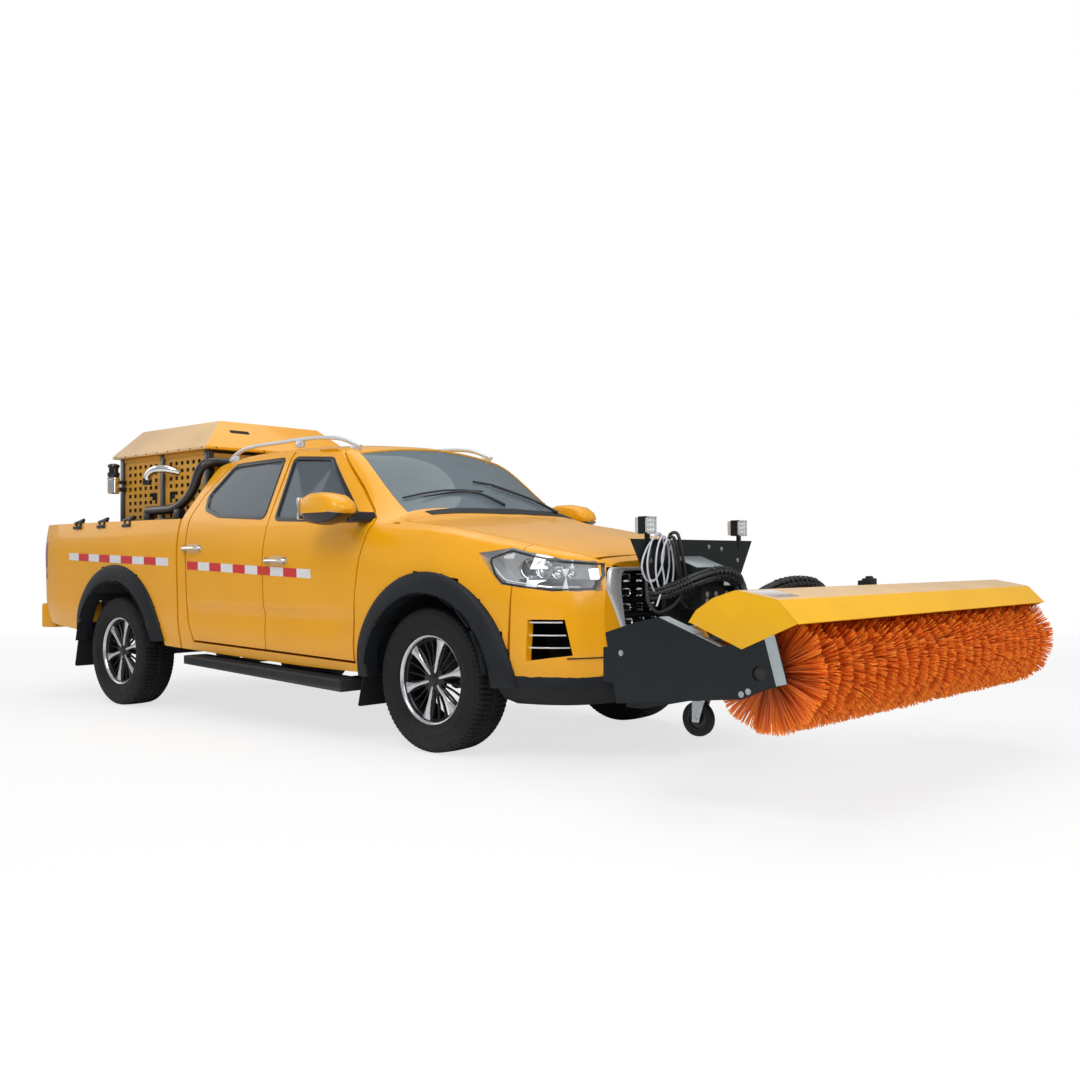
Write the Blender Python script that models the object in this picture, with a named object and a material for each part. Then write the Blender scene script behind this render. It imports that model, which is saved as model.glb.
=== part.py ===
"""Double-cab pickup with a front-mounted rotary snow brush and a power pack in its bed.

Metres, +X forward, +Y to the left, +Z up. The origin is on the ground, under the middle of the
whole machine. Each named object is one solid; every moving one has its origin on its joint's axis.
"""
import bpy
import bmesh
import numpy as np
from math import asin, atan2, cos, degrees, hypot, pi, radians, sin, sqrt
from mathutils import Matrix, Vector

# Driving dimensions of the truck
WHEELBASE = 3.155
HALF_WIDTH = 0.93
WHEEL_INSET = 0.14
TRACK = 2 * (HALF_WIDTH - WHEEL_INSET)
ROOF_Z = 1.75
REAR_OVERHANG = 1.26
FRONT_REACH = 2.43
TYRE_R = 0.378
TYRE_WIDTH = 0.25
RIM_R = 0.229
RIM_WIDTH = 0.20
GAP = 0.0003
OVERRUN = 0.05

FRONT_AXLE_X = (WHEELBASE + REAR_OVERHANG - FRONT_REACH) / 2
REAR_AXLE_X = FRONT_AXLE_X - WHEELBASE
AXLE_Z = TYRE_R

# Body shell
DOOR_THICKNESS = 0.07
SKIN_THICKNESS = 0.034
SHUT_GAP = 0.006
DOOR_GAP = 0.008
FRAME_GAP = 0.014
CAB_REAR_share = 0.745
NOSE_share = -0.285
BED_FRONT_share = 0.751
TAIL_share = 1.382

# Guide curves of the body: (place behind the front axle as a share of the wheelbase, share)
SIDE_WIDTH_shares = ((-0.285, 0.62), (-0.266, 0.775), (-0.238, 0.87), (-0.19, 0.94), (-0.095, 0.985),
                     (0, 1), (1, 1), (1.27, 0.985), (1.35, 0.955), (1.382, 0.91))
BELT_WIDTH_shares = ((-0.285, 0.55), (-0.266, 0.66), (-0.238, 0.75), (-0.19, 0.83), (-0.095, 0.885),
                     (0, 0.91), (0.095, 0.93), (0.19, 0.945), (1, 0.965), (1.27, 0.95), (1.382, 0.88))
SILL_HEIGHT_shares = ((-0.285, 0.245), (-0.15, 0.235), (0.17, 0.22), (0.745, 0.248),
                      (1.17, 0.285), (1.382, 0.315))
BELT_HEIGHT_shares = ((-0.285, 0.553), (-0.238, 0.58), (-0.19, 0.6), (-0.095, 0.63), (0, 0.655),
                      (0.095, 0.667), (0.16, 0.675), (0.58, 0.715), (0.745, 0.73), (1.382, 0.734))
CORNER_WIDTH_shares = ((-0.285, 0.5), (-0.238, 0.667), (-0.095, 0.81), (0, 0.84), (0.095, 0.83),
                       (0.124, 0.8), (0.291, 0.686), (0.38, 0.665), (0.507, 0.663), (0.745, 0.645))
CORNER_HEIGHT_shares = ((-0.285, 0.562), (-0.238, 0.592), (-0.095, 0.645), (0, 0.673), (0.095, 0.694),
                        (0.124, 0.707), (0.291, 0.931), (0.333, 0.955), (0.507, 0.966),
                        (0.634, 0.963), (0.745, 0.943))
CROWN_HEIGHT_shares = ((-0.285, 0.571), (-0.254, 0.598), (-0.19, 0.631), (-0.095, 0.668), (0, 0.7),
                       (0.038, 0.713), (0.143, 0.829), (0.27, 0.963), (0.317, 0.978),
                       (0.412, 0.994), (0.507, 1), (0.634, 0.994), (0.745, 0.977))
# Side wall from sill to shoulder: (share of that height, share of the side width)
FLANK_shares = ((0, 0.955), (0.25, 0.987), (0.55, 0.99), (1, 1))
SHOULDER_DROP_share = 0.12
GLASS_PLANE_shares = (0.5,)
CROWN_PLAN_shares = (0.8, 0.45)
CAB_STATION_shares = (-0.285, -0.266, -0.238, -0.19, -0.12, -0.03, 0.038, 0.095, 0.124, 0.2, 0.291, 0.333,
                      0.40, 0.507, 0.634, 0.745)
INNER_STATION_shares = (-0.285, -0.255, -0.19, -0.12, -0.03, 0.038, 0.095, 0.2, 0.291, 0.333, 0.45,
                        0.634, 0.745)

# Panel outlines seen from the side: (behind the front axle / wheelbase, height / roof height)
FRONT_DOOR_shares = ((0.190, 0.254), (0.181, 0.457), (0.158, 0.677), (0.164, 0.700), (0.326, 0.945),
                     (0.475, 0.955), (0.447, 0.703), (0.447, 0.269))
FRONT_WINDOW_shares = ((0.200, 0.700), (0.342, 0.915), (0.461, 0.930), (0.428, 0.716))
REAR_DOOR_shares = ((0.450, 0.269), (0.450, 0.703), (0.482, 0.956), (0.680, 0.949), (0.715, 0.817),
                    (0.714, 0.714), (0.71, 0.354), (0.697, 0.282))
REAR_WINDOW_shares = ((0.4690, 0.723), (0.498, 0.931), (0.667, 0.925), (0.697, 0.817),
                      (0.675, 0.765), (0.618, 0.737))
FENDER_shares = ((0.184, 0.18), (0.1785, 0.457), (0.1555, 0.672), (0.105, 0.686), (0.095, 0.80),
                 (-0.178, 0.80), (-0.178, 0.495), (-0.16, 0.18))
HOOD_EDGE_share = 0.905
HOOD_PLAN_shares = ((0.032, 0), (0.044, 0.4), (0.095, 0.83))
HOOD_FRONT_share = -0.268

# Wheel arches and flares
FRONT_ARCH_R = 0.45
REAR_ARCH_R = 0.49
FLARE_WIDTH = 0.11
FLARE_PROUD = 0.035
FLARE_SINK = 0.05
LINER_THICKNESS = 0.012
LINER_R = 0.468
LINER_REACH_IN = 0.46
LINER_INNER_Y = HALF_WIDTH - LINER_REACH_IN
ARCH_SEGMENTS = 10

# Cab fittings
FLOOR_Z = 0.5
FLOOR_THICKNESS = 0.04
GLASS_THICKNESS = 0.006
GLASS_SINK = 0.008
GLASS_GAP = 0.0005

# Chassis
RAIL_INSET = 0.53
RAIL_Y = HALF_WIDTH - RAIL_INSET
RAIL_WIDTH = 0.07
RAIL_HEIGHT = 0.14
CROSS_MEMBER_shares = (-0.09, 0.30, 0.62, 0.82, 1.20)

# Brush head
BRUSH_R = 0.24
BRUSH_Z = 0.575
BRUSH_HALF = 1.275
COVER_CLEARANCE = 0.036
CORE_R = 0.10
WAFERS = 26
WAFER_SIDES = 14
PLATE_THICKNESS = 0.008
COVER_HALF = BRUSH_HALF + COVER_CLEARANCE
COVER_THICKNESS = 0.004
BRUSH_X = FRONT_AXLE_X + FRONT_REACH - BRUSH_R

# Cab, doors, hood, fenders and fascia
CAB_LOW = 0.115
CAB_HIGH = 0.065
REBATE_CLEARANCE = 0.009
DOOR_REACH_IN = 0.345
DOOR_INNER_Y = HALF_WIDTH - DOOR_REACH_IN
HINGE_LEAF_shares = (((0.1875, 0.35), (0.1945, 0.35), (0.1945, 0.39), (0.1875, 0.39)),
                     ((0.1685, 0.595), (0.1755, 0.595), (0.1755, 0.625), (0.1685, 0.625)),
                     ((0.4515, 0.35), (0.4595, 0.35), (0.4595, 0.39), (0.4515, 0.39)),
                     ((0.4515, 0.595), (0.4595, 0.595), (0.4595, 0.635), (0.4515, 0.635)))
BRACKET_INSET = 0.27
BRACKET_Y = HALF_WIDTH - BRACKET_INSET
BRACKET_WIDTH = 0.05
BRACKET_REACH = 0.15
RELIEF_share = 0.6
APERTURE_LIP = 0.035
REAR_WALL = 0.06
WINDSHIELD_shares = ((0.062, 0), (0.070, 0.35), (0.126, 0.735), (0.289, 0.64), (0.277, 0))
REAR_WINDOW_HALF = 0.50
REAR_WINDOW_LOW = 1.36
REAR_WINDOW_HIGH = 1.60
COWL_CUT_share = 0.115
COWL_CUT_Z = 1.16
FENDER_INSET = 0.175
FENDER_INNER_Y = HALF_WIDTH - FENDER_INSET
HOOD_STATION_shares = (0, -0.095, -0.19, -0.238, -0.268)
LINER_REACH_share = 0.3
BONNET_LINE_Z = 0.9
NOSE_X = FRONT_AXLE_X - NOSE_share * WHEELBASE
FASCIA_REAR_share = -0.178
FASCIA_LOW_share = -0.16
GRILLE_shares = ((0.58, 0.548), (0.60, 0.49), (0.46, 0.362))
GRILLE_DEPTH = 0.05
GRILLE_BARS = 5
GRILLE_RIM = 0.03
HEADLAMP_shares = ((-0.103, 0.590), (-0.16, 0.603), (-0.245, 0.568), (-0.31, 0.560), (-0.31, 0.482),
                   (-0.24, 0.482), (-0.158, 0.501))
HEADLAMP_DEPTH = 0.09
HEADLAMP_WIDTH = 0.355
HEADLAMP_INNER_Y = HALF_WIDTH - HEADLAMP_WIDTH
VENT_shares = ((-0.205, 0.405), (-0.255, 0.405), (-0.262, 0.306), (-0.20, 0.29))
VENT_WIDTH = 0.27
VENT_INNER_Y = HALF_WIDTH - VENT_WIDTH
LAMP_Z_LOW = 0.87
LAMP_Z_HIGH = 1.15
LAMP_DEPTH_X = 0.13

# Mirrors and door hinges
HINGE_LEAD = 0.002
MIRROR_BACK_share = 0.262
MIRROR_FRONT_share = 0.148
MIRROR_LOW = 1.205
MIRROR_HIGH = 1.355
MIRROR_GAP = 0.025
MIRROR_WIDTH = 0.175
MIRROR_IN_Y = HALF_WIDTH + MIRROR_GAP
MIRROR_OUT_Y = MIRROR_IN_Y + MIRROR_WIDTH
MIRROR_ARM = 0.03

# Bed, tailgate and rear bumper
FRONT_RAIL_TOP = 0.60
BED_UNDER_Z = 0.72
BED_FLOOR_Z = 0.77
BED_STATION_shares = (0.751, 0.85, 1.0, 1.17, 1.27, 1.33, 1.36, 1.382)
BED_INSET = 0.17
BED_INNER_Y = HALF_WIDTH - BED_INSET
BED_WALL = 0.06
WHEELHOUSE_WIDTH = 0.19
WHEELHOUSE_Y = BED_INNER_Y - WHEELHOUSE_WIDTH
WHEELHOUSE_WALL = 0.03
WHEELHOUSE_SIDES = 36
TAILGATE_THICKNESS = 0.055
TAILGATE_LOW = 0.71
GATE_PIN_R = 0.010
GATE_PIN_SIDES = 10
GATE_PIN_LENGTH = 0.03
GATE_INSET = 0.195
TAILGATE_HALF = HALF_WIDTH - GATE_INSET
LAMP_GAP = 0.055
LAMP_INNER_Y = TAILGATE_HALF + LAMP_GAP
BUMPER_REAR_X = REAR_AXLE_X - REAR_OVERHANG
BUMPER_LOW = 0.50
BUMPER_HIGH = 0.685

# Frame rails, running boards and arms
RAIL_LINE = ((-0.24, FRONT_RAIL_TOP), (0.02, FRONT_RAIL_TOP), (0.10, FLOOR_Z - GAP), (0.75, FLOOR_Z - GAP),
             (0.87, BED_UNDER_Z - GAP), (1.355, BED_UNDER_Z - GAP))
BOARD_PROUD = 0.035
BOARD_WIDTH = 0.165
BOARD_OUT_Y = HALF_WIDTH + BOARD_PROUD
BOARD_IN_Y = BOARD_OUT_Y - BOARD_WIDTH
BOARD_THICKNESS = 0.045
BOARD_LINE_shares = ((0.2, 0.158), (0.70, 0.198))
BOARD_TOP_shares = ((0.2, 0.195), (0.70, 0.228))
BRACKET_shares = (0.26, 0.62)
SPRING_OFFSET = 0.12
SPRING_Y = RAIL_Y + SPRING_OFFSET
HANGER_shares = (0.80, 1.20)
ARM_Z = 0.27

# Axles, springs and engine
KNUCKLE_INSET = 0.17
KNUCKLE_Y = TRACK / 2 - KNUCKLE_INSET
KNUCKLE_R = 0.03
ARM_THICKNESS = 0.03
UPPER_ARM_Z = 0.53
HUB_R = 0.06
SPRING_WIDTH = 0.06
SPRING_EYE_Z = 0.47
SPRING_EYE_R = 0.028
EYE_SIDES = 8
SPRING_THICKNESS = 0.03
AXLE_TUBE_R = 0.045
DIFFERENTIAL_R = 0.13
ENGINE_HALF = 0.26
ENGINE_LENGTH_shares = (-0.13, 0.085)
ENGINE_TOP = 1.02
STUB_R = 0.025
HUB_INSET = 0.09
HUB_FACE_Y = TRACK / 2 - HUB_INSET
STUB_PROUD = 0.01
STUB_END_Y = TRACK / 2 + STUB_PROUD
RIM_OFFSET = 0.035

# Wheels
WHEEL_SIDES = 24
TYRE_PROFILE_shares = ((-0.40, 0.0), (-0.50, 0.40), (-0.48, 0.80), (-0.38, 0.97), (0, 1.0), (0.38, 0.97),
                       (0.48, 0.80), (0.50, 0.40), (0.40, 0.0))
SPOKES = 6
RIM_WALL = 0.008
HUB_CAP_R = 0.035
BOLT_CIRCLE_R = 0.075

# Dashboard and seats
DASH_shares = ((0.1151, 0.49), (0.1151, 0.655), (0.155, 0.668), (0.235, 0.655), (0.26, 0.60), (0.235, 0.52))
DASH_INSET = 0.195
DASH_HALF = HALF_WIDTH - DASH_INSET
WHEEL_CENTRE_share = 0.30
WHEEL_HEIGHT_share = 0.60
STEERING_R = 0.185
STEERING_TUBE_R = 0.014
DRIVER_INSET = 0.55
DRIVER_Y = HALF_WIDTH - DRIVER_INSET
STEERING_TILT = radians(28)
SEAT_WIDTH = 0.50
SEAT_FRONT_shares = ((0.285, 0.395), (0.285, 0.45), (0.43, 0.425), (0.475, 0.70), (0.48, 0.80), (0.51, 0.81),
                     (0.52, 0.72), (0.485, 0.395))
SEAT_REAR_shares = ((0.55, 0.385), (0.55, 0.44), (0.665, 0.42), (0.70, 0.72), (0.725, 0.72), (0.715, 0.385))
REAR_SEAT_INSET = 0.31
REAR_SEAT_HALF = HALF_WIDTH - REAR_SEAT_INSET
SEAT_BASE = 0.04
ROOF_RAIL_shares = ((0.305, 0.962), (0.36, 0.996), (0.42, 1.010), (0.55, 1.010), (0.66, 1.005),
                    (0.725, 0.962))

# Roof rails and sport bar
ROOF_START_share = 0.2
ROOF_RAIL_INSET = 0.37
ROOF_RAIL_Y = HALF_WIDTH - ROOF_RAIL_INSET
ROOF_RAIL_WIDTH = 0.03
ROOF_RAIL_HEIGHT = 0.022
SPORT_BAR_shares = ((0.995, 0.776), (0.87, 0.776), (0.805, 0.83), (0.768, 0.955))
SPORT_BAR_INSET = 0.23
SPORT_BAR_Y = HALF_WIDTH - SPORT_BAR_INSET
SPORT_BAR_R = 0.032
SPORT_FOOT = 0.045

# Power pack
PACK_shares = (0.785, 1.155)
PACK_CLEARANCE = 0.08
PACK_HALF = SPORT_BAR_Y - PACK_CLEARANCE
PACK_TOP = 1.76
PACK_WALL = 0.03
PACK_FEET = 0.05
PACK_BASE = 0.91
PACK_POSTS = 4
HOOD_LIP = 0.02
HOOD_OVERHANG = 0.04
HOOD_RISE = 0.225
HOOD_TOP = PACK_TOP + HOOD_RISE
HOOD_TOP_shares = (0.835, 1.163)
HOOD_TOP_HALF = 0.42
SLOT_WIDTH_share = 0.35
EXHAUST_R = 0.035

# Brush mount and lift arm
MOUNT_OVERHANG = 0.05
MOUNT_HALF = RAIL_Y + MOUNT_OVERHANG
MOUNT_LOW = 0.27
MOUNT_HIGH = 0.395
MOUNT_REACH = 0.125
MOUNT_TUBE = 0.10
MOUNT_ARM = 0.045
PIVOT_SETBACK = 1.16
HEAD_REACH = 0.73
HEAD_LINE_SETBACK = FRONT_REACH - BRUSH_R - HEAD_REACH
PIVOT_X = FRONT_AXLE_X + PIVOT_SETBACK
PIVOT_Z = 0.45
PIN_R = 0.02
EAR_Y = 0.16
EAR_THICKNESS = 0.025
EAR_R = 0.045
TOWER_Y = 0.24
TOWER_WIDTH = 0.05
PANEL_SETBACK = 1.045
PANEL_X = FRONT_AXLE_X + PANEL_SETBACK
PANEL_THICKNESS = 0.006
PANEL_TOP = 1.096
PANEL_LOW = 0.90
PANEL_TOP_HALF = 0.55
PANEL_LOW_HALF = 0.425
LAMP_SIZE = 0.085
LAMP_DEEP = 0.045
WORK_LAMP_Y = 0.42
WORK_LAMP_STEM = 0.025
VALVE_BOX_LENGTH = 0.15
VALVE_BOX_HALF = 0.17
VALVE_BOX_LOW = 0.745
VALVE_BOX_HIGH = 0.86
KINGPIN_GAP = 0.13
ARM_REACH = HEAD_LINE_SETBACK - KINGPIN_GAP - PIVOT_SETBACK
CYLINDER_REACH = 0.04
CYLINDER_BASE_X = PANEL_X + CYLINDER_REACH
CYLINDER_BASE_Z = 0.695
ROD_EYE_AHEAD = 0.075
ROD_EYE_RISE = 0.05
ROD_EYE_X = PIVOT_X + ROD_EYE_AHEAD
ROD_EYE_Z = PIVOT_Z + ROD_EYE_RISE
CLEVIS_R = 0.018
CLEVIS_PIN_R = 0.008
CLEVIS_THICKNESS = 0.008
EYE_HALF_OUT = 0.0195
SWING_X = PIVOT_X + ARM_REACH
ARM_HALF = 0.11
ARM_PLATE = 0.02
KINGPIN_R = 0.025
KINGPIN_LOW = 0.36
KINGPIN_HIGH = 0.62
RUN = 0.0003
STOP = 0.006

# Brush head, cover, rotor and casters
SIDE_PLATE_shares = ((0.02, 0.70), (0.16, 0.742), (0.285, 0.769), (0.57, 0.665), (0.795, 0.726),
                     (0.845, 0.545), (0.75, 0.516), (0.66, 0.477), (0.075, 0.417))
BEAM_LOW = 0.50
BEAM_HIGH = 0.64
BEAM_DEPTH = 0.12
FLANGE_WIDTH = 0.025
SHAFT_R = 0.028
CASTER_REACH = 0.40
CASTER_SETBACK = HEAD_LINE_SETBACK + CASTER_REACH
CASTER_X = FRONT_AXLE_X + CASTER_SETBACK
CASTER_INSET = 0.151
CASTER_Y = COVER_HALF - CASTER_INSET
CASTER_TRAIL = 0.03
CASTER_R = 0.07
CASTER_WIDTH = 0.032
CASTER_Z = 0.366
CASTER_PLATE_Z = 0.455
CASTER_PLATE_THICKNESS = 0.012
FORK_THICKNESS = 0.005
STEM_R = 0.012
COVER_LINE_shares = ((0.427, 0.754), (0.46, 0.80), (0.536, 0.848), (0.637, 0.880), (0.813, 0.848),
                     (0.896, 0.763))
COVER_END_shares = ((0.66, 0.66),)
TUFT_share = 0.955
VALLEY_share = 0.72
WAFER_FLAT_share = 0.45

# Lift cylinder
CYLINDER_R = 0.021
ROD_R = 0.011
EYE_R = 0.016
EYE_HALF = 0.014
LINK_PLAY = 0.0009
BARREL_share = 0.80
ROD_INSIDE_share = 0.28

# Hoses and cable
HOSE_R = 0.035
HOSE_POINTS = ((1.50, -0.30, 0.6403), (1.50, -0.30, 0.70), (1.51, -0.20, 0.79), (1.52, -0.06, 0.845),
               (1.53, 0.14, 0.874),
               (1.54, 0.34, 0.86), (1.53, 0.48, 0.79), (1.52, 0.55, 0.70), (1.52, 0.55, 0.6403))
HANK_Y = -0.36
HANK_LOW = 0.80
HANK_HIGH = 1.075
HANK_HALF_WIDTH = 0.06
HANK_DEPTH = 0.045


def clear_scene():
    for item in list(bpy.data.objects):
        bpy.data.objects.remove(item, do_unlink=True)


def finish(name, colour, roughness, metallic=0.0):
    """A plain painted, plastic or metal surface."""
    material = bpy.data.materials.new(name)
    material.use_nodes = True
    shader = material.node_tree.nodes["Principled BSDF"]
    shader.inputs["Base Color"].default_value = (*colour, 1)
    shader.inputs["Roughness"].default_value = roughness
    shader.inputs["Metallic"].default_value = metallic
    return material


def at(place_share):
    """X of a place given behind the front axle as a share of the wheelbase."""
    return FRONT_AXLE_X - place_share * WHEELBASE


def guide(shares, place_share):
    """A smooth curve through the given shares that never overshoots them."""
    places = [row[0] for row in shares]
    values = [row[1] for row in shares]
    place_share = min(max(place_share, places[0]), places[-1])
    slopes = [(values[i + 1] - values[i]) / (places[i + 1] - places[i]) for i in range(len(places) - 1)]
    ends = [slopes[0]]
    for before, after in zip(slopes, slopes[1:]):
        ends.append(0 if before * after <= 0 else 2 * before * after / (before + after))
    ends.append(slopes[-1])
    index = min(int(np.searchsorted(places, place_share, side="right")) - 1, len(slopes) - 1)
    width = places[index + 1] - places[index]
    t = (place_share - places[index]) / width
    return ((1 + 2 * t) * (1 - t) ** 2 * values[index] + t * (1 - t) ** 2 * width * ends[index]
            + t * t * (3 - 2 * t) * values[index + 1] + t * t * (t - 1) * width * ends[index + 1])


def new_object(name, mesh, material=None):
    item = bpy.data.objects.new(name, mesh)
    bpy.context.scene.collection.objects.link(item)
    if material:
        mesh.materials.append(material)
    return item


def from_bmesh(name, shape, material=None):
    bmesh.ops.recalc_face_normals(shape, faces=shape.faces)
    mesh = bpy.data.meshes.new(name)
    shape.to_mesh(mesh)
    shape.free()
    return new_object(name, mesh, material)


def loft(name, rings, material=None):
    """A closed solid through rings that have the same number of points."""
    shape = bmesh.new()
    rows = [[shape.verts.new(point) for point in ring] for ring in rings]
    count = len(rows[0])
    for first, second in zip(rows, rows[1:]):
        for i in range(count):
            j = (i + 1) % count
            shape.faces.new((first[i], first[j], second[j], second[i]))
    shape.faces.new(rows[0])
    shape.faces.new(rows[-1])
    bmesh.ops.recalc_face_normals(shape, faces=shape.faces)
    bmesh.ops.triangulate(shape, faces=shape.faces)
    return from_bmesh(name, shape, material)


def prism(name, outline, low, high, axis="Y", material=None):
    """An outline in the plane across an axis, extruded between two places on that axis."""
    shape = bmesh.new()
    rows = []
    for place in (low, high):
        if axis == "Y":
            rows.append([shape.verts.new((a, place, b)) for a, b in outline])
        elif axis == "Z":
            rows.append([shape.verts.new((a, b, place)) for a, b in outline])
        else:
            rows.append([shape.verts.new((place, a, b)) for a, b in outline])
    count = len(outline)
    for i in range(count):
        j = (i + 1) % count
        shape.faces.new((rows[0][i], rows[0][j], rows[1][j], rows[1][i]))
    shape.faces.new(rows[0])
    shape.faces.new(rows[1])
    return from_bmesh(name, shape, material)


def block(name, low, high, material=None):
    (x0, y0, z0), (x1, y1, z1) = low, high
    return prism(name, ((x0, y0), (x1, y0), (x1, y1), (x0, y1)), z0, z1, "Z", material)


def lathe(name, profile, centre, axis="Y", sides=24, material=None):
    """A closed profile of (along the axis, radius) points turned about an axis."""
    shape = bmesh.new()
    rows = []
    for step in range(sides):
        turn = 2 * pi * step / sides
        row = []
        for along, radius in profile:
            a, b = radius * cos(turn), radius * sin(turn)
            place = {"X": (along, a, b), "Y": (a, along, b), "Z": (a, b, along)}[axis]
            row.append(shape.verts.new(Vector(centre) + Vector(place)))
        rows.append(row)
    count = len(profile)
    for step in range(sides):
        first, second = rows[step], rows[(step + 1) % sides]
        for i in range(count):
            j = (i + 1) % count
            shape.faces.new((first[i], first[j], second[j], second[i]))
    return from_bmesh(name, shape, material)


def drum(name, centre, radius, low, high, axis="Y", sides=24, material=None):
    """A solid cylinder between two places on an axis through the centre."""
    outline = []
    for step in range(sides):
        turn = 2 * pi * (step + 0.5) / sides
        outline.append((radius * cos(turn), radius * sin(turn)))
    x, y, z = centre
    if axis == "Y":
        points = [(x + a, z + b) for a, b in outline]
    elif axis == "Z":
        points = [(x + a, y + b) for a, b in outline]
    else:
        points = [(y + a, z + b) for a, b in outline]
    return prism(name, points, low, high, axis, material)


def tube(name, points, radius, sides=8, material=None, closed=False):
    """A round bar along a list of points, mitred at the bends."""
    path = [Vector(p) for p in points]
    count = len(path)
    rings = []
    side = None
    for i, point in enumerate(path):
        before = path[i - 1] if i or closed else None
        after = path[(i + 1) % count] if i < count - 1 or closed else None
        into = (point - before).normalized() if before is not None else None
        out = (after - point).normalized() if after is not None else None
        heading = (into + out).normalized() if into and out else (into or out)
        if side is None:
            side = heading.cross(Vector((0, 0, 1)))
            if side.length < 0.1:
                side = heading.cross(Vector((0, 1, 0)))
            side.normalize()
        side = (side - heading * side.dot(heading)).normalized()
        up = heading.cross(side)
        stretch = 1 / max(0.5, sqrt(0.5 + 0.5 * into.dot(out))) if into and out else 1
        bend = (out - into) if into and out else Vector((0, 0, 0))
        ring = []
        for step in range(sides):
            turn = 2 * pi * (step + 0.5) / sides
            arm = side * cos(turn) + up * sin(turn)
            if bend.length > 1e-6:
                across = bend.normalized()
                arm = arm + across * arm.dot(across) * (stretch - 1)
            ring.append(point + arm * radius)
        rings.append(ring)
    if closed:
        shape = bmesh.new()
        rows = [[shape.verts.new(p) for p in ring] for ring in rings]
        for first, second in zip(rows, rows[1:] + rows[:1]):
            for i in range(sides):
                j = (i + 1) % sides
                shape.faces.new((first[i], first[j], second[j], second[i]))
        return from_bmesh(name, shape, material)
    return loft(name, rings, material)


def combine(item, tools, operation):
    """Apply one exact Boolean for each tool and remove the tools."""
    for tool in tools:
        modifier = item.modifiers.new("shape", "BOOLEAN")
        modifier.operation = operation
        modifier.solver = "EXACT"
        modifier.object = tool
        tool.hide_render = True
        tool.display_type = "WIRE"
        bpy.context.view_layer.update()
        graph = bpy.context.evaluated_depsgraph_get()
        mesh = bpy.data.meshes.new_from_object(item.evaluated_get(graph))
        item.modifiers.clear()
        item.data = mesh
        bpy.data.objects.remove(tool, do_unlink=True)
    return item


def cut(item, *tools):
    return combine(item, tools, "DIFFERENCE")


def join(item, *tools):
    return combine(item, tools, "UNION")


def keep(item, *tools):
    return combine(item, tools, "INTERSECT")


def copy_of(item, name):
    twin = item.copy()
    twin.data = item.data.copy()
    twin.name = name
    bpy.context.scene.collection.objects.link(twin)
    return twin


def mirrored(item, name):
    """The same solid on the other side of the machine."""
    twin = copy_of(item, name)
    shape = bmesh.new()
    shape.from_mesh(twin.data)
    bmesh.ops.scale(shape, vec=(1, -1, 1), verts=shape.verts)
    bmesh.ops.reverse_faces(shape, faces=shape.faces)
    shape.to_mesh(twin.data)
    shape.free()
    return twin


def set_origin(item, place):
    """Move the object's origin to a place and leave its solid where it is."""
    move = Vector(place)
    item.data.transform(Matrix.Translation(-move))
    item.location = move


def tidy(item, material, angle=radians(30)):
    """Join the flat faces that Booleans split, give the finish and the shading."""
    shape = bmesh.new()
    shape.from_mesh(item.data)
    bmesh.ops.dissolve_limit(shape, angle_limit=0.0002, verts=shape.verts, edges=shape.edges)
    shape.to_mesh(item.data)
    shape.free()
    item.data.materials.clear()
    item.data.materials.append(material)
    item.data.shade_smooth()
    item.data.set_sharp_from_angle(angle=angle)
    return item


def outline_of(shares):
    """Side-view points in metres from shares of the wheelbase and the roof height."""
    return [(at(place), height * ROOF_Z) for place, height in shares]


def grown(outline, distance):
    """An outline moved outwards by a distance, or inwards by a negative one."""
    area = sum(a[0] * b[1] - b[0] * a[1] for a, b in zip(outline, outline[1:] + outline[:1]))
    sign = 1 if area > 0 else -1
    result = []
    count = len(outline)
    for i in range(count):
        before, point, after = (Vector(outline[j % count]) for j in (i - 1, i, i + 1))
        into = (point - before).normalized()
        out = (after - point).normalized()
        normal_in = Vector((into.y, -into.x)) * sign
        normal_out = Vector((out.y, -out.x)) * sign
        middle = (normal_in + normal_out).normalized()
        reach = distance / max(0.35, middle.dot(normal_in))
        result.append(tuple(point + middle * reach))
    return result


def arc(centre, radius, start, end, steps):
    """Points on an arc in the XZ plane, angles in degrees from +X."""
    points = []
    for step in range(steps + 1):
        turn = radians(start + (end - start) * step / steps)
        points.append((centre[0] + radius * cos(turn), centre[1] + radius * sin(turn)))
    return points


# Body surface

def flank(place_share):
    """Half section from the sill up to the belt, as (half width, height) points."""
    width = guide(SIDE_WIDTH_shares, place_share) * HALF_WIDTH
    sill = guide(SILL_HEIGHT_shares, place_share) * ROOF_Z
    belt = guide(BELT_HEIGHT_shares, place_share) * ROOF_Z
    shoulder = belt - SHOULDER_DROP_share * ROOF_Z
    points = [(width * w, sill + (shoulder - sill) * h) for h, w in FLANK_shares]
    belt_width = guide(BELT_WIDTH_shares, place_share) * HALF_WIDTH
    points.append(((2 * width + belt_width) / 3, (shoulder + belt) / 2))
    points.append((belt_width, belt))
    return points


def upper(place_share, belt_point):
    """Half section above the belt: side glass plane, corner and crown."""
    corner = Vector((guide(CORNER_WIDTH_shares, place_share) * HALF_WIDTH,
                     guide(CORNER_HEIGHT_shares, place_share) * ROOF_Z))
    crown = guide(CROWN_HEIGHT_shares, place_share) * ROOF_Z
    base = Vector(belt_point)
    points = [tuple(base.lerp(corner, share)) for share in GLASS_PLANE_shares]
    points.append(tuple(corner))
    for share in CROWN_PLAN_shares:
        points.append((corner.x * share, corner.y + (crown - corner.y) * (1 - share ** 2)))
    points.append((0, crown))
    return points


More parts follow.
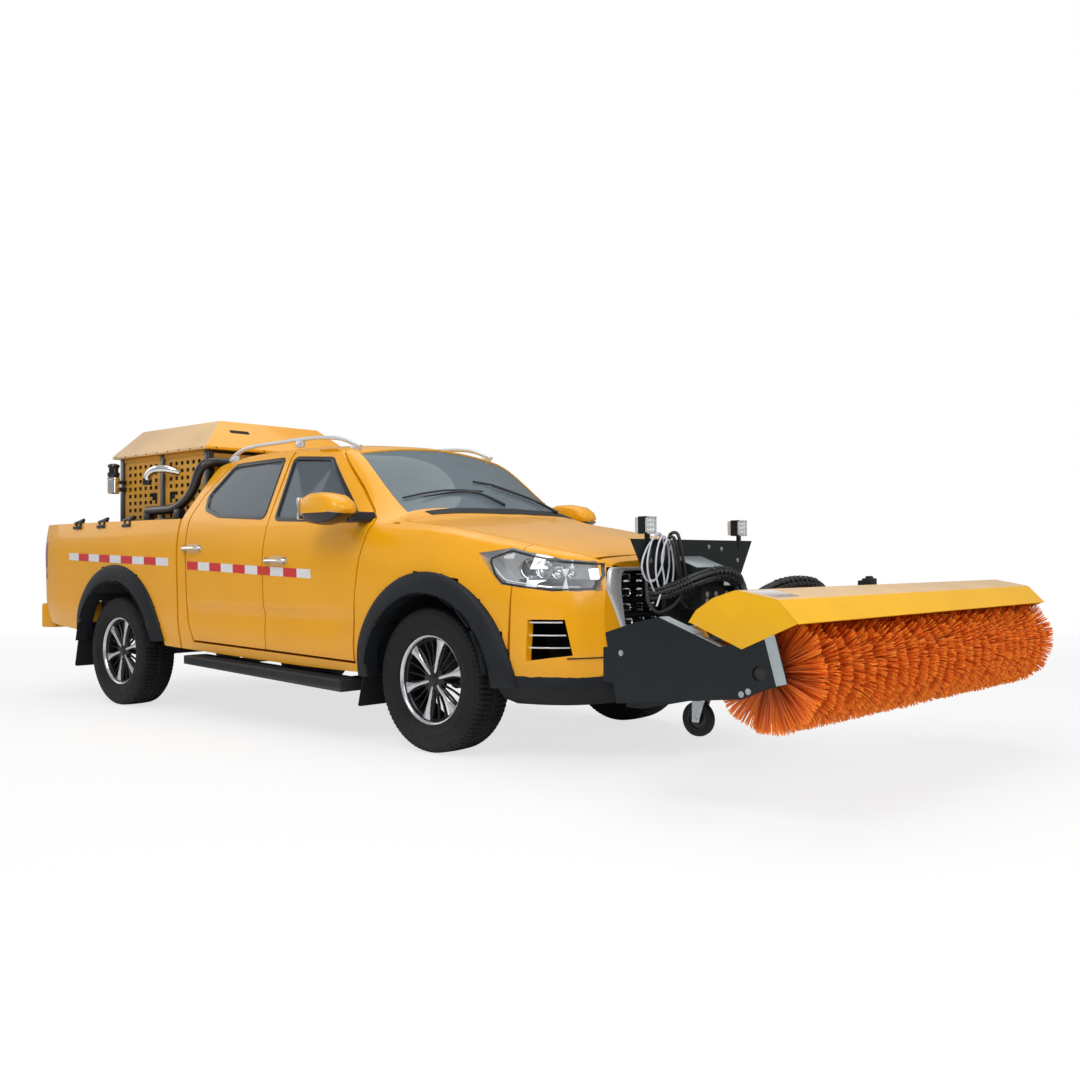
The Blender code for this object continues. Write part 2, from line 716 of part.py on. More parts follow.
def inset(points, depths):
    """A half section moved inwards, square to itself, by a depth for each point."""
    result = []
    for i, (point, depth) in enumerate(zip(points, depths)):
        before = Vector(points[max(i - 1, 0)])
        after = Vector(points[i + 1]) if i + 1 < len(points) else Vector((-points[-2][0], points[-2][1]))
        along = (after - before).normalized()
        result.append((max(point[0] - along.y * depth, 0), point[1] + along.x * depth))
    result[-1] = (0, result[-1][1])
    return result


def ring_of(x, half, drop=0.0):
    """A closed ring from a half section; drop lowers its open bottom edge."""
    low = [(half[0][0], half[0][1] - drop)] if drop else []
    side = low + list(half)
    left = [(x, y, z) for y, z in side]
    right = [(x, -y, z) for y, z in reversed(side) if y]
    return left + right


def body_solid(name, depth_low=0.0, depth_high=0.0, first=NOSE_share, last=CAB_REAR_share, drop=0.0,
               nose=0.0, tail=0.0):
    """The cab and front body as one solid, optionally set in by a depth on every side."""
    rings = []
    table = INNER_STATION_shares if depth_high > GLASS_SINK + GLASS_THICKNESS else CAB_STATION_shares
    stations = [share for share in table if first <= share <= last]
    for number, share in enumerate(stations):
        lower = flank(share)
        half = lower + upper(share, lower[-1])
        depths = [depth_low] * (len(lower) - 1) + [(depth_low + depth_high) / 2]
        depths += [depth_high] * (len(half) - len(lower))
        x = at(share)
        if number == 0:
            x -= nose
        elif number == len(stations) - 1:
            x += tail
        rings.append(ring_of(x, inset(half, depths) if depth_high else half, drop))
    return loft(name, rings)


def body_shell(name, depth_low, depth_high, nose, tail):
    """The body's outer solid less its inside, open below."""
    outer = body_solid(name)
    return cut(outer, body_solid("inside", depth_low, depth_high, drop=OVERRUN, nose=nose, tail=tail))


def slab_between(name, outer_low, outer_high, inner_low, inner_high):
    """A skin between two depths under the body surface, for the glass."""
    outside = body_solid(name, outer_low, outer_high, drop=OVERRUN)
    return cut(outside, body_solid("inside", inner_low, inner_high, drop=2 * OVERRUN,
                                   nose=GLASS_THICKNESS, tail=GLASS_THICKNESS))


def side_prism(name, outline, inner_y):
    """A cutter through the right side of the body, in as far as a distance from the middle."""
    return prism(name, outline, -HALF_WIDTH - 2 * OVERRUN, -inner_y, "Y")


def hood_plan(margin=0.0):
    """The hood's outline seen from above, grown by a margin."""
    rear = [(at(place), width * HALF_WIDTH) for place, width in HOOD_PLAN_shares]
    edge = []
    for share in HOOD_STATION_shares:
        edge.append((at(share), guide(BELT_WIDTH_shares, share) * HALF_WIDTH * HOOD_EDGE_share))
    half = rear[1:] + edge
    other = [(x, -y) for x, y in reversed(half)]
    return grown([rear[0]] + half + other, margin)


def arch_cutter(name, axle_x, radius, inner_y, side):
    low, high = sorted((side * inner_y, side * (HALF_WIDTH + 2 * OVERRUN)))
    centre = (axle_x, AXLE_Z)
    below = AXLE_Z - radius - 2 * OVERRUN
    outline = arc(centre, radius, 0, 180, ARCH_SEGMENTS)
    outline += [(axle_x - radius, below), (axle_x + radius, below)]
    return prism(name, outline, low, high, "Y")


def arch_band(name, axle_x, inner_r, outer_r, foot_z, low, high):
    """An arched strip over a wheel, down to a foot height on both sides."""
    centre = (axle_x, AXLE_Z)
    inner_turn, outer_turn = (degrees(asin((foot_z - AXLE_Z) / radius)) for radius in (inner_r, outer_r))
    inner = arc(centre, inner_r, inner_turn, 180 - inner_turn, ARCH_SEGMENTS)
    outer = arc(centre, outer_r, 180 - outer_turn, outer_turn, ARCH_SEGMENTS)
    return prism(name, inner + outer, low, high, "Y")


# Cab and body panels


YELLOW = finish("yellow paint", (0.95, 0.55, 0.02), 0.25)
BLACK = finish("black plastic", (0.02, 0.02, 0.022), 0.55)
DARK_STEEL = finish("dark grey paint", (0.035, 0.045, 0.05), 0.45)
RUBBER = finish("rubber", (0.015, 0.015, 0.016), 0.8)
SILVER = finish("silver", (0.6, 0.61, 0.62), 0.3, 0.9)
GLASS = finish("glass", (0.35, 0.42, 0.45), 0.05)
LAMP = finish("lamp", (0.8, 0.82, 0.85), 0.1)
RED_LAMP = finish("red lamp", (0.6, 0.02, 0.02), 0.15)
ORANGE = finish("orange bristle", (0.85, 0.16, 0.02), 0.7)
INTERIOR = finish("interior", (0.06, 0.06, 0.065), 0.7)
STEEL = finish("black steel", (0.03, 0.03, 0.03), 0.5, 0.3)
GALVANISED = finish("galvanised steel", (0.55, 0.57, 0.58), 0.35, 0.9)
HOSE = finish("hose", (0.02, 0.02, 0.02), 0.6)
CABLE = finish("pale cable", (0.75, 0.76, 0.78), 0.4)


def both_doors_rebate():
    """The recess that both right-hand doors close into, as one cutter."""
    outside = body_solid("rebate", -OVERRUN, -OVERRUN)
    inside = body_solid("rebate floor", DOOR_THICKNESS + REBATE_CLEARANCE,
                        SKIN_THICKNESS + REBATE_CLEARANCE, drop=OVERRUN)
    cut(outside, inside)
    area = side_prism("front area", grown(outline_of(FRONT_DOOR_shares), FRAME_GAP), DOOR_INNER_Y - DOOR_GAP)
    join(area, side_prism("rear area", grown(outline_of(REAR_DOOR_shares), FRAME_GAP),
                          DOOR_INNER_Y - DOOR_GAP))
    return keep(outside, area)


def windshield_plan(distance=0.0):
    half = [(at(place), width * HALF_WIDTH) for place, width in WINDSHIELD_shares]
    other = [(x, -y) for x, y in half[-2:0:-1]]
    return grown(half + other, distance)


def rear_window_outline(distance=0.0):
    return grown([(-REAR_WINDOW_HALF, REAR_WINDOW_LOW), (REAR_WINDOW_HALF, REAR_WINDOW_LOW),
                  (REAR_WINDOW_HALF, REAR_WINDOW_HIGH), (-REAR_WINDOW_HALF, REAR_WINDOW_HIGH)], distance)


def make_cab():
    """Roof, pillars, sills, cowl, rear wall and floor, with the doors' and windows' openings."""
    cab = body_shell("cab_shell", CAB_LOW, CAB_HIGH, OVERRUN, REAR_WALL)
    far = HALF_WIDTH + OVERRUN
    rebate = both_doors_rebate()
    other = mirrored(rebate, "other rebate")
    cut(cab, rebate, other)
    for outline in (FRONT_DOOR_shares, REAR_DOOR_shares):
        cut(cab, side_prism("aperture", grown(outline_of(outline), -APERTURE_LIP), -HALF_WIDTH))
    cut(cab, prism("front", [(at(COWL_CUT_share), 0), (at(COWL_CUT_share), COWL_CUT_Z),
                             (NOSE_X + OVERRUN, COWL_CUT_Z), (NOSE_X + OVERRUN, 0)], -far, far))
    cut(cab, prism("hood space", hood_plan(SHUT_GAP), BONNET_LINE_Z, ROOF_Z, "Z"))
    rear = at(CAB_REAR_share)
    wall = at(COWL_CUT_share)
    sill = HALF_WIDTH - CAB_LOW
    join(cab, block("floor", (rear + REAR_WALL / 2, -sill, FLOOR_Z),
                    (wall + SKIN_THICKNESS, sill, FLOOR_Z + FLOOR_THICKNESS)))
    join(cab, block("firewall", (wall, -sill, FLOOR_Z), (wall + SKIN_THICKNESS, sill, COWL_CUT_Z + OVERRUN)))
    fender = grown(outline_of(FENDER_shares), GAP)
    cut(cab, prism("right fender", fender, -far, -FENDER_INNER_Y),
        prism("left fender", fender, FENDER_INNER_Y, far))
    for side in (-1, 1):
        cut(cab, arch_cutter("arch", FRONT_AXLE_X, LINER_R + LINER_THICKNESS + SHUT_GAP,
                             LINER_INNER_Y - SHUT_GAP, side))
    cut(cab, block("nose", (at(HOOD_PLAN_shares[0][0]) + SHUT_GAP, -far, 0),
                   (NOSE_X + OVERRUN, far, ROOF_Z)))
    cut(cab, prism("windshield", windshield_plan(), COWL_CUT_Z - OVERRUN, ROOF_Z + OVERRUN, "Z"))
    cut(cab, prism("rear window", rear_window_outline(), rear - OVERRUN, rear + REAR_WALL + OVERRUN, "X"))
    cut(cab, block("rail way", (rear - OVERRUN, -RAIL_Y - RAIL_WIDTH, 0),
                   (rear + REAR_WALL + OVERRUN, RAIL_Y + RAIL_WIDTH, FLOOR_Z)))
    for leaf in HINGE_LEAF_shares:
        pad = body_solid("leaf", DOOR_THICKNESS + GAP, SKIN_THICKNESS + GAP)
        keep(pad, side_prism("leaf area", outline_of(leaf), sill))
        twin = mirrored(pad, "other leaf")
        join(cab, pad, twin)
    for side in (-1, 1):
        low, high = sorted((side * BRACKET_Y, side * (BRACKET_Y + BRACKET_WIDTH)))
        bracket = body_solid("hood bracket", SKIN_THICKNESS + GAP, SKIN_THICKNESS + GAP)
        keep(bracket, block("bracket area", (wall, low, COWL_CUT_Z - OVERRUN),
                            (wall + BRACKET_REACH, high, ROOF_Z)))
        join(cab, bracket)
    return tidy(cab, YELLOW)


def make_glass():
    """Windshield and rear window."""
    plan = prism("windshield plan", windshield_plan(-GLASS_GAP), COWL_CUT_Z - OVERRUN, ROOF_Z + OVERRUN, "Z")
    shield = slab_between("windshield", GLASS_SINK, GLASS_SINK, GLASS_SINK + GLASS_THICKNESS,
                          GLASS_SINK + GLASS_THICKNESS)
    keep(shield, plan)
    tidy(shield, GLASS)
    place = at(CAB_REAR_share) + REAR_WALL / 2
    tidy(prism("rear_window", rear_window_outline(-GLASS_GAP), place, place + GLASS_THICKNESS, "X"), GLASS)


def mirror_head(name):
    """The mirror's housing and its foot, which reaches the door's skin."""
    back, front = at(MIRROR_BACK_share), at(MIRROR_FRONT_share)
    low, high = MIRROR_LOW, MIRROR_HIGH
    length, height = front - back, high - low
    rings = []
    for y_share, size_share in ((0, 0.8), (0.3, 1), (0.75, 0.95), (1, 0.7)):
        y = -(MIRROR_IN_Y + (MIRROR_OUT_Y - MIRROR_IN_Y) * y_share)
        ring = []
        for x_share, z_share in ((0, 0.25), (0, 0.85), (0.25, 1), (0.7, 0.95), (1, 0.6), (0.95, 0.2),
                                 (0.6, 0)):
            x = back + length * (0.5 + (x_share - 0.5) * size_share)
            z = low + height * (0.5 + (z_share - 0.5) * size_share)
            ring.append((x, y, z))
        rings.append(ring)
    head = loft(name, rings)
    middle = front - length * 0.3
    foot = block("foot", (middle - MIRROR_ARM, -MIRROR_IN_Y - MIRROR_ARM, low + MIRROR_ARM / 2),
                 (middle + MIRROR_ARM, -HALF_WIDTH * 0.86, low + 2 * MIRROR_ARM))
    return join(head, foot)


def make_doors():
    """Four doors with their glass; the front ones carry the mirrors."""
    for place, outline, window in (("front", FRONT_DOOR_shares, FRONT_WINDOW_shares),
                                   ("rear", REAR_DOOR_shares, REAR_WINDOW_shares)):
        door = body_shell("door_" + place + "_right", DOOR_THICKNESS, SKIN_THICKNESS, OVERRUN, OVERRUN)
        keep(door, side_prism("door area", outline_of(outline), DOOR_INNER_Y))
        cut(door, side_prism("window", outline_of(window), 0))
        if place == "front":
            join(door, mirror_head("mirror"))
        tidy(door, YELLOW)
        edge_share = min(share for share, height in outline)
        hinge = (at(edge_share) + HINGE_LEAD, -HALF_WIDTH - GAP, outline[0][1] * ROOF_Z)
        glass = slab_between("glass_" + place + "_right", GLASS_SINK, GLASS_SINK,
                             GLASS_SINK + GLASS_THICKNESS, GLASS_SINK + GLASS_THICKNESS)
        keep(glass, side_prism("glass area", grown(outline_of(window), -GLASS_GAP), DOOR_INNER_Y))
        tidy(glass, GLASS)
        for item in (door, glass):
            twin = mirrored(item, item.name.replace("right", "left"))
            set_origin(item, hinge)
            set_origin(twin, (hinge[0], -hinge[1], hinge[2]))


def front_shell(name):
    return body_shell(name, SKIN_THICKNESS, SKIN_THICKNESS, SKIN_THICKNESS, OVERRUN)


def make_hood():
    hood = keep(front_shell("hood"), prism("plan", hood_plan(), BONNET_LINE_Z, ROOF_Z, "Z"))
    front = at(HOOD_FRONT_share)
    top = guide(CROWN_HEIGHT_shares, HOOD_FRONT_share) * ROOF_Z
    relief = [(front - RELIEF_share * (top - BONNET_LINE_Z), BONNET_LINE_Z), (front, top),
              (front + OVERRUN, top), (front + OVERRUN, BONNET_LINE_Z)]
    cut(hood, prism("front relief", relief, -HALF_WIDTH, HALF_WIDTH))
    tidy(hood, YELLOW)
    edge = HOOD_PLAN_shares[-1]
    set_origin(hood, (at(edge[0]), 0, guide(CROWN_HEIGHT_shares, HOOD_PLAN_shares[0][0]) * ROOF_Z))


def make_fenders():
    fender = front_shell("fender_right")
    far = HALF_WIDTH + OVERRUN
    keep(fender, prism("area", outline_of(FENDER_shares), -far, -OVERRUN))
    cut(fender, prism("hood space", hood_plan(SHUT_GAP), BONNET_LINE_Z, ROOF_Z, "Z"))
    cut(fender, arch_cutter("arch", FRONT_AXLE_X, FRONT_ARCH_R, RAIL_Y, -1))
    cut(fender, headlamp_area(GAP))
    foot = SILL_HEIGHT_shares[1][1] * ROOF_Z
    outer = FRONT_ARCH_R + FLARE_WIDTH
    flare = arch_band("flare", FRONT_AXLE_X, FRONT_ARCH_R, outer, foot, -HALF_WIDTH - FLARE_PROUD,
                      -HALF_WIDTH + FLARE_SINK)
    liner = arch_band("liner", FRONT_AXLE_X, LINER_R, LINER_R + LINER_THICKNESS, foot,
                      -HALF_WIDTH + FLARE_SINK / 2, -LINER_INNER_Y)
    cut(liner, block("rail space", (at(LINER_REACH_share), -RAIL_Y - RAIL_WIDTH, 0),
                     (at(-LINER_REACH_share), RAIL_Y, FRONT_RAIL_TOP + OVERRUN)))
    cut(fender, block("cowl side", (at(FENDER_shares[0][0]) - OVERRUN, -FENDER_INNER_Y - SHUT_GAP,
                                    BONNET_LINE_Z),
                      (FRONT_AXLE_X, OVERRUN, ROOF_Z)))
    join(fender, flare, liner)
    limit = outline_of(FENDER_shares)
    cut(fender, block("door side", (limit[1][0] - OVERRUN * 3, -far - OVERRUN, 0),
                      (limit[0][0], -OVERRUN, COWL_CUT_Z - 2 * OVERRUN)))
    front = at(FASCIA_REAR_share)
    cut(fender, block("fascia side", (front, -far - OVERRUN, 0),
                      (front + 3 * OVERRUN, -OVERRUN, ROOF_Z / 2)))
    tidy(fender, YELLOW)
    mirrored(fender, "fender_left")


def headlamp_area(distance=0.0):
    far = HALF_WIDTH + OVERRUN
    return prism("lamp area", grown(outline_of(HEADLAMP_shares), distance), -far,
                 -HEADLAMP_INNER_Y + distance)


def make_headlamps():
    lamp = body_shell("headlamp_right", HEADLAMP_DEPTH, HEADLAMP_DEPTH, HEADLAMP_DEPTH, OVERRUN)
    keep(lamp, headlamp_area())
    cut(lamp, prism("hood space", hood_plan(SHUT_GAP), BONNET_LINE_Z, ROOF_Z, "Z"))
    tidy(lamp, LAMP)
    mirrored(lamp, "headlamp_left")


def grille_outline(distance=0.0):
    half = [(width * HALF_WIDTH, height * ROOF_Z) for width, height in GRILLE_shares]
    other = [(-y, z) for y, z in reversed(half)]
    return grown(half + other, distance)


def make_fascia():
    """Bumper and nose panel round the grille, with a vent on each side."""
    fascia = front_shell("front_bumper")
    far = HALF_WIDTH + OVERRUN
    rear = at(FASCIA_REAR_share) + SHUT_GAP
    low = at(FASCIA_LOW_share) + SHUT_GAP
    split = FENDER_shares[6][1] * ROOF_Z
    keep(fascia, prism("area", [(low, 0), (rear, split), (rear, ROOF_Z), (NOSE_X + OVERRUN, ROOF_Z),
                                (NOSE_X + OVERRUN, 0)], -far, far))
    cut(fascia, prism("hood space", hood_plan(SHUT_GAP), BONNET_LINE_Z, ROOF_Z, "Z"))
    for side in (-1, 1):
        lamp = headlamp_area(GAP)
        if side == 1:
            right = lamp
            lamp = mirrored(right, "other lamp")
            bpy.data.objects.remove(right, do_unlink=True)
        cut(fascia, lamp)
        vent = outline_of(VENT_shares)
        low_y, high_y = sorted((side * VENT_INNER_Y, side * far))
        cut(fascia, prism("vent", vent, low_y, high_y))
        cut(fascia, arch_cutter("arch", FRONT_AXLE_X, FRONT_ARCH_R + FLARE_WIDTH + SHUT_GAP, RAIL_Y, side))
    cut(fascia, prism("grille space", grille_outline(), NOSE_X - 2 * OVERRUN, NOSE_X + OVERRUN, "X"))
    beam = block("beam", (at(RAIL_LINE[0][0]) + GAP, -RAIL_Y, FRONT_RAIL_TOP - RAIL_HEIGHT / 2),
                 (NOSE_X - SKIN_THICKNESS / 2, RAIL_Y, GRILLE_shares[-1][1] * ROOF_Z - SHUT_GAP))
    join(fascia, beam)
    tidy(fascia, YELLOW)


def make_grille():
    """A rim, a back panel and level bars."""
    low, high = NOSE_X - GRILLE_DEPTH, NOSE_X
    outer = prism("grille", grille_outline(-GAP), low, high + GRILLE_RIM / 3, "X")
    cut(outer, prism("inside", grille_outline(-GRILLE_RIM), low + GRILLE_RIM / 3, high + OVERRUN, "X"))
    top = GRILLE_shares[0][1] * ROOF_Z
    bottom = GRILLE_shares[2][1] * ROOF_Z
    step = (top - bottom) / (GRILLE_BARS + 1)
    for number in range(GRILLE_BARS):
        z = bottom + step * (number + 1)
        bar = block("bar", (low + GRILLE_RIM / 6, -HALF_WIDTH, z - GRILLE_RIM / 3),
                    (high - GRILLE_RIM / 3, HALF_WIDTH, z + GRILLE_RIM / 3))
        keep(bar, prism("reach", grille_outline(-GRILLE_RIM / 2), low, high + OVERRUN, "X"))
        join(outer, bar)
    tidy(outer, BLACK)


def bed_solid(name, distance=0.0):
    """The bed's outer form as one block with a flat top at the rail."""
    rings = []
    for share in BED_STATION_shares:
        half = flank(share)
        rings.append(ring_of(at(share), [(y - distance, z) for y, z in half]))
    return loft(name, rings)


def tail_lamp_box(margin=0.0):
    tail = at(TAIL_share)
    return block("lamp box", (tail - OVERRUN, -HALF_WIDTH - OVERRUN, LAMP_Z_LOW - margin),
                 (tail + LAMP_DEPTH_X + margin, -LAMP_INNER_Y + margin, LAMP_Z_HIGH + margin))


def make_bed():
    bed = bed_solid("bed")
    front, tail = at(BED_FRONT_share), at(TAIL_share)
    top = ROOF_Z
    space = block("load space", (tail + TAILGATE_THICKNESS, -BED_INNER_Y, BED_FLOOR_Z),
                  (front - BED_WALL, BED_INNER_Y, top))
    centre = (REAR_AXLE_X, 0, AXLE_Z)
    for side in (-1, 1):
        low, high = sorted((side * WHEELHOUSE_Y, side * (HALF_WIDTH + OVERRUN)))
        cut(space, drum("wheelhouse", centre, REAR_ARCH_R + WHEELHOUSE_WALL, low, high, "Y",
                        WHEELHOUSE_SIDES))
    cut(bed, space)
    under_y = HALF_WIDTH - BED_WALL - SKIN_THICKNESS / 2
    under = block("under space", (tail - OVERRUN, -under_y, 0), (front + OVERRUN, under_y, BED_UNDER_Z))
    cut(bed, under)
    cut(bed, block("gate space", (tail - OVERRUN, -TAILGATE_HALF - DOOR_GAP, TAILGATE_LOW - DOOR_GAP),
                   (tail + TAILGATE_THICKNESS / 2 * (1 + sqrt(2)) + SHUT_GAP, TAILGATE_HALF + DOOR_GAP, top)))
    cut(bed, gate_pins("pin holes", bored(GATE_PIN_R, GATE_PIN_SIDES),
                       TAILGATE_HALF + GATE_PIN_LENGTH + GAP))
    for side in (-1, 1):
        cut(bed, arch_cutter("arch", REAR_AXLE_X, REAR_ARCH_R, WHEELHOUSE_Y + WHEELHOUSE_WALL, side))
        low, high = sorted((side * (HALF_WIDTH - FLARE_SINK), side * (HALF_WIDTH + FLARE_PROUD)))
        foot = SILL_HEIGHT_shares[3][1] * ROOF_Z
        join(bed, arch_band("flare", REAR_AXLE_X, REAR_ARCH_R, REAR_ARCH_R + FLARE_WIDTH, foot, low, high))
    lamp = tail_lamp_box(GAP)
    other = mirrored(lamp, "other lamp box")
    cut(bed, lamp, other)
    tidy(bed, YELLOW)
    tail_lamp = keep(bed_solid("tail_lamp_right"), tail_lamp_box())
    tidy(tail_lamp, RED_LAMP)
    mirrored(tail_lamp, "tail_lamp_left")


def gate_pins(name, radius, reach):
    """One bar through both of the tailgate's hinge pins."""
    centre = (at(TAIL_share) + TAILGATE_THICKNESS / 2, 0, TAILGATE_LOW + TAILGATE_THICKNESS / 2)
    return drum(name, centre, radius, -reach, reach, "Y", GATE_PIN_SIDES)


def make_tailgate():
    tail = at(TAIL_share)
    high = BELT_HEIGHT_shares[-1][1] * ROOF_Z - DOOR_GAP
    gate = block("tailgate", (tail, -TAILGATE_HALF, TAILGATE_LOW),
                 (tail + TAILGATE_THICKNESS, TAILGATE_HALF, high))
    recess = 0.25 * TAILGATE_THICKNESS
    height = high - TAILGATE_LOW
    cut(gate, block("panel", (tail - OVERRUN, -0.8 * TAILGATE_HALF, TAILGATE_LOW + 0.2 * height),
                    (tail + recess, 0.8 * TAILGATE_HALF, TAILGATE_LOW + 0.62 * height)))
    join(gate, gate_pins("pins", GATE_PIN_R, TAILGATE_HALF + GATE_PIN_LENGTH))
    tidy(gate, YELLOW)
    set_origin(gate, (tail + TAILGATE_THICKNESS / 2, 0, TAILGATE_LOW + TAILGATE_THICKNESS / 2))


def make_rear_bumper():
    rear = BUMPER_REAR_X
    inner = at(RAIL_LINE[-1][0]) - GAP
    half = HALF_WIDTH - BED_WALL
    outline = [(inner, -half + BED_WALL), (rear + 0.3 * (inner - rear), -half), (rear, -0.75 * half),
               (rear, 0.75 * half), (rear + 0.3 * (inner - rear), half), (inner, half - BED_WALL)]
    bumper = prism("rear_bumper", outline, BUMPER_LOW, BUMPER_HIGH, "Z")
    step = 0.25 * (BUMPER_HIGH - BUMPER_LOW)
    cut(bumper, block("step", (rear - OVERRUN, -0.4 * half, BUMPER_HIGH - step),
                      (rear + 0.45 * (inner - rear), 0.4 * half, BUMPER_HIGH + OVERRUN)))
    tidy(bumper, YELLOW)


def rail_height(place_share):
    places = [row[0] for row in RAIL_LINE]
    tops = [row[1] for row in RAIL_LINE]
    return float(np.interp(place_share, places, tops))


def make_chassis():
    """Two rails with cross-members, running boards on brackets and the front lower arms."""
    tops = [(at(place), top) for place, top in RAIL_LINE]
    bottoms = [(x, z - RAIL_HEIGHT) for x, z in reversed(tops)]
    frame = prism("chassis_frame", tops + bottoms, -RAIL_Y - RAIL_WIDTH / 2, -RAIL_Y + RAIL_WIDTH / 2)
    join(frame, prism("left rail", tops + bottoms, RAIL_Y - RAIL_WIDTH / 2, RAIL_Y + RAIL_WIDTH / 2))
    for share in CROSS_MEMBER_shares:
        top = rail_height(share) - RAIL_HEIGHT / 4
        x = at(share)
        join(frame, block("cross", (x - RAIL_WIDTH / 2, -RAIL_Y, top - RAIL_HEIGHT / 2),
                          (x + RAIL_WIDTH / 2, RAIL_Y, top)))
    for side in (-1, 1):
        board = [(at(place), low * ROOF_Z) for place, low in BOARD_LINE_shares]
        board += [(at(place), high * ROOF_Z) for place, high in reversed(BOARD_TOP_shares)]
        low, high = sorted((side * BOARD_IN_Y, side * BOARD_OUT_Y))
        join(frame, prism("board", board, low, high))
        for share in BRACKET_shares:
            z = (guide(BOARD_LINE_shares, share) + guide(BOARD_TOP_shares, share)) / 2 * ROOF_Z
            low, high = sorted((side * RAIL_Y, side * (BOARD_IN_Y + BOARD_THICKNESS)))
            join(frame, block("bracket", (at(share) - RAIL_WIDTH / 2, low, z - BOARD_THICKNESS / 3),
                              (at(share) + RAIL_WIDTH / 2, high, z + BOARD_THICKNESS / 3)))
            low, high = sorted((side * (RAIL_Y - RAIL_WIDTH / 2), side * (RAIL_Y + RAIL_WIDTH / 2)))
            join(frame, block("drop", (at(share) - RAIL_WIDTH / 2, low, z - BOARD_THICKNESS / 3),
                              (at(share) + RAIL_WIDTH / 2, high, rail_height(share) - RAIL_HEIGHT / 2)))
        arm = [(FRONT_AXLE_X - 2 * RAIL_WIDTH, side * RAIL_Y),
               (FRONT_AXLE_X + 2 * RAIL_WIDTH, side * RAIL_Y),
               (FRONT_AXLE_X + RAIL_WIDTH / 2, side * KNUCKLE_Y),
               (FRONT_AXLE_X - RAIL_WIDTH / 2, side * KNUCKLE_Y)]
        join(frame, prism("lower arm", arm, ARM_Z, ARM_Z + ARM_THICKNESS, "Z"))
        low, high = sorted((side * (RAIL_Y - RAIL_WIDTH / 2), side * (RAIL_Y + RAIL_WIDTH / 2)))
        join(frame, block("arm post", (FRONT_AXLE_X - RAIL_WIDTH, low, ARM_Z),
                          (FRONT_AXLE_X + RAIL_WIDTH, high, FRONT_RAIL_TOP - RAIL_HEIGHT / 2)))
        upper = [(FRONT_AXLE_X - RAIL_WIDTH, side * RAIL_Y), (FRONT_AXLE_X + RAIL_WIDTH, side * RAIL_Y),
                 (FRONT_AXLE_X + RAIL_WIDTH / 2, side * KNUCKLE_Y),
                 (FRONT_AXLE_X - RAIL_WIDTH / 2, side * KNUCKLE_Y)]
        join(frame, prism("upper arm", upper, UPPER_ARM_Z, UPPER_ARM_Z + ARM_THICKNESS, "Z"))
        for share in HANGER_shares:
            low, high = sorted((side * RAIL_Y, side * (SPRING_Y + SPRING_WIDTH / 2)))
            join(frame, block("hanger", (at(share) - RAIL_WIDTH / 2, low,
                                         SPRING_EYE_Z + SPRING_EYE_R * cos(pi / EYE_SIDES) + GAP),
                              (at(share) + RAIL_WIDTH / 2, high, rail_height(share) - RAIL_HEIGHT / 2)))
    tidy(frame, STEEL)


def make_engine():
    low, high = at(ENGINE_LENGTH_shares[1]), at(ENGINE_LENGTH_shares[0])
    base = FRONT_RAIL_TOP - RAIL_HEIGHT / 4 + GAP
    block_item = block("engine_block", (low, -ENGINE_HALF, base), (high, ENGINE_HALF, ENGINE_TOP))
    bevel = block_item.modifiers.new("edges", "BEVEL")
    bevel.width = 0.3 * RAIL_WIDTH
    bevel.segments = 1
    tidy_material(block_item, STEEL)


def tidy_material(item, material):
    item.data.materials.clear()
    item.data.materials.append(material)


def make_knuckles():
    """Kingpin post between the arms, and a hub that the wheel turns on."""
    for side, name in ((-1, "knuckle_right"), (1, "knuckle_left")):
        centre = (FRONT_AXLE_X, side * KNUCKLE_Y, 0)
        low = ARM_Z + ARM_THICKNESS + GAP
        high = UPPER_ARM_Z - GAP
        post = drum(name, centre, KNUCKLE_R, low, high, "Z", 16)
        low_y, high_y = sorted((side * (KNUCKLE_Y - KNUCKLE_R / 2), side * HUB_FACE_Y))
        join(post, drum("hub", (FRONT_AXLE_X, 0, AXLE_Z), HUB_R, low_y, high_y, "Y", 14))
        low_y, high_y = sorted((side * KNUCKLE_Y, side * STUB_END_Y))
        join(post, drum("stub", (FRONT_AXLE_X, 0, AXLE_Z), STUB_R, low_y, high_y, "Y", 16))
        tidy(post, STEEL)
        set_origin(post, (FRONT_AXLE_X, side * KNUCKLE_Y, AXLE_Z))


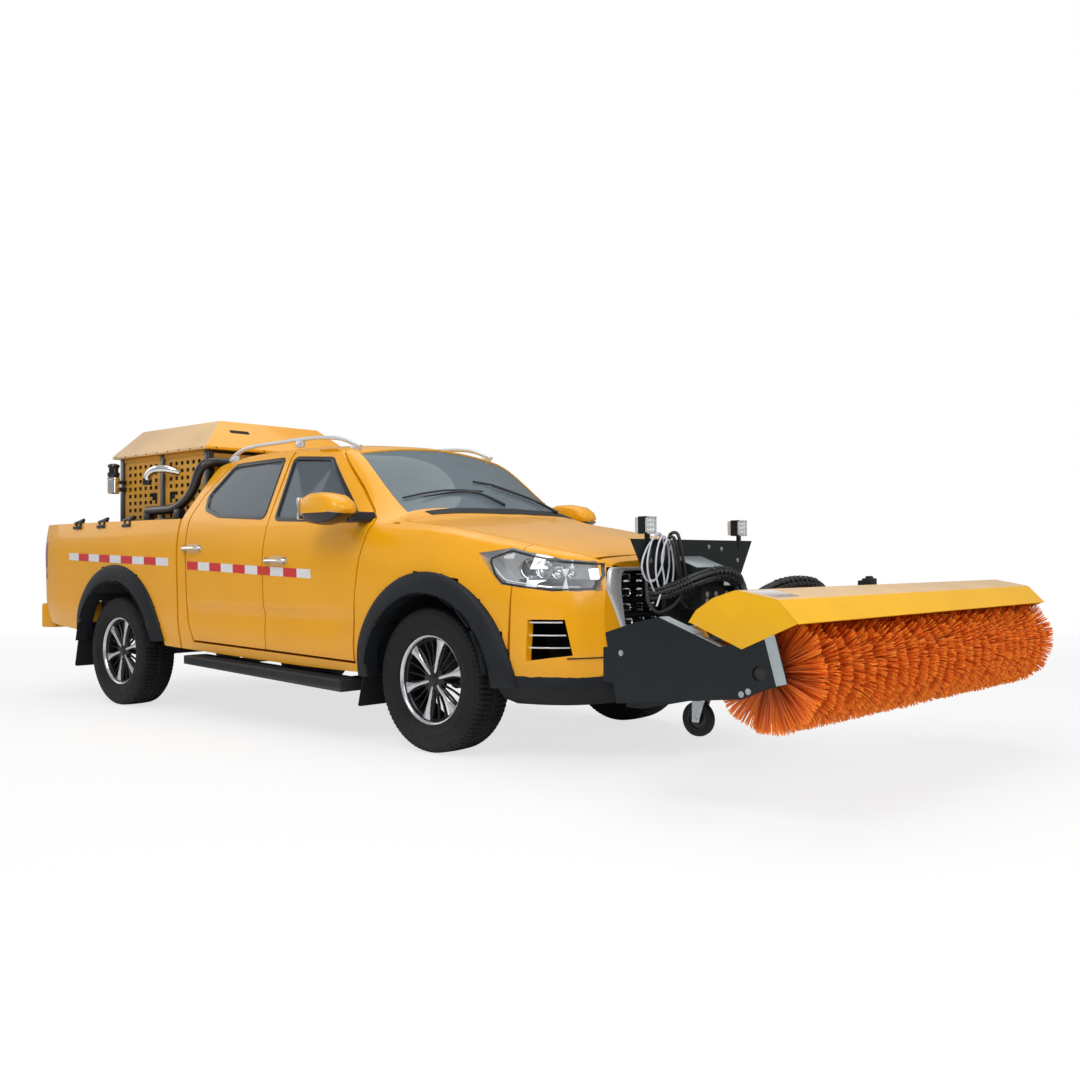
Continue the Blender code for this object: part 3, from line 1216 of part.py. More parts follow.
def make_rear_axle():
    """Axle tube with the differential, the hub flanges and the leaf springs it is clamped to."""
    centre = (REAR_AXLE_X, 0, AXLE_Z)
    axle = drum("axle_rear", centre, AXLE_TUBE_R, -HUB_FACE_Y, HUB_FACE_Y, "Y", 10)
    join(axle, lathe("differential", [(-0.9 * DIFFERENTIAL_R, 0.3 * AXLE_TUBE_R),
                                      (-0.5 * DIFFERENTIAL_R, 0.9 * DIFFERENTIAL_R),
                                      (0.5 * DIFFERENTIAL_R, 0.9 * DIFFERENTIAL_R),
                                      (0.9 * DIFFERENTIAL_R, 0.3 * AXLE_TUBE_R)],
                     centre, "Y", 14))
    front, rear = at(HANGER_shares[0]), at(HANGER_shares[1])
    for side in (-1, 1):
        low_y, high_y = sorted((side * (HUB_FACE_Y - HUB_R), side * HUB_FACE_Y))
        join(axle, drum("hub", centre, 1.6 * HUB_R, low_y, high_y, "Y", 12))
        low_y, high_y = sorted((side * (HUB_FACE_Y - HUB_R), side * STUB_END_Y))
        join(axle, drum("stub", centre, STUB_R, low_y, high_y, "Y", 16))
        low_y, high_y = sorted((side * (SPRING_Y - SPRING_WIDTH / 2), side * (SPRING_Y + SPRING_WIDTH / 2)))
        dip = SPRING_EYE_Z - AXLE_Z - AXLE_TUBE_R + SPRING_THICKNESS / 2
        upper_line, lower_line = [], []
        steps = 6
        for step in range(steps + 1):
            share = step / steps
            x = front + (rear - front) * share
            z = SPRING_EYE_Z - dip * 4 * share * (1 - share)
            upper_line.append((x, z + SPRING_THICKNESS / 2))
            lower_line.append((x, z - SPRING_THICKNESS / 2))
        join(axle, prism("spring", upper_line + lower_line[::-1], low_y, high_y))
        for x in (front, rear):
            join(axle, drum("eye", (x, 0, SPRING_EYE_Z), SPRING_EYE_R, low_y, high_y, "Y", EYE_SIDES))
    tidy(axle, STEEL)


def wheel_mid_y(side):
    return side * TRACK / 2


def make_tyre(name, centre):
    profile = [(place * TYRE_WIDTH, RIM_R + GAP + (TYRE_R - RIM_R - GAP) * height)
               for place, height in TYRE_PROFILE_shares]
    tyre = lathe(name, profile, centre, "Y", WHEEL_SIDES)
    tidy(tyre, RUBBER)
    set_origin(tyre, centre)


def spoke(name, centre, side, turn):
    """A spoke that widens from the hub to the rim."""
    face = side * (RIM_WIDTH / 2 - RIM_OFFSET)
    outline = ((HUB_CAP_R, -0.6 * HUB_CAP_R), (0.7 * RIM_R, -0.75 * HUB_CAP_R),
               (RIM_R - 2.2 * RIM_WALL, -1.7 * HUB_CAP_R),
               (RIM_R - 2.2 * RIM_WALL, 1.7 * HUB_CAP_R), (0.7 * RIM_R, 0.75 * HUB_CAP_R),
               (HUB_CAP_R, 0.6 * HUB_CAP_R))
    points = []
    for along, across in outline:
        points.append((centre[0] + along * cos(turn) - across * sin(turn),
                       centre[2] + along * sin(turn) + across * cos(turn)))
    low, high = sorted((centre[1] + face - side * 1.2 * RIM_OFFSET, centre[1] + face))
    return prism(name, points, low, high)


def make_rim(name, centre, side):
    """Barrel with two flanges, a hub disc and wide spokes."""
    half = RIM_WIDTH / 2
    barrel = [(-half, RIM_R - RIM_WALL / 2), (-half, RIM_R), (half, RIM_R), (half, RIM_R - RIM_WALL / 2),
              (half - RIM_OFFSET, RIM_R - 3 * RIM_WALL), (-half + RIM_OFFSET, RIM_R - 3 * RIM_WALL)]
    rim = lathe(name, barrel, centre, "Y", WHEEL_SIDES)
    for number in range(SPOKES):
        join(rim, spoke("spoke", centre, side, 2 * pi * (number + 0.5) / SPOKES))
    face = centre[1] + side * (half - RIM_OFFSET)
    low, high = sorted((face - side * 1.6 * RIM_OFFSET, face))
    disc = drum("hub disc", centre, BOLT_CIRCLE_R, low, high, "Y", 12)
    join(rim, disc)
    back = abs(HUB_FACE_Y) + GAP
    low, high = sorted((side * back, face - side * RIM_OFFSET))
    join(rim, drum("hub back", centre, 0.9 * BOLT_CIRCLE_R, low, high, "Y", 12))
    return rim


def make_wheels():
    for place, x in (("front", FRONT_AXLE_X), ("rear", REAR_AXLE_X)):
        for side, word in ((-1, "right"), (1, "left")):
            centre = (x, wheel_mid_y(side), AXLE_Z)
            make_tyre("tyre_" + place + "_" + word, centre)
            rim = make_rim("rim_" + place + "_" + word, centre, side)
            low, high = sorted((side * KNUCKLE_Y, side * (STUB_END_Y + GAP)))
            bore = (STUB_R + 2 * GAP) / cos(pi / 16)
            cut(rim, drum("bore", centre, bore, low, high, "Y", 16))
            tidy(rim, SILVER)
            set_origin(rim, centre)


# Cab interior


def make_dashboard():
    """Dashboard moulding with the column and the steering wheel."""
    dash = prism("dashboard", outline_of(DASH_shares), -DASH_HALF, DASH_HALF)
    centre = Vector((at(WHEEL_CENTRE_share), DRIVER_Y, WHEEL_HEIGHT_share * ROOF_Z))
    axis = Vector((cos(STEERING_TILT), 0, -sin(STEERING_TILT)))
    up = Vector((sin(STEERING_TILT), 0, cos(STEERING_TILT)))
    side = Vector((0, 1, 0))
    ring = []
    sides = 14
    for step in range(sides):
        turn = 2 * pi * step / sides
        ring.append(centre + up * STEERING_R * cos(turn) + side * STEERING_R * sin(turn))
    wheel = tube("wheel", ring, STEERING_TUBE_R, 5, closed=True)
    spokes = tube("spokes", (centre - side * STEERING_R, centre + side * STEERING_R), STEERING_TUBE_R, 6)
    lower = tube("lower spoke", (centre, centre - up * STEERING_R), STEERING_TUBE_R, 6)
    column = tube("column", (centre - axis * STEERING_TUBE_R, centre + axis * 1.6 * STEERING_R),
                  2 * STEERING_TUBE_R, 10)
    join(column, spokes, lower, wheel)
    join(dash, column)
    tidy(dash, INTERIOR)


def make_seats():
    """Two front seats and the rear bench, carried by one console on the floor."""
    base_z = FLOOR_Z + FLOOR_THICKNESS + GAP
    front = outline_of(SEAT_FRONT_shares)
    low, high = DRIVER_Y - SEAT_WIDTH / 2, DRIVER_Y + SEAT_WIDTH / 2
    seats = prism("seats", front, low, high)
    join(seats, prism("passenger seat", front, -high, -low))
    join(seats, prism("bench", outline_of(SEAT_REAR_shares), -REAR_SEAT_HALF, REAR_SEAT_HALF))
    console = block("console", (at(SEAT_REAR_shares[0][0]) - SEAT_BASE, -low - SEAT_BASE, base_z),
                    (at(SEAT_FRONT_shares[0][0]) - SEAT_BASE, low + SEAT_BASE,
                     SEAT_FRONT_shares[1][1] * ROOF_Z))
    join(seats, console)
    for place in (SEAT_FRONT_shares, SEAT_REAR_shares):
        x_front, x_rear = at(place[0][0]) - SEAT_BASE, at(place[-1][0]) + SEAT_BASE
        join(seats, block("plinth", (x_rear, -high + SEAT_BASE, base_z),
                          (x_front, high - SEAT_BASE, place[0][1] * ROOF_Z + SEAT_BASE)))
    tidy(seats, INTERIOR)


# Bed and roof fittings


def make_roof_rails():
    """A thin arched bar with a foot at each end that sits on the roof."""
    outer = outline_of(ROOF_RAIL_shares)
    inner = [(x, z - ROOF_RAIL_HEIGHT) for x, z in outer[1:-1]]
    first, last = outer[0], outer[-1]
    feet_front = [(inner[0][0], first[1] - 2 * ROOF_RAIL_HEIGHT),
                  (first[0], first[1] - 2 * ROOF_RAIL_HEIGHT)]
    feet_rear = [(last[0], last[1] - 2 * ROOF_RAIL_HEIGHT), (inner[-1][0], last[1] - 2 * ROOF_RAIL_HEIGHT)]
    outline = outer + feet_rear + inner[::-1] + feet_front
    rail = prism("roof_rail_right", outline, -ROOF_RAIL_Y - ROOF_RAIL_WIDTH / 2,
                 -ROOF_RAIL_Y + ROOF_RAIL_WIDTH / 2)
    cut(rail, body_solid("roof", -GAP, -GAP, first=ROOF_START_share))
    tidy(rail, SILVER)
    mirrored(rail, "roof_rail_left")


def make_sport_bar():
    """Two side tubes along the bed rails, joined by a hoop behind the cab."""
    side = [(at(place), -SPORT_BAR_Y, height * ROOF_Z) for place, height in SPORT_BAR_shares]
    other = [(x, -y, z) for x, y, z in reversed(side)]
    bar = tube("sport_bar", side + other, SPORT_BAR_R, 10)
    for y in (-SPORT_BAR_Y, SPORT_BAR_Y):
        for place, height in SPORT_BAR_shares[:2]:
            x = at(place) + SPORT_FOOT
            low = guide(BELT_HEIGHT_shares, place) * ROOF_Z + GAP
            out = y + (SPORT_FOOT if y > 0 else -SPORT_FOOT) * 3
            low_y, high_y = sorted((y, out))
            join(bar, block("foot", (x - SPORT_FOOT, low_y, low),
                            (x + SPORT_FOOT, high_y, height * ROOF_Z + SPORT_BAR_R / 3)))
    tidy(bar, BLACK)


def make_power_pack():
    """Box with framed side panels on feet, its exhaust elbow and the filter can."""
    front, rear = at(PACK_shares[0]), at(PACK_shares[1])
    base = PACK_BASE
    pack = block("power_pack", (rear, -PACK_HALF, base), (front, PACK_HALF, PACK_TOP))
    depth = PACK_WALL / 3
    bay = (front - rear - PACK_WALL * (PACK_POSTS + 1)) / PACK_POSTS
    for side in (-1, 1):
        for number in range(PACK_POSTS):
            x = rear + PACK_WALL + number * (bay + PACK_WALL)
            low, high = sorted((side * (PACK_HALF - depth), side * (PACK_HALF + OVERRUN)))
            cut(pack, block("panel", (x, low, base + PACK_WALL), (x + bay, high, PACK_TOP - PACK_WALL)))
    width = 2 * PACK_HALF
    for x_low, x_high in ((rear - OVERRUN, rear + depth), (front - depth, front + OVERRUN)):
        for number in range(2):
            y = -PACK_HALF + PACK_WALL + number * (width - PACK_WALL) / 2
            cut(pack, block("panel", (x_low, y, base + PACK_WALL),
                            (x_high, y + (width - 3 * PACK_WALL) / 2, PACK_TOP - PACK_WALL)))
    for x in (rear, front - 2 * PACK_FEET):
        join(pack, block("skid", (x, -PACK_HALF * 0.8, BED_FLOOR_Z + GAP),
                         (x + 2 * PACK_FEET, PACK_HALF * 0.8, base + depth)))
    x = rear + 2 * PACK_FEET
    z = PACK_TOP - PACK_FEET - EXHAUST_R
    out = -PACK_HALF - 2.2 * EXHAUST_R
    can = drum("can", (x, out, 0), 1.3 * EXHAUST_R, z - 6 * EXHAUST_R, z, "Z", 14)
    join(can, block("can bracket", (x - EXHAUST_R / 2, out, z - 3 * EXHAUST_R),
                    (x + EXHAUST_R / 2, -PACK_HALF + PACK_WALL, z - 2 * EXHAUST_R)))
    x = (front + rear) / 2
    elbow = tube("elbow", ((x, -PACK_HALF + PACK_WALL, z - 3 * EXHAUST_R), (x, out, z - 3 * EXHAUST_R),
                           (x + EXHAUST_R, out - EXHAUST_R / 3, z - 2 * EXHAUST_R),
                           (x + 6 * EXHAUST_R, out - EXHAUST_R / 3, z)),
                 EXHAUST_R, 12)
    join(pack, can, elbow)
    tidy(pack, YELLOW)


def make_pack_hood():
    """Hipped lid with a hand slot in its front slope."""
    front, rear = at(PACK_shares[0]) + HOOD_OVERHANG, at(PACK_shares[1]) - HOOD_OVERHANG
    half = PACK_HALF + HOOD_OVERHANG
    top_front, top_rear = at(HOOD_TOP_shares[0]), at(HOOD_TOP_shares[1])
    low = PACK_TOP + GAP
    eaves = low + HOOD_LIP

    def ring(x0, x1, w, z):
        return [(x0, -w, z), (x1, -w, z), (x1, w, z), (x0, w, z)]

    hood = loft("power_pack_hood", [ring(rear, front, half, low), ring(rear, front, half, eaves),
                                    ring(top_rear, top_front, HOOD_TOP_HALF, HOOD_TOP)])
    middle = (front + top_front) / 2
    slot = block("slot", (middle - HOOD_LIP, -SLOT_WIDTH_share * half, eaves + 2 * HOOD_LIP),
                 (front + OVERRUN, SLOT_WIDTH_share * half, eaves + 4.5 * HOOD_LIP))
    cut(hood, slot)
    tidy(hood, YELLOW)


# Implement


def bored(radius, sides):
    """Corner radius of a faceted hole that a pin of the given radius turns in."""
    return (radius + RUN) / cos(pi / sides)


def make_mount():
    """Carrier under the bumper with the pivot ears, the lamp panel and its two work lamps."""
    back = FRONT_AXLE_X + PIVOT_SETBACK - MOUNT_REACH - MOUNT_TUBE
    mount = block("brush_mount", (back, -MOUNT_HALF, MOUNT_LOW), (back + MOUNT_TUBE, MOUNT_HALF, MOUNT_HIGH))
    rail_end = at(RAIL_LINE[0][0])
    under_rail = FRONT_RAIL_TOP - RAIL_HEIGHT - GAP
    for side in (-1, 1):
        low, high = sorted((side * (RAIL_Y - MOUNT_ARM), side * (RAIL_Y + MOUNT_ARM)))
        join(mount, block("arm", (rail_end - 3 * MOUNT_TUBE, low, MOUNT_HIGH - MOUNT_ARM),
                          (back + MOUNT_TUBE / 2, high, MOUNT_HIGH - GAP)))
        join(mount, block("pad", (rail_end - 3 * MOUNT_TUBE, low, MOUNT_HIGH - MOUNT_ARM / 2),
                          (rail_end - MOUNT_TUBE, high, under_rail)))
        low, high = sorted((side * EAR_Y, side * (EAR_Y + EAR_THICKNESS)))
        ear = prism("ear", [(back + MOUNT_TUBE / 2, MOUNT_LOW + STOP)] + arc((PIVOT_X, PIVOT_Z), EAR_R,
                                                            -60, 100, 6)
                    + [(back + MOUNT_TUBE / 2, PIVOT_Z)], low, high)
        join(mount, ear)
        low, high = sorted((side * (TOWER_Y - TOWER_WIDTH / 2), side * (TOWER_Y + TOWER_WIDTH / 2)))
        join(mount, block("tower", (PANEL_X - TOWER_WIDTH / 2, low, MOUNT_HIGH - MOUNT_ARM),
                          (PANEL_X, high, PANEL_TOP - STOP)))
    low_y, high_y = -EAR_Y - EAR_THICKNESS, EAR_Y + EAR_THICKNESS
    join(mount, drum("pin", (PIVOT_X, 0, PIVOT_Z), PIN_R, low_y - STOP, high_y + STOP, "Y", 16))
    panel = [(-PANEL_TOP_HALF, PANEL_TOP), (-PANEL_LOW_HALF, PANEL_LOW), (PANEL_LOW_HALF, PANEL_LOW),
             (PANEL_TOP_HALF, PANEL_TOP)]
    join(mount, prism("panel", panel, PANEL_X - PANEL_THICKNESS, PANEL_X + PANEL_THICKNESS, "X"))
    join(mount, block("valve box", (PANEL_X - PANEL_THICKNESS, -VALVE_BOX_HALF, VALVE_BOX_LOW),
                      (PANEL_X + VALVE_BOX_LENGTH, VALVE_BOX_HALF, VALVE_BOX_HIGH)))
    join(mount, block("box plate", (PANEL_X - TOWER_WIDTH / 2, -TOWER_Y, CYLINDER_BASE_Z - 2 * PIN_R),
                      (PANEL_X, TOWER_Y, PANEL_LOW + STOP)))
    for side in (-1, 1):
        low, high = sorted((side * EYE_HALF_OUT, side * (EYE_HALF_OUT + CLEVIS_THICKNESS)))
        join(mount, prism("clevis", [(PANEL_X - TOWER_WIDTH / 4, CYLINDER_BASE_Z - CLEVIS_R)]
                          + arc((CYLINDER_BASE_X, CYLINDER_BASE_Z), CLEVIS_R, -90, 90, 4)
                          + [(PANEL_X - TOWER_WIDTH / 4, CYLINDER_BASE_Z + CLEVIS_R)], low, high))
    join(mount, drum("cylinder pin", (CYLINDER_BASE_X, 0, CYLINDER_BASE_Z), CLEVIS_PIN_R,
                     -EYE_HALF_OUT - CLEVIS_THICKNESS / 2, EYE_HALF_OUT + CLEVIS_THICKNESS / 2, "Y", 12))
    for side in (-1, 1):
        y = side * WORK_LAMP_Y
        stem = block("stem", (PANEL_X - PANEL_THICKNESS, y - WORK_LAMP_STEM / 2, PANEL_TOP - LAMP_DEEP),
                     (PANEL_X + PANEL_THICKNESS * 1.5, y + WORK_LAMP_STEM / 2, PANEL_TOP + LAMP_DEEP))
        lamp = block("lamp", (PANEL_X - LAMP_DEEP / 2, y - LAMP_SIZE / 2, PANEL_TOP + WORK_LAMP_STEM),
                     (PANEL_X + LAMP_DEEP / 2, y + LAMP_SIZE / 2, PANEL_TOP + WORK_LAMP_STEM + LAMP_SIZE))
        join(mount, stem, lamp)
    tidy(mount, DARK_STEEL)


def make_lift_arm():
    """Two cheek plates from the lift pivot to the kingpin the brush head swings on."""
    arm = lathe("lift_arm", [(-EAR_Y + STOP, bored(PIN_R, 16)), (-EAR_Y + STOP, EAR_R),
                             (EAR_Y - STOP, EAR_R),
                             (EAR_Y - STOP, bored(PIN_R, 16))], (PIVOT_X, 0, PIVOT_Z), "Y", 16)
    spacer = drum("clear", (PIVOT_X, 0, PIVOT_Z), EAR_R - ARM_PLATE / 2, -EAR_Y, EAR_Y, "Y", 16)
    beam = block("beam", (PIVOT_X, -ARM_HALF, PIVOT_Z - ARM_PLATE), (SWING_X, ARM_HALF, PIVOT_Z + ARM_PLATE))
    cut(beam, spacer)
    join(arm, beam)
    join(arm, drum("boss", (SWING_X, 0, 0), 2 * KINGPIN_R, PIVOT_Z - 2 * ARM_PLATE,
                   PIVOT_Z + 2 * ARM_PLATE, "Z", 16))
    join(arm, drum("kingpin", (SWING_X, 0, 0), KINGPIN_R, KINGPIN_LOW, KINGPIN_HIGH, "Z", 16))
    for side in (-1, 1):
        low, high = sorted((side * EYE_HALF_OUT, side * (EYE_HALF_OUT + CLEVIS_THICKNESS)))
        horn = arc((ROD_EYE_X, ROD_EYE_Z), CLEVIS_R, 180, 0, 4)
        horn = [(ROD_EYE_X - CLEVIS_R, PIVOT_Z)] + horn + [(ROD_EYE_X + CLEVIS_R, PIVOT_Z)]
        join(arm, prism("horn", horn, low, high))
    join(arm, drum("horn pin", (ROD_EYE_X, 0, ROD_EYE_Z), CLEVIS_PIN_R, -EYE_HALF_OUT - CLEVIS_THICKNESS / 2,
                   EYE_HALF_OUT + CLEVIS_THICKNESS / 2, "Y", 12))
    tidy(arm, DARK_STEEL)
    set_origin(arm, (PIVOT_X, 0, PIVOT_Z))


def make_head():
    """Cross beam, two side plates with folded flanges, the swing bracket and the caster plates."""
    line = FRONT_AXLE_X + HEAD_LINE_SETBACK
    outer = COVER_HALF - COVER_THICKNESS - GAP
    head = block("brush_head", (line + STOP, -outer + PLATE_THICKNESS / 2, BEAM_LOW),
                 (line + STOP + BEAM_DEPTH, outer - PLATE_THICKNESS / 2, BEAM_HIGH))
    points = [(line + along, height) for along, height in SIDE_PLATE_shares]
    for side in (-1, 1):
        low, high = sorted((side * (outer - PLATE_THICKNESS), side * outer))
        plate = prism("plate", points, low, high)
        low, high = sorted((side * (outer - FLANGE_WIDTH), side * outer))
        slope = [points[2], points[3], (points[3][0], points[3][1] - PLATE_THICKNESS),
                 (points[2][0], points[2][1] - PLATE_THICKNESS)]
        join(plate, prism("flange", slope, low, high))
        join(head, plate)
        shelf_low, shelf_high = sorted((side * (CASTER_Y - 2.5 * CASTER_WIDTH),
                                        side * (outer - PLATE_THICKNESS / 2)))
        shelf = block("caster shelf", (line + BEAM_DEPTH / 2, shelf_low, CASTER_PLATE_Z),
                      (CASTER_X + 2 * CASTER_WIDTH, shelf_high, CASTER_PLATE_Z + CASTER_PLATE_THICKNESS))
        web = block("web", (line + BEAM_DEPTH / 2, shelf_low, CASTER_PLATE_Z),
                    (line + BEAM_DEPTH / 2 + PLATE_THICKNESS, shelf_high, BEAM_LOW + STOP))
        join(shelf, web)
        cut(shelf, drum("stem hole", (CASTER_X, side * CASTER_Y, 0), bored(STEM_R, 8),
                        CASTER_PLATE_Z - OVERRUN,
                        CASTER_PLATE_Z + OVERRUN, "Z", 8))
        join(head, shelf)
        low, high = sorted((side * (outer - OVERRUN), side * (outer + OVERRUN)))
        cut(head, drum("shaft hole", (BRUSH_X, 0, BRUSH_Z), bored(SHAFT_R, 16), low, high, "Y", 16))
    bracket_low, bracket_high = PIVOT_Z + 2 * ARM_PLATE + STOP, KINGPIN_HIGH - STOP
    tongue = block("tongue", (SWING_X, -2.2 * KINGPIN_R, bracket_low),
                   (line + STOP + BEAM_DEPTH / 2, 2.2 * KINGPIN_R, bracket_high))
    join(tongue, drum("eye", (SWING_X, 0, 0), 2.2 * KINGPIN_R, bracket_low, bracket_high, "Z", 16))
    lower_high = PIVOT_Z - 2 * ARM_PLATE - STOP
    lower = block("lower tongue", (SWING_X, -2.2 * KINGPIN_R, KINGPIN_LOW + STOP),
                  (line + STOP + BEAM_DEPTH / 2, 2.2 * KINGPIN_R, lower_high))
    join(lower, drum("lower eye", (SWING_X, 0, 0), 2.2 * KINGPIN_R, KINGPIN_LOW + STOP, lower_high, "Z", 16))
    join(lower, block("drop", (line + STOP, -2.2 * KINGPIN_R, KINGPIN_LOW + STOP),
                      (line + STOP + BEAM_DEPTH / 2, 2.2 * KINGPIN_R, BEAM_LOW + STOP)))
    hole = drum("kingpin hole", (SWING_X, 0, 0), bored(KINGPIN_R, 16), KINGPIN_LOW - OVERRUN,
                KINGPIN_HIGH + OVERRUN, "Z", 16)
    other = copy_of(hole, "lower hole")
    cut(tongue, hole)
    cut(lower, other)
    join(head, tongue, lower)
    tidy(head, DARK_STEEL)
    set_origin(head, (SWING_X, 0, PIVOT_Z))


def make_cover():
    """Folded sheet over the brush, closed by an end plate on each side."""
    line = FRONT_AXLE_X + HEAD_LINE_SETBACK
    outer = [(line + along, height) for along, height in COVER_LINE_shares]
    inner = []
    for i, point in enumerate(outer):
        before = Vector(outer[max(i - 1, 0)])
        after = Vector(outer[min(i + 1, len(outer) - 1)])
        along = (after - before).normalized()
        inner.append((point[0] + along.y * COVER_THICKNESS, point[1] - along.x * COVER_THICKNESS))
    cover = prism("brush_cover", outer + inner[::-1], -COVER_HALF, COVER_HALF)
    end = outer + [(line + along, height) for along, height in COVER_END_shares]
    for side in (-1, 1):
        low, high = sorted((side * (COVER_HALF - COVER_THICKNESS), side * COVER_HALF))
        join(cover, prism("end", end, low, high))
    tidy(cover, YELLOW)
    set_origin(cover, (SWING_X, 0, PIVOT_Z))


def make_rotor():
    """Bristle wafers on a shaft: each wafer's rim runs in and out between its tufts."""
    pitch = 2 * BRUSH_HALF / WAFERS
    outer = COVER_HALF - COVER_THICKNESS - GAP
    rows = []
    for step in range(WAFER_SIDES):
        turn = 2 * pi * step / WAFER_SIDES
        row = [(-outer + PLATE_THICKNESS / 4, SHAFT_R), (-BRUSH_HALF - GAP, SHAFT_R)]
        for number in range(WAFERS):
            start = -BRUSH_HALF + number * pitch
            tuft = 1 if (step + number) % 2 else TUFT_share
            rim = BRUSH_R * tuft
            flat = pitch * WAFER_FLAT_share
            row.append((start, BRUSH_R * VALLEY_share if number else CORE_R))
            row.append((start + (pitch - flat) / 2, rim))
            row.append((start + (pitch + flat) / 2, rim))
        row.append((BRUSH_HALF, CORE_R))
        row += [(BRUSH_HALF + GAP, SHAFT_R), (outer - PLATE_THICKNESS / 4, SHAFT_R)]
        rows.append([(BRUSH_X + radius * cos(turn), along, BRUSH_Z + radius * sin(turn)) for along,
                     radius in row])
    rotor = loft("brush_rotor", list(zip(*rows)))
    tidy_material(rotor, ORANGE)
    set_origin(rotor, (BRUSH_X, 0, BRUSH_Z))


def make_casters():
    """Swivel forks under the head, each with a wheel on its pin."""
    for side, word in ((-1, "right"), (1, "left")):
        y = side * CASTER_Y
        wheel_x = CASTER_X - CASTER_TRAIL
        top = CASTER_PLATE_Z - GAP
        half = CASTER_WIDTH / 2 + STOP / 2 + FORK_THICKNESS
        fork = drum("caster_fork_" + word, (CASTER_X, y, 0), CASTER_TRAIL, top - FORK_THICKNESS, top,
                    "Z", 10)
        join(fork, block("bridge", (wheel_x - CASTER_TRAIL / 2, y - half, top - 2 * FORK_THICKNESS),
                         (CASTER_X + CASTER_TRAIL / 2, y + half, top - FORK_THICKNESS / 2)))
        leg = [(wheel_x - CASTER_TRAIL / 2, CASTER_Z - STEM_R),
               (wheel_x + CASTER_TRAIL / 2, CASTER_Z - STEM_R),
               (CASTER_X + CASTER_TRAIL / 2, top - FORK_THICKNESS),
               (wheel_x - CASTER_TRAIL / 2, top - FORK_THICKNESS)]
        for hand in (-1, 1):
            low, high = sorted((y + hand * half, y + hand * (half - FORK_THICKNESS)))
            join(fork, prism("leg", leg, low, high))
        join(fork, drum("pin", (wheel_x, 0, CASTER_Z), STEM_R / 2, y - half - STOP / 2,
                        y + half + STOP / 2, "Y", 8))
        join(fork, drum("stem", (CASTER_X, y, 0), STEM_R, top - FORK_THICKNESS,
                        CASTER_PLATE_Z + 2 * CASTER_PLATE_THICKNESS, "Z", 8))
        tidy(fork, GALVANISED)
        set_origin(fork, (CASTER_X, y, CASTER_PLATE_Z))
        hole = bored(STEM_R / 2, 8)
        profile = [(-CASTER_WIDTH / 2, hole), (-CASTER_WIDTH / 2, 0.9 * CASTER_R),
                   (-CASTER_WIDTH / 3, CASTER_R),
                   (CASTER_WIDTH / 3, CASTER_R), (CASTER_WIDTH / 2, 0.9 * CASTER_R),
                   (CASTER_WIDTH / 2, hole)]
        wheel = lathe("caster_wheel_" + word, profile, (wheel_x, y, CASTER_Z), "Y", 12)
        tidy(wheel, RUBBER)
        set_origin(wheel, (wheel_x, y, CASTER_Z))


def along_cylinder(item):
    """Turn a solid made along +X from the origin onto the cylinder's line."""
    heading = Vector((ROD_EYE_X - CYLINDER_BASE_X, 0, ROD_EYE_Z - CYLINDER_BASE_Z))
    turn = Matrix.Rotation(-atan2(heading.z, heading.x), 4, "Y")
    item.data.transform(Matrix.Translation((CYLINDER_BASE_X, 0, CYLINDER_BASE_Z)) @ turn)
    return item


def eye(name, x, play=0.0):
    """An eye for a clevis pin, with the play that its path needs."""
    hole = bored(CLEVIS_PIN_R + play, 12)
    return lathe(name, [(-EYE_HALF, hole), (-EYE_HALF, EYE_R), (EYE_HALF, EYE_R), (EYE_HALF, hole)],
                 (x, 0, 0), "Y", 12)


def make_lift_cylinder():
    """Barrel on the tower's pin, and the rod whose eye holds the arm up."""
    length = hypot(ROD_EYE_X - CYLINDER_BASE_X, ROD_EYE_Z - CYLINDER_BASE_Z)
    mouth = BARREL_share * length
    bore = bored(ROD_R, 12)
    floor = mouth - ROD_INSIDE_share * length - STOP
    barrel = lathe("lift_barrel", [(1.1 * EYE_R, 0.3 * CYLINDER_R), (1.5 * EYE_R, CYLINDER_R),
                                   (mouth, CYLINDER_R), (mouth, bore),
                                   (floor, bore), (floor, 0.3 * CYLINDER_R)], (0, 0, 0), "X", 12)
    plug = drum("base", (0, 0, 0), 0.5 * CYLINDER_R, 0.8 * EYE_R, floor + STOP / 2, "X", 12)
    barrel = join(barrel, plug, eye("eye", 0))
    rod = drum("lift_rod", (0, 0, 0), ROD_R, floor + STOP, length - 0.8 * EYE_R, "X", 12)
    rod = join(rod, eye("rod eye", length, LINK_PLAY))
    for item, material in ((barrel, DARK_STEEL), (rod, SILVER)):
        along_cylinder(item)
        tidy(item, material)
        set_origin(item, (CYLINDER_BASE_X, 0, CYLINDER_BASE_Z))


def smooth_route(points, spacing):
    """Places along a Catmull-Rom curve through the route's points."""
    route = []
    ends = [points[0]] + list(points) + [points[-1]]
    for i in range(len(points) - 1):
        p0, p1, p2, p3 = (Vector(ends[i + k]) for k in range(4))
        steps = max(1, round((p2 - p1).length / spacing))
        for step in range(steps):
            t = step / steps
            route.append(0.5 * (2 * p1 + (p2 - p0) * t + (2 * p0 - 5 * p1 + 4 * p2 - p3) * t * t
                                + (3 * p1 - p0 - 3 * p2 + p3) * t ** 3))
    route.append(Vector(points[-1]))
    return route


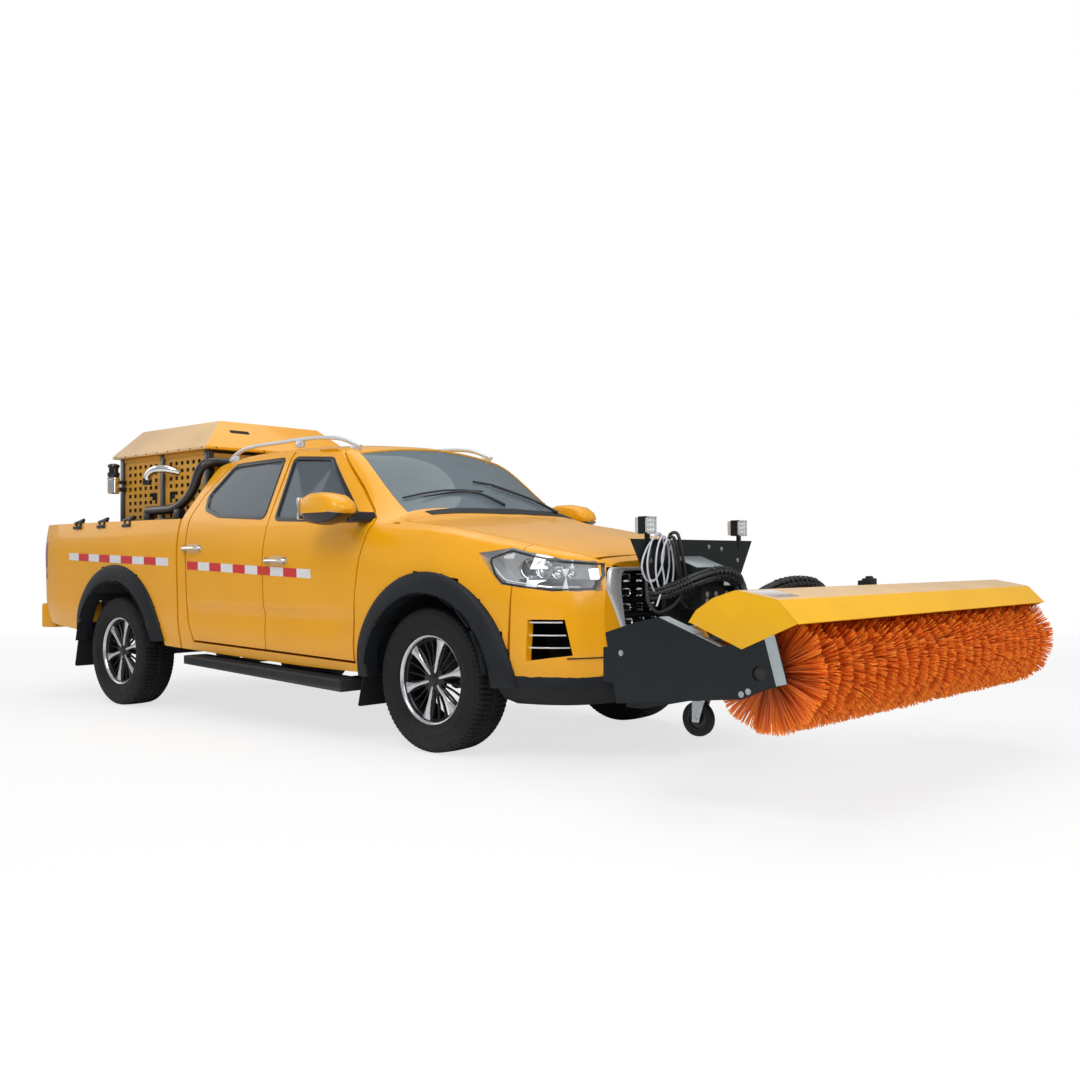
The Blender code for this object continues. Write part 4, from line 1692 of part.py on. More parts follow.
def make_hoses():
    """The hose bundle behind the cover."""
    points = [(FRONT_AXLE_X + x, y, z) for x, y, z in HOSE_POINTS]
    curve = bpy.data.curves.new("hose_bundle", "CURVE")
    curve.dimensions = "3D"
    curve.bevel_depth = HOSE_R
    curve.bevel_resolution = 2
    curve.use_fill_caps = True
    spline = curve.splines.new("POLY")
    route = smooth_route(points, 2 * HOSE_R)
    spline.points.add(len(route) - 1)
    for place, point in zip(spline.points, route):
        place.co = (*point, 1)
    item = bpy.data.objects.new("hose_bundle", curve)
    bpy.context.scene.collection.objects.link(item)
    curve.materials.append(HOSE)


def make_cable_hank():
    """The hank of pale cable that hangs on the front of the lamp panel."""
    low, high = HANK_LOW + HANK_HALF_WIDTH, HANK_HIGH - HANK_HALF_WIDTH
    outline = arc((HANK_Y, high), HANK_HALF_WIDTH, 0, 180, 6) + arc((HANK_Y, low), HANK_HALF_WIDTH, 180,
                                                            360, 6)
    start = PANEL_X + PANEL_THICKNESS + GAP
    hank = prism("cable_hank", outline, start, start + HANK_DEPTH, "X")
    tidy(hank, CABLE)


def main():
    make_cab()
    make_glass()
    make_doors()
    make_hood()
    make_fenders()
    make_headlamps()
    make_fascia()
    make_grille()
    make_bed()
    make_tailgate()
    make_rear_bumper()
    make_chassis()
    make_engine()
    make_knuckles()
    make_rear_axle()
    make_wheels()
    make_dashboard()
    make_seats()
    make_roof_rails()
    make_sport_bar()
    make_power_pack()
    make_pack_hood()
    make_mount()
    make_lift_arm()
    make_head()
    make_cover()
    make_rotor()
    make_casters()
    make_lift_cylinder()
    make_hoses()
    make_cable_hank()


clear_scene()
main()
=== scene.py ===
"""Looks of the pickup with its front rotary snow brush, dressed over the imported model.

Metres, +X forward, +Y to the left, +Z up, with the origin on the ground under the whole machine.
"""
import random
import bpy
import bmesh
import numpy as np
from math import asin, cos, pi, radians, sin
from mathutils import Matrix, Vector


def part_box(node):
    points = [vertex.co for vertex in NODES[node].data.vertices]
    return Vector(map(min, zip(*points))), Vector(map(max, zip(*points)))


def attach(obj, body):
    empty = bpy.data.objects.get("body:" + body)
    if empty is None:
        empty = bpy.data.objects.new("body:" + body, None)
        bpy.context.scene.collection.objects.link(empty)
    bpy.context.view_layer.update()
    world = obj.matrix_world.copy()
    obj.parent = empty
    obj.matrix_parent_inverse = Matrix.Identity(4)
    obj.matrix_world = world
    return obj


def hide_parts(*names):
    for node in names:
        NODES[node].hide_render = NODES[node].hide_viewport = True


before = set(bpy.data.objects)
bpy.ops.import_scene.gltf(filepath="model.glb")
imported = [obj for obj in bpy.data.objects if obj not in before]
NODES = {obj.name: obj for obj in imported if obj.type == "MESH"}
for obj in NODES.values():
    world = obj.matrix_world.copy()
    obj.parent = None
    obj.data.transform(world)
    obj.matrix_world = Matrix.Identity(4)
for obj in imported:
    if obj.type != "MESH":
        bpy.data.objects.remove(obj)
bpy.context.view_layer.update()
random.seed(11)

# Truck dimensions, as in the part
WHEELBASE = 3.155
TRACK = 1.58
HALF_WIDTH = 0.93
ROOF_Z = 1.75
FRONT_AXLE_X = 0.9925
REAR_AXLE_X = FRONT_AXLE_X - WHEELBASE
TYRE_R = 0.378
TYRE_WIDTH = 0.25
RIM_R = 0.229
RIM_WIDTH = 0.20
NOSE_share = -0.285
CAB_REAR_share = 0.745
BED_FRONT_share = 0.751
TAIL_share = 1.382
FRONT_ARCH_R = 0.45
REAR_ARCH_R = 0.49
FLARE_WIDTH = 0.11
FLARE_PROUD = 0.035
FLARE_SINK = 0.05
GLASS_SINK = 0.008
GLASS_THICKNESS = 0.006

SIDE_WIDTH_shares = ((-0.285, 0.62), (-0.266, 0.775), (-0.238, 0.87), (-0.19, 0.94), (-0.095, 0.985),
                     (0, 1), (1, 1), (1.27, 0.985), (1.35, 0.955), (1.382, 0.91))
BELT_WIDTH_shares = ((-0.285, 0.55), (-0.266, 0.66), (-0.238, 0.75), (-0.19, 0.83), (-0.095, 0.885),
                     (0, 0.91), (0.095, 0.93), (0.19, 0.945), (1, 0.965), (1.27, 0.95), (1.382, 0.88))
SILL_HEIGHT_shares = ((-0.285, 0.245), (-0.15, 0.235), (0.17, 0.22), (0.745, 0.248),
                      (1.17, 0.285), (1.382, 0.315))
BELT_HEIGHT_shares = ((-0.285, 0.553), (-0.238, 0.58), (-0.19, 0.6), (-0.095, 0.63), (0, 0.655),
                      (0.095, 0.667), (0.16, 0.675), (0.58, 0.715), (0.745, 0.73), (1.382, 0.734))
CORNER_WIDTH_shares = ((-0.285, 0.5), (-0.238, 0.667), (-0.095, 0.81), (0, 0.84), (0.095, 0.83),
                       (0.124, 0.8), (0.291, 0.686), (0.38, 0.665), (0.507, 0.663), (0.745, 0.645))
CORNER_HEIGHT_shares = ((-0.285, 0.562), (-0.238, 0.592), (-0.095, 0.645), (0, 0.673), (0.095, 0.694),
                        (0.124, 0.707), (0.291, 0.931), (0.333, 0.955), (0.507, 0.966),
                        (0.634, 0.963), (0.745, 0.943))
CROWN_HEIGHT_shares = ((-0.285, 0.571), (-0.254, 0.598), (-0.19, 0.631), (-0.095, 0.668), (0, 0.7),
                       (0.038, 0.713), (0.143, 0.829), (0.27, 0.963), (0.317, 0.978),
                       (0.412, 0.994), (0.507, 1), (0.634, 0.994), (0.745, 0.977))
FLANK_shares = ((0, 0.955), (0.25, 0.987), (0.55, 0.99), (1, 1))
SHOULDER_DROP_share = 0.12
CROWN_PLAN_shares = (0.8, 0.45)
FRONT_WINDOW_shares = ((0.200, 0.700), (0.342, 0.915), (0.461, 0.930), (0.428, 0.716))
REAR_WINDOW_shares = ((0.4690, 0.723), (0.498, 0.931), (0.667, 0.925), (0.697, 0.817),
                      (0.675, 0.765), (0.618, 0.737))
SURFACE_ROWS = 300
MERGE = 1e-6
SEAM_MERGE = 1e-7
NODE_MERGE = 1e-5
TINY = 1e-12
FLAT_ANGLE = 0.002
SOFT_FLAT_ANGLE = 0.02
FACING_share = 0.72
CELL = 0.055
SNAP = 0.022

# Camera, fitted to the photograph
EYE = (5.3685, -4.99, 0.990)
YAW, PITCH, ROLL = radians(41.39), radians(1.05), radians(-0.27)
SENSOR = 36
FOCAL = 38.41


def at(place_share):
    """X of a place given behind the front axle as a share of the wheelbase."""
    return FRONT_AXLE_X - place_share * WHEELBASE


def guide(shares, place_share):
    """A smooth curve through the given shares that never overshoots them."""
    places = [row[0] for row in shares]
    values = [row[1] for row in shares]
    place_share = min(max(place_share, places[0]), places[-1])
    slopes = [(values[i + 1] - values[i]) / (places[i + 1] - places[i]) for i in range(len(places) - 1)]
    ends = [slopes[0]]
    for before, after in zip(slopes, slopes[1:]):
        ends.append(0 if before * after <= 0 else 2 * before * after / (before + after))
    ends.append(slopes[-1])
    index = min(int(np.searchsorted(places, place_share, side="right")) - 1, len(slopes) - 1)
    width = places[index + 1] - places[index]
    t = (place_share - places[index]) / width
    return ((1 + 2 * t) * (1 - t) ** 2 * values[index] + t * (1 - t) ** 2 * width * ends[index]
            + t * t * (3 - 2 * t) * values[index + 1] + t * t * (t - 1) * width * ends[index + 1])


# Nodes of a material

def shader(name):
    """A new material with its nodes, and a function that adds one."""
    item = bpy.data.materials.new(name)
    item.use_nodes = True
    tree = item.node_tree

    def add(kind, **values):
        node = tree.nodes.new(kind)
        for key, value in values.items():
            if key in node.inputs.keys():
                node.inputs[key].default_value = value
            else:
                setattr(node, key, value)
        return node
    return item, tree, tree.nodes["Principled BSDF"], add


def ramp(add, tree, source, stops):
    """A colour ramp over a value."""
    node = add("ShaderNodeValToRGB")
    tree.links.new(source, node.inputs["Fac"])
    elements = node.color_ramp.elements
    while len(elements) < len(stops):
        elements.new(0.5)
    for element, (place, colour) in zip(elements, stops):
        element.position = place
        element.color = (*colour, 1)
    return node.outputs["Color"]


def shade(colour, factor):
    return tuple(min(1, c * factor) for c in colour)


def surface(name, colour, roughness, metallic=0.0, vary=0.12, scale=9.0, grain=420.0, bump=0.03,
            spread=0.08, coat=0.0, ground_colour=None, stretch=(1, 1, 1), ground_colour_low=0.0, ground_colour_high=0.55, wave=None,
            gleam=0.5):
    """Colour clouds, uneven gloss and a fine grain, with a second colour towards the ground where it is
    asked.
    """
    item, tree, shader_node, add = shader(name)
    link = tree.links.new
    place = add("ShaderNodeTexCoord").outputs["Object"]
    mapping = add("ShaderNodeMapping")
    mapping.inputs["Scale"].default_value = stretch
    link(place, mapping.inputs["Vector"])
    clouds = add("ShaderNodeTexNoise", Scale=scale, Detail=5.0, Roughness=0.6)
    fine = add("ShaderNodeTexNoise", Scale=grain, Detail=3.0, Roughness=0.55)
    for node in (clouds, fine):
        link(mapping.outputs["Vector"], node.inputs["Vector"])
    mixed = ramp(add, tree, clouds.outputs["Fac"], [(0.28, shade(colour, 1 - vary)),
                                                    (0.72, shade(colour, 1 + vary))])
    if ground_colour:
        split = add("ShaderNodeSeparateXYZ")
        link(place, split.inputs["Vector"])
        height = add("ShaderNodeMapRange")
        link(split.outputs["Z"], height.inputs["Value"])
        height.inputs["From Min"].default_value = ground_colour_high
        height.inputs["From Max"].default_value = ground_colour_low
        product = add("ShaderNodeMath", operation="MULTIPLY")
        link(height.outputs["Result"], product.inputs[0])
        link(clouds.outputs["Fac"], product.inputs[1])
        mix = add("ShaderNodeMix", data_type="RGBA")
        link(product.outputs[0], mix.inputs["Factor"])
        link(mixed, mix.inputs["A"])
        mix.inputs["B"].default_value = (*ground_colour, 1)
        mixed = mix.outputs["Result"]
    link(mixed, shader_node.inputs["Base Color"])
    gloss = add("ShaderNodeMapRange")
    link(clouds.outputs["Fac"], gloss.inputs["Value"])
    gloss.inputs["To Min"].default_value = max(0.02, roughness - spread)
    gloss.inputs["To Max"].default_value = min(1, roughness + spread)
    link(gloss.outputs["Result"], shader_node.inputs["Roughness"])
    relief = add("ShaderNodeBump", Strength=min(1, bump * 10), Distance=bump * 0.01)
    height_source = fine.outputs["Fac"]
    if wave:
        bands = add("ShaderNodeTexWave", Scale=wave, Distortion=0.6)
        link(mapping.outputs["Vector"], bands.inputs["Vector"])
        both = add("ShaderNodeMath", operation="ADD")
        link(bands.outputs["Fac"], both.inputs[0])
        link(fine.outputs["Fac"], both.inputs[1])
        height_source = both.outputs[0]
    link(height_source, relief.inputs["Height"])
    link(relief.outputs["Normal"], shader_node.inputs["Normal"])
    shader_node.inputs["Metallic"].default_value = metallic
    shader_node.inputs["Specular IOR Level"].default_value = gleam
    if coat:
        shader_node.inputs["Coat Weight"].default_value = coat
        shader_node.inputs["Coat Roughness"].default_value = 0.04
    return item


def clear(name, colour, roughness=0.02, ior=1.45, tint=0.5):
    """Clear glass or lens: part tinted see-through, part shining, with faint streaks."""
    item, tree, shader_node, add = shader(name)
    link = tree.links.new
    place = add("ShaderNodeTexCoord").outputs["Object"]
    clouds = add("ShaderNodeTexNoise", Scale=6.0, Detail=4.0)
    link(place, clouds.inputs["Vector"])
    gloss = add("ShaderNodeMapRange")
    link(clouds.outputs["Fac"], gloss.inputs["Value"])
    gloss.inputs["To Min"].default_value = roughness
    gloss.inputs["To Max"].default_value = roughness * 2.5
    link(gloss.outputs["Result"], shader_node.inputs["Roughness"])
    mixed = ramp(add, tree, clouds.outputs["Fac"], [(0.3, shade(colour, 0.92)), (0.7, colour)])
    link(mixed, shader_node.inputs["Base Color"])
    shader_node.inputs["IOR"].default_value = ior
    see = add("ShaderNodeBsdfTransparent")
    see.inputs["Color"].default_value = (*shade(colour, 1.0), 1)
    mix = add("ShaderNodeMixShader")
    mix.inputs["Fac"].default_value = 1 - tint
    out = tree.nodes["Material Output"]
    link(shader_node.outputs["BSDF"], mix.inputs[1])
    link(see.outputs["BSDF"], mix.inputs[2])
    link(mix.outputs["Shader"], out.inputs["Surface"])
    return item


DUST = (0.12, 0.11, 0.095)
# The paint turns a darker, browner yellow in patches towards the ground, below half a metre.
PAINT = surface("yellow paint", (0.84, 0.375, 0.004), 0.30, gleam=0.35, vary=0.035, scale=2.2, grain=900,
                bump=0.004,
                spread=0.03, coat=0.25, ground_colour=(0.62, 0.33, 0.05), ground_colour_high=0.5)
IMPLEMENT = surface("implement yellow", (0.83, 0.43, 0.003), 0.5, gleam=0.3, vary=0.06, scale=3.0, grain=600,
                    bump=0.01, coat=0.1)
# Paler yellow for painted light and shade: a painted highlight on the cover's upward facets, painted light on
# the lid's side faces and painted shade in the handle cups.
LIGHT_AND_SHADE_YELLOW = surface("yellow of painted light and shade", (0.76, 0.50, 0.24), 0.42, vary=0.10, scale=3.0, grain=700,
                    bump=0.01, coat=0.2)
PACK_YELLOW = surface("pack yellow paint", (0.66, 0.32, 0.020), 0.5, vary=0.10, scale=4.0, grain=700,
                      bump=0.01)
PLASTIC = surface("textured black plastic", (0.011, 0.013, 0.016), 0.55, gleam=0.25, vary=0.22, grain=1500,
                  bump=0.05,
                  ground_colour=DUST, ground_colour_high=0.4)
SMOOTH_BLACK = surface("smooth black plastic", (0.012, 0.012, 0.014), 0.22, vary=0.2, grain=700, bump=0.008)
BLACK_TUBE = surface("black powder coat", (0.014, 0.014, 0.016), 0.35, vary=0.2, grain=1100, bump=0.03,
                     coat=0.3)
BLACK_STEEL = surface("black chassis steel", (0.018, 0.018, 0.019), 0.55, metallic=0.3, vary=0.35, scale=14,
                      bump=0.06, ground_colour=DUST, ground_colour_high=0.7)
DARK_PAINT = surface("dark blue-grey paint", (0.005, 0.009, 0.011), 0.5, gleam=0.25, vary=0.16, scale=5,
                     grain=500, bump=0.02,
                     coat=0.12)
GREY_PLATE = surface("pale grey plate", (0.40, 0.45, 0.47), 0.34, metallic=0.5, vary=0.1, scale=7, bump=0.02)
RUBBER = surface("tyre rubber", (0.011, 0.012, 0.013), 0.72, gleam=0.25, vary=0.3, scale=20, grain=600,
                 bump=0.06,
                 ground_colour=(0.05, 0.048, 0.044), ground_colour_high=0.2)
SILVER = surface("machined alloy", (0.62, 0.63, 0.65), 0.26, metallic=0.9, vary=0.05, scale=30, grain=900,
                 bump=0.01)
DARK_ALLOY = surface("black alloy", (0.018, 0.018, 0.020), 0.3, metallic=0.4, vary=0.3, scale=22, bump=0.02)
SATIN_SILVER = surface("satin silver", (0.70, 0.72, 0.74), 0.32, metallic=0.55, vary=0.06, scale=20,
                       bump=0.01,
                       stretch=(0.2, 3, 3))
CHROME = surface("chrome", (0.80, 0.81, 0.83), 0.07, metallic=1.0, vary=0.05, scale=10, grain=300, bump=0.002,
                 spread=0.03)
GALVANISED = surface("galvanised steel", (0.45, 0.47, 0.49), 0.38, metallic=0.8, vary=0.22, scale=60,
                     grain=90, bump=0.02)
HOSE = surface("hose rubber", (0.017, 0.017, 0.018), 0.42, vary=0.25, scale=35, grain=500, bump=0.05)
WRAP = surface("hose sleeve", (0.03, 0.03, 0.032), 0.35, vary=0.3, scale=60, grain=800, bump=0.05)
CABLE = surface("pale cable", (0.62, 0.64, 0.70), 0.35, vary=0.08, scale=40, grain=900, bump=0.01)
FABRIC = surface("seat fabric", (0.030, 0.031, 0.037), 0.85, vary=0.3, scale=30, grain=1600, bump=0.12)
TRIM = surface("interior trim", (0.055, 0.056, 0.06), 0.6, vary=0.15, scale=12, grain=1300, bump=0.05)
HEADLINER = surface("pale headliner", (0.34, 0.33, 0.31), 0.85, vary=0.1, scale=12, grain=1300, bump=0.05)
RED_TAPE = surface("red reflective tape", (0.62, 0.025, 0.03), 0.3, vary=0.1, scale=40, grain=1400, bump=0.03)
WHITE_TAPE = surface("white reflective tape", (0.74, 0.73, 0.74), 0.3, vary=0.06, scale=40, grain=1400,
                     bump=0.03)
# Near-black painted shade, standing in for the space behind the grille, the inside of the power pack and the
# lid's hand slot; the pack's skids share it.
PAINTED_SHADE_BLACK = surface("dark recess", (0.010, 0.009, 0.007), 0.8, vary=0.2, bump=0.02)
CARPET = surface("floor carpet", (0.03, 0.03, 0.032), 0.95, vary=0.3, scale=50, grain=900, bump=0.2)
GLASS = clear("tinted side glass", (0.16, 0.20, 0.23), 0.015, 1.5, 0.55)
# The windshield's pale blue-grey opaque share is a painted reflection of the sky over the glass's faint tint.
SHIELD_GLASS = clear("windshield glass", (0.34, 0.42, 0.46), 0.012, 1.5, 0.42)
LENS = clear("lamp lens", (0.94, 0.96, 0.98), 0.01, 1.45, 0.10)
RED_LENS = surface("red lens", (0.42, 0.008, 0.010), 0.08, vary=0.2, scale=60, grain=250, bump=0.08, coat=1.0,
                   wave=60)
AMBER = surface("amber lens", (0.75, 0.26, 0.02), 0.1, vary=0.1, scale=60, bump=0.02, coat=1.0)
LED = surface("lamp chips", (0.95, 0.93, 0.84), 0.2, vary=0.1, scale=100, bump=0.02)


def bristle_material():
    """Orange filament, darker towards the roots as painted shade, with uneven strands."""
    item, tree, shader_node, add = shader("orange bristle")
    link = tree.links.new
    tone_and_shade = add("ShaderNodeAttribute", attribute_name="tone_and_shade")
    # The ramp's dark end is painted shade, reached at the roots and between the wafers.
    colours = ramp(add, tree, tone_and_shade.outputs["Fac"], [(0.0, (0.16, 0.022, 0.002)), (0.35, (0.66, 0.105, 0.006)),
                                                     (0.7, (1.0, 0.24, 0.012)), (1.0, (1.0, 0.38, 0.04))])
    link(colours, shader_node.inputs["Base Color"])
    place = add("ShaderNodeTexCoord").outputs["Object"]
    strands = add("ShaderNodeTexNoise", Scale=600.0, Detail=2.0)
    link(place, strands.inputs["Vector"])
    relief = add("ShaderNodeBump", Strength=0.4, Distance=0.001)
    link(strands.outputs["Fac"], relief.inputs["Height"])
    link(relief.outputs["Normal"], shader_node.inputs["Normal"])
    shader_node.inputs["Roughness"].default_value = 0.6
    return item


BRISTLE = bristle_material()


def place(item, body, *nodes):
    """Put a finished piece on its body, in place of CAD nodes where it stands for them."""
    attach(item, body)
    if nodes:
        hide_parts(*nodes)
    return item


def camera():
    """The photograph's viewpoint: level, to the right of the nose."""
    ahead = Vector((-sin(YAW) * cos(PITCH), cos(YAW) * cos(PITCH), sin(PITCH)))
    level = Vector((cos(YAW), sin(YAW), 0))
    upright = level.cross(ahead)
    right = level * cos(ROLL) + upright * sin(ROLL)
    up = -level * sin(ROLL) + upright * cos(ROLL)
    data = bpy.data.cameras.new("view")
    data.sensor_width = SENSOR
    data.lens = FOCAL
    item = bpy.data.objects.new("view", data)
    item.matrix_world = Matrix.Translation(EYE) @ Matrix((right, up, -ahead)).transposed().to_4x4()
    bpy.context.scene.collection.objects.link(item)
    bpy.context.scene.camera = item


camera()


# Mesh helpers

def new_object(name, mesh, *materials):
    item = bpy.data.objects.new(name, mesh)
    bpy.context.scene.collection.objects.link(item)
    for material in materials:
        mesh.materials.append(material)
    return item


def from_bmesh(name, shape, *materials, smooth=None):
    """A mesh object; smooth is the angle in degrees under which edges shade smooth."""
    bmesh.ops.recalc_face_normals(shape, faces=shape.faces)
    mesh = bpy.data.meshes.new(name)
    shape.to_mesh(mesh)
    shape.free()
    if smooth:
        mesh.shade_smooth()
        mesh.set_sharp_from_angle(angle=radians(smooth))
    return new_object(name, mesh, *materials)


def grid_faces(shape, rows, wrap=False, caps=False):
    """Quads between rows of points; the rows themselves close on wrap."""
    made = [[shape.verts.new(point) for point in row] for row in rows]
    count = len(made[0])
    for first, second in zip(made, made[1:]):
        for i in range(count if wrap else count - 1):
            j = (i + 1) % count
            shape.faces.new((first[i], first[j], second[j], second[i]))
    if caps:
        shape.faces.new(made[0])
        shape.faces.new(made[-1])
    return made


def loft(name, rings, *materials, smooth=40, shape=None):
    """A closed solid through rings that have the same number of points."""
    own = shape is None
    shape = shape or bmesh.new()
    grid_faces(shape, rings, wrap=True, caps=True)
    return from_bmesh(name, shape, *materials, smooth=smooth) if own else None


def prism_rings(outline, low, high, axis):
    def spot(a, b, place):
        return {"Y": (a, place, b), "Z": (a, b, place), "X": (place, a, b)}[axis]
    return [[spot(a, b, place) for a, b in outline] for place in (low, high)]


def prism(name, outline, low, high, axis, *materials, bevel=0.0, smooth=35):
    """An outline extruded between two places on an axis, with rounded edges where asked."""
    shape = bmesh.new()
    grid_faces(shape, prism_rings(outline, low, high, axis), wrap=True, caps=True)
    round_edges(shape, bevel)
    return from_bmesh(name, shape, *materials, smooth=smooth)


def round_edges(shape, bevel, segments=2, angle=0.5):
    if bevel:
        bmesh.ops.recalc_face_normals(shape, faces=shape.faces)
        edges = [e for e in shape.edges if len(e.link_faces) == 2 and e.calc_face_angle(0) > angle]
        bmesh.ops.bevel(shape, geom=edges, offset=bevel, segments=segments, profile=0.5, affect="EDGES",
                        clamp_overlap=True)


def box_into(shape, low, high):
    (x0, y0, z0), (x1, y1, z1) = low, high
    ring = ((x0, y0), (x1, y0), (x1, y1), (x0, y1))
    grid_faces(shape, prism_rings(ring, z0, z1, "Z"), wrap=True, caps=True)


def boxes(name, pairs, *materials, bevel=0.0):
    """Several rounded blocks as one piece."""
    shape = bmesh.new()
    for low, high in pairs:
        box_into(shape, low, high)
    round_edges(shape, bevel)
    return from_bmesh(name, shape, *materials, smooth=35)


def turn_point(centre, axis, along, radius, angle):
    a, b = radius * cos(angle), radius * sin(angle)
    offset = {"X": (along, a, b), "Y": (a, along, b), "Z": (a, b, along)}[axis]
    return Vector(centre) + Vector(offset)


def lathe_into(shape, profile, centre, axis="Y", sides=48, closed=True):
    rows = []
    for step in range(sides):
        turn = 2 * pi * step / sides
        rows.append([shape.verts.new(turn_point(centre, axis, along, radius, turn)) for along,
                     radius in profile])
    count = len(profile)
    for step in range(sides):
        first, second = rows[step], rows[(step + 1) % sides]
        for i in range(count if closed else count - 1):
            j = (i + 1) % count
            shape.faces.new((first[i], first[j], second[j], second[i]))
    bmesh.ops.remove_doubles(shape, verts=shape.verts, dist=MERGE)


def lathe(name, profile, centre, axis, *materials, sides=48, smooth=35, closed=True):
    shape = bmesh.new()
    lathe_into(shape, profile, centre, axis, sides, closed)
    return from_bmesh(name, shape, *materials, smooth=smooth)


def smooth_route(points, steps=8):
    """Places along a Catmull-Rom curve through the route's points."""
    route = []
    ends = [points[0]] + list(points) + [points[-1]]
    for i in range(len(points) - 1):
        p0, p1, p2, p3 = (Vector(ends[i + k]) for k in range(4))
        for step in range(steps):
            t = step / steps
            route.append(0.5 * (2 * p1 + (p2 - p0) * t + (2 * p0 - 5 * p1 + 4 * p2 - p3) * t * t
                                + (3 * p1 - p0 - 3 * p2 + p3) * t ** 3))
    route.append(Vector(points[-1]))
    return route


def tube_into(shape, path, radius, sides=10, closed=False, flat=1.0):
    """A round bar along points, with its rings turned with the path."""
    path = [Vector(p) for p in path]
    count = len(path)
    rows = []
    side = None
    for i, point in enumerate(path):
        before = path[i - 1] if i or closed else path[i]
        after = path[(i + 1) % count] if i < count - 1 or closed else path[i]
        heading = (after - before).normalized()
        if side is None:
            side = heading.cross(Vector((0, 0, 1)))
            if side.length < 0.1:
                side = heading.cross(Vector((0, 1, 0)))
        side = (side - heading * side.dot(heading)).normalized()
        up = heading.cross(side)
        r = radius(i / (count - 1)) if callable(radius) else radius
        rows.append([point + (side * cos(2 * pi * s / sides) + up * sin(2 * pi * s / sides) * flat) * r
                     for s in range(sides)])
    if closed:
        rows.append(rows[0])
    made = grid_faces(shape, rows, wrap=True, caps=not closed)
    if closed:
        bmesh.ops.remove_doubles(shape, verts=made[0] + made[-1], dist=SEAM_MERGE)


def tube(name, path, radius, *materials, sides=12, closed=False, smooth=50, flat=1.0):
    shape = bmesh.new()
    tube_into(shape, path, radius, sides, closed, flat)
    return from_bmesh(name, shape, *materials, smooth=smooth)


def curve(name, points, radius, material, resolution=3):
    """A round cord along given points, as one open smooth spline."""
    data = bpy.data.curves.new(name, "CURVE")
    data.dimensions = "3D"
    data.bevel_depth = radius
    data.bevel_resolution = resolution
    data.use_fill_caps = True
    spline = data.splines.new("POLY")
    spline.points.add(len(points) - 1)
    for spot, point in zip(spline.points, points):
        spot.co = (*point, 1)
    spline.use_smooth = True
    item = bpy.data.objects.new(name, data)
    bpy.context.scene.collection.objects.link(item)
    data.materials.append(material)
    return item


def mirrored(item, name):
    """The same piece on the left of the machine."""
    twin = item.copy()
    twin.data = item.data.copy()
    twin.name = name
    twin.data.name = name
    bpy.context.scene.collection.objects.link(twin)
    twin.data.transform(Matrix.Diagonal((1, -1, 1, 1)))
    twin.data.flip_normals()
    return twin


def both(item, *nodes, slot_body="root"):
    """Place a right-hand piece and its mirror; a body or node named for the right gets its left one."""
    twin = mirrored(item, item.name.replace("right", "left"))
    place(item, slot_body, *nodes)
    place(twin, slot_body.replace("right", "left"), *[node.replace("right", "left") for node in nodes])
    return item, twin


def outline_of(shares):
    return [(at(place_share), height * ROOF_Z) for place_share, height in shares]


def grown(outline, distance):
    """An outline moved outwards by a distance, or inwards by a negative one."""
    area = sum(a[0] * b[1] - b[0] * a[1] for a, b in zip(outline, outline[1:] + outline[:1]))
    sign = 1 if area > 0 else -1
    result = []
    count = len(outline)
    for i in range(count):
        before, point, after = (Vector(outline[j % count]) for j in (i - 1, i, i + 1))
        into, out = (point - before).normalized(), (after - point).normalized()
        normal_in = Vector((into.y, -into.x)) * sign
        middle = (normal_in + Vector((out.y, -out.x)) * sign).normalized()
        result.append(tuple(point + middle * distance / max(0.35, middle.dot(normal_in))))
    return result


def rounded(outline, radius, steps=4):
    """An outline with its corners cut to arcs."""
    result = []
    count = len(outline)
    for i in range(count):
        before, point, after = (Vector(outline[j % count]) for j in (i - 1, i, i + 1))
        reach = min(radius, 0.45 * (before - point).length, 0.45 * (after - point).length)
        first = point + (before - point).normalized() * reach
        last = point + (after - point).normalized() * reach
        for step in range(steps + 1):
            t = step / steps
            result.append(tuple(first * (1 - t) ** 2 + point * 2 * t * (1 - t) + last * t * t))
    return result


# Body surface

def half_section(share, with_top=True):
    """Sill to shoulder, belt, glass plane, roof edge and crown."""
    width = guide(SIDE_WIDTH_shares, share) * HALF_WIDTH
    sill = guide(SILL_HEIGHT_shares, share) * ROOF_Z
    belt = guide(BELT_HEIGHT_shares, share) * ROOF_Z
    shoulder = belt - SHOULDER_DROP_share * ROOF_Z
    belt_width = guide(BELT_WIDTH_shares, share) * HALF_WIDTH
    points = [(width * w, sill + (shoulder - sill) * h) for h, w in FLANK_shares]
    points += [((2 * width + belt_width) / 3, (shoulder + belt) / 2), (belt_width, belt)]
    if with_top:
        corner = Vector((guide(CORNER_WIDTH_shares, share) * HALF_WIDTH,
                         guide(CORNER_HEIGHT_shares, share) * ROOF_Z))
        crown = guide(CROWN_HEIGHT_shares, share) * ROOF_Z
        points += [tuple(Vector(points[-1]).lerp(corner, 0.5)), tuple(corner)]
        points += [(corner.x * s, corner.y + (crown - corner.y) * (1 - s ** 2)) for s in CROWN_PLAN_shares]
        points += [(0, crown)]
    return points


HOLLOW = 0.016
HOLLOW_WINDOW_shares = ((0.17, 0), (0.26, 1), (0.66, 1), (0.735, 0))
HOLLOW_HEIGHT_shares = ((0.27, 0), (0.33, 0.55), (0.397, 1), (0.410, 0))


def hollow(share, z):
    """How far the lower door panels are pressed in under their crease."""
    return HOLLOW * guide(HOLLOW_WINDOW_shares, share) * guide(HOLLOW_HEIGHT_shares, z / ROOF_Z)


CORNER_REACH_shares = (0, 0.45, 0.45, 0.45, 0.45, 0.30, 0.30, 0.42, 0.45, 0.45, 0)


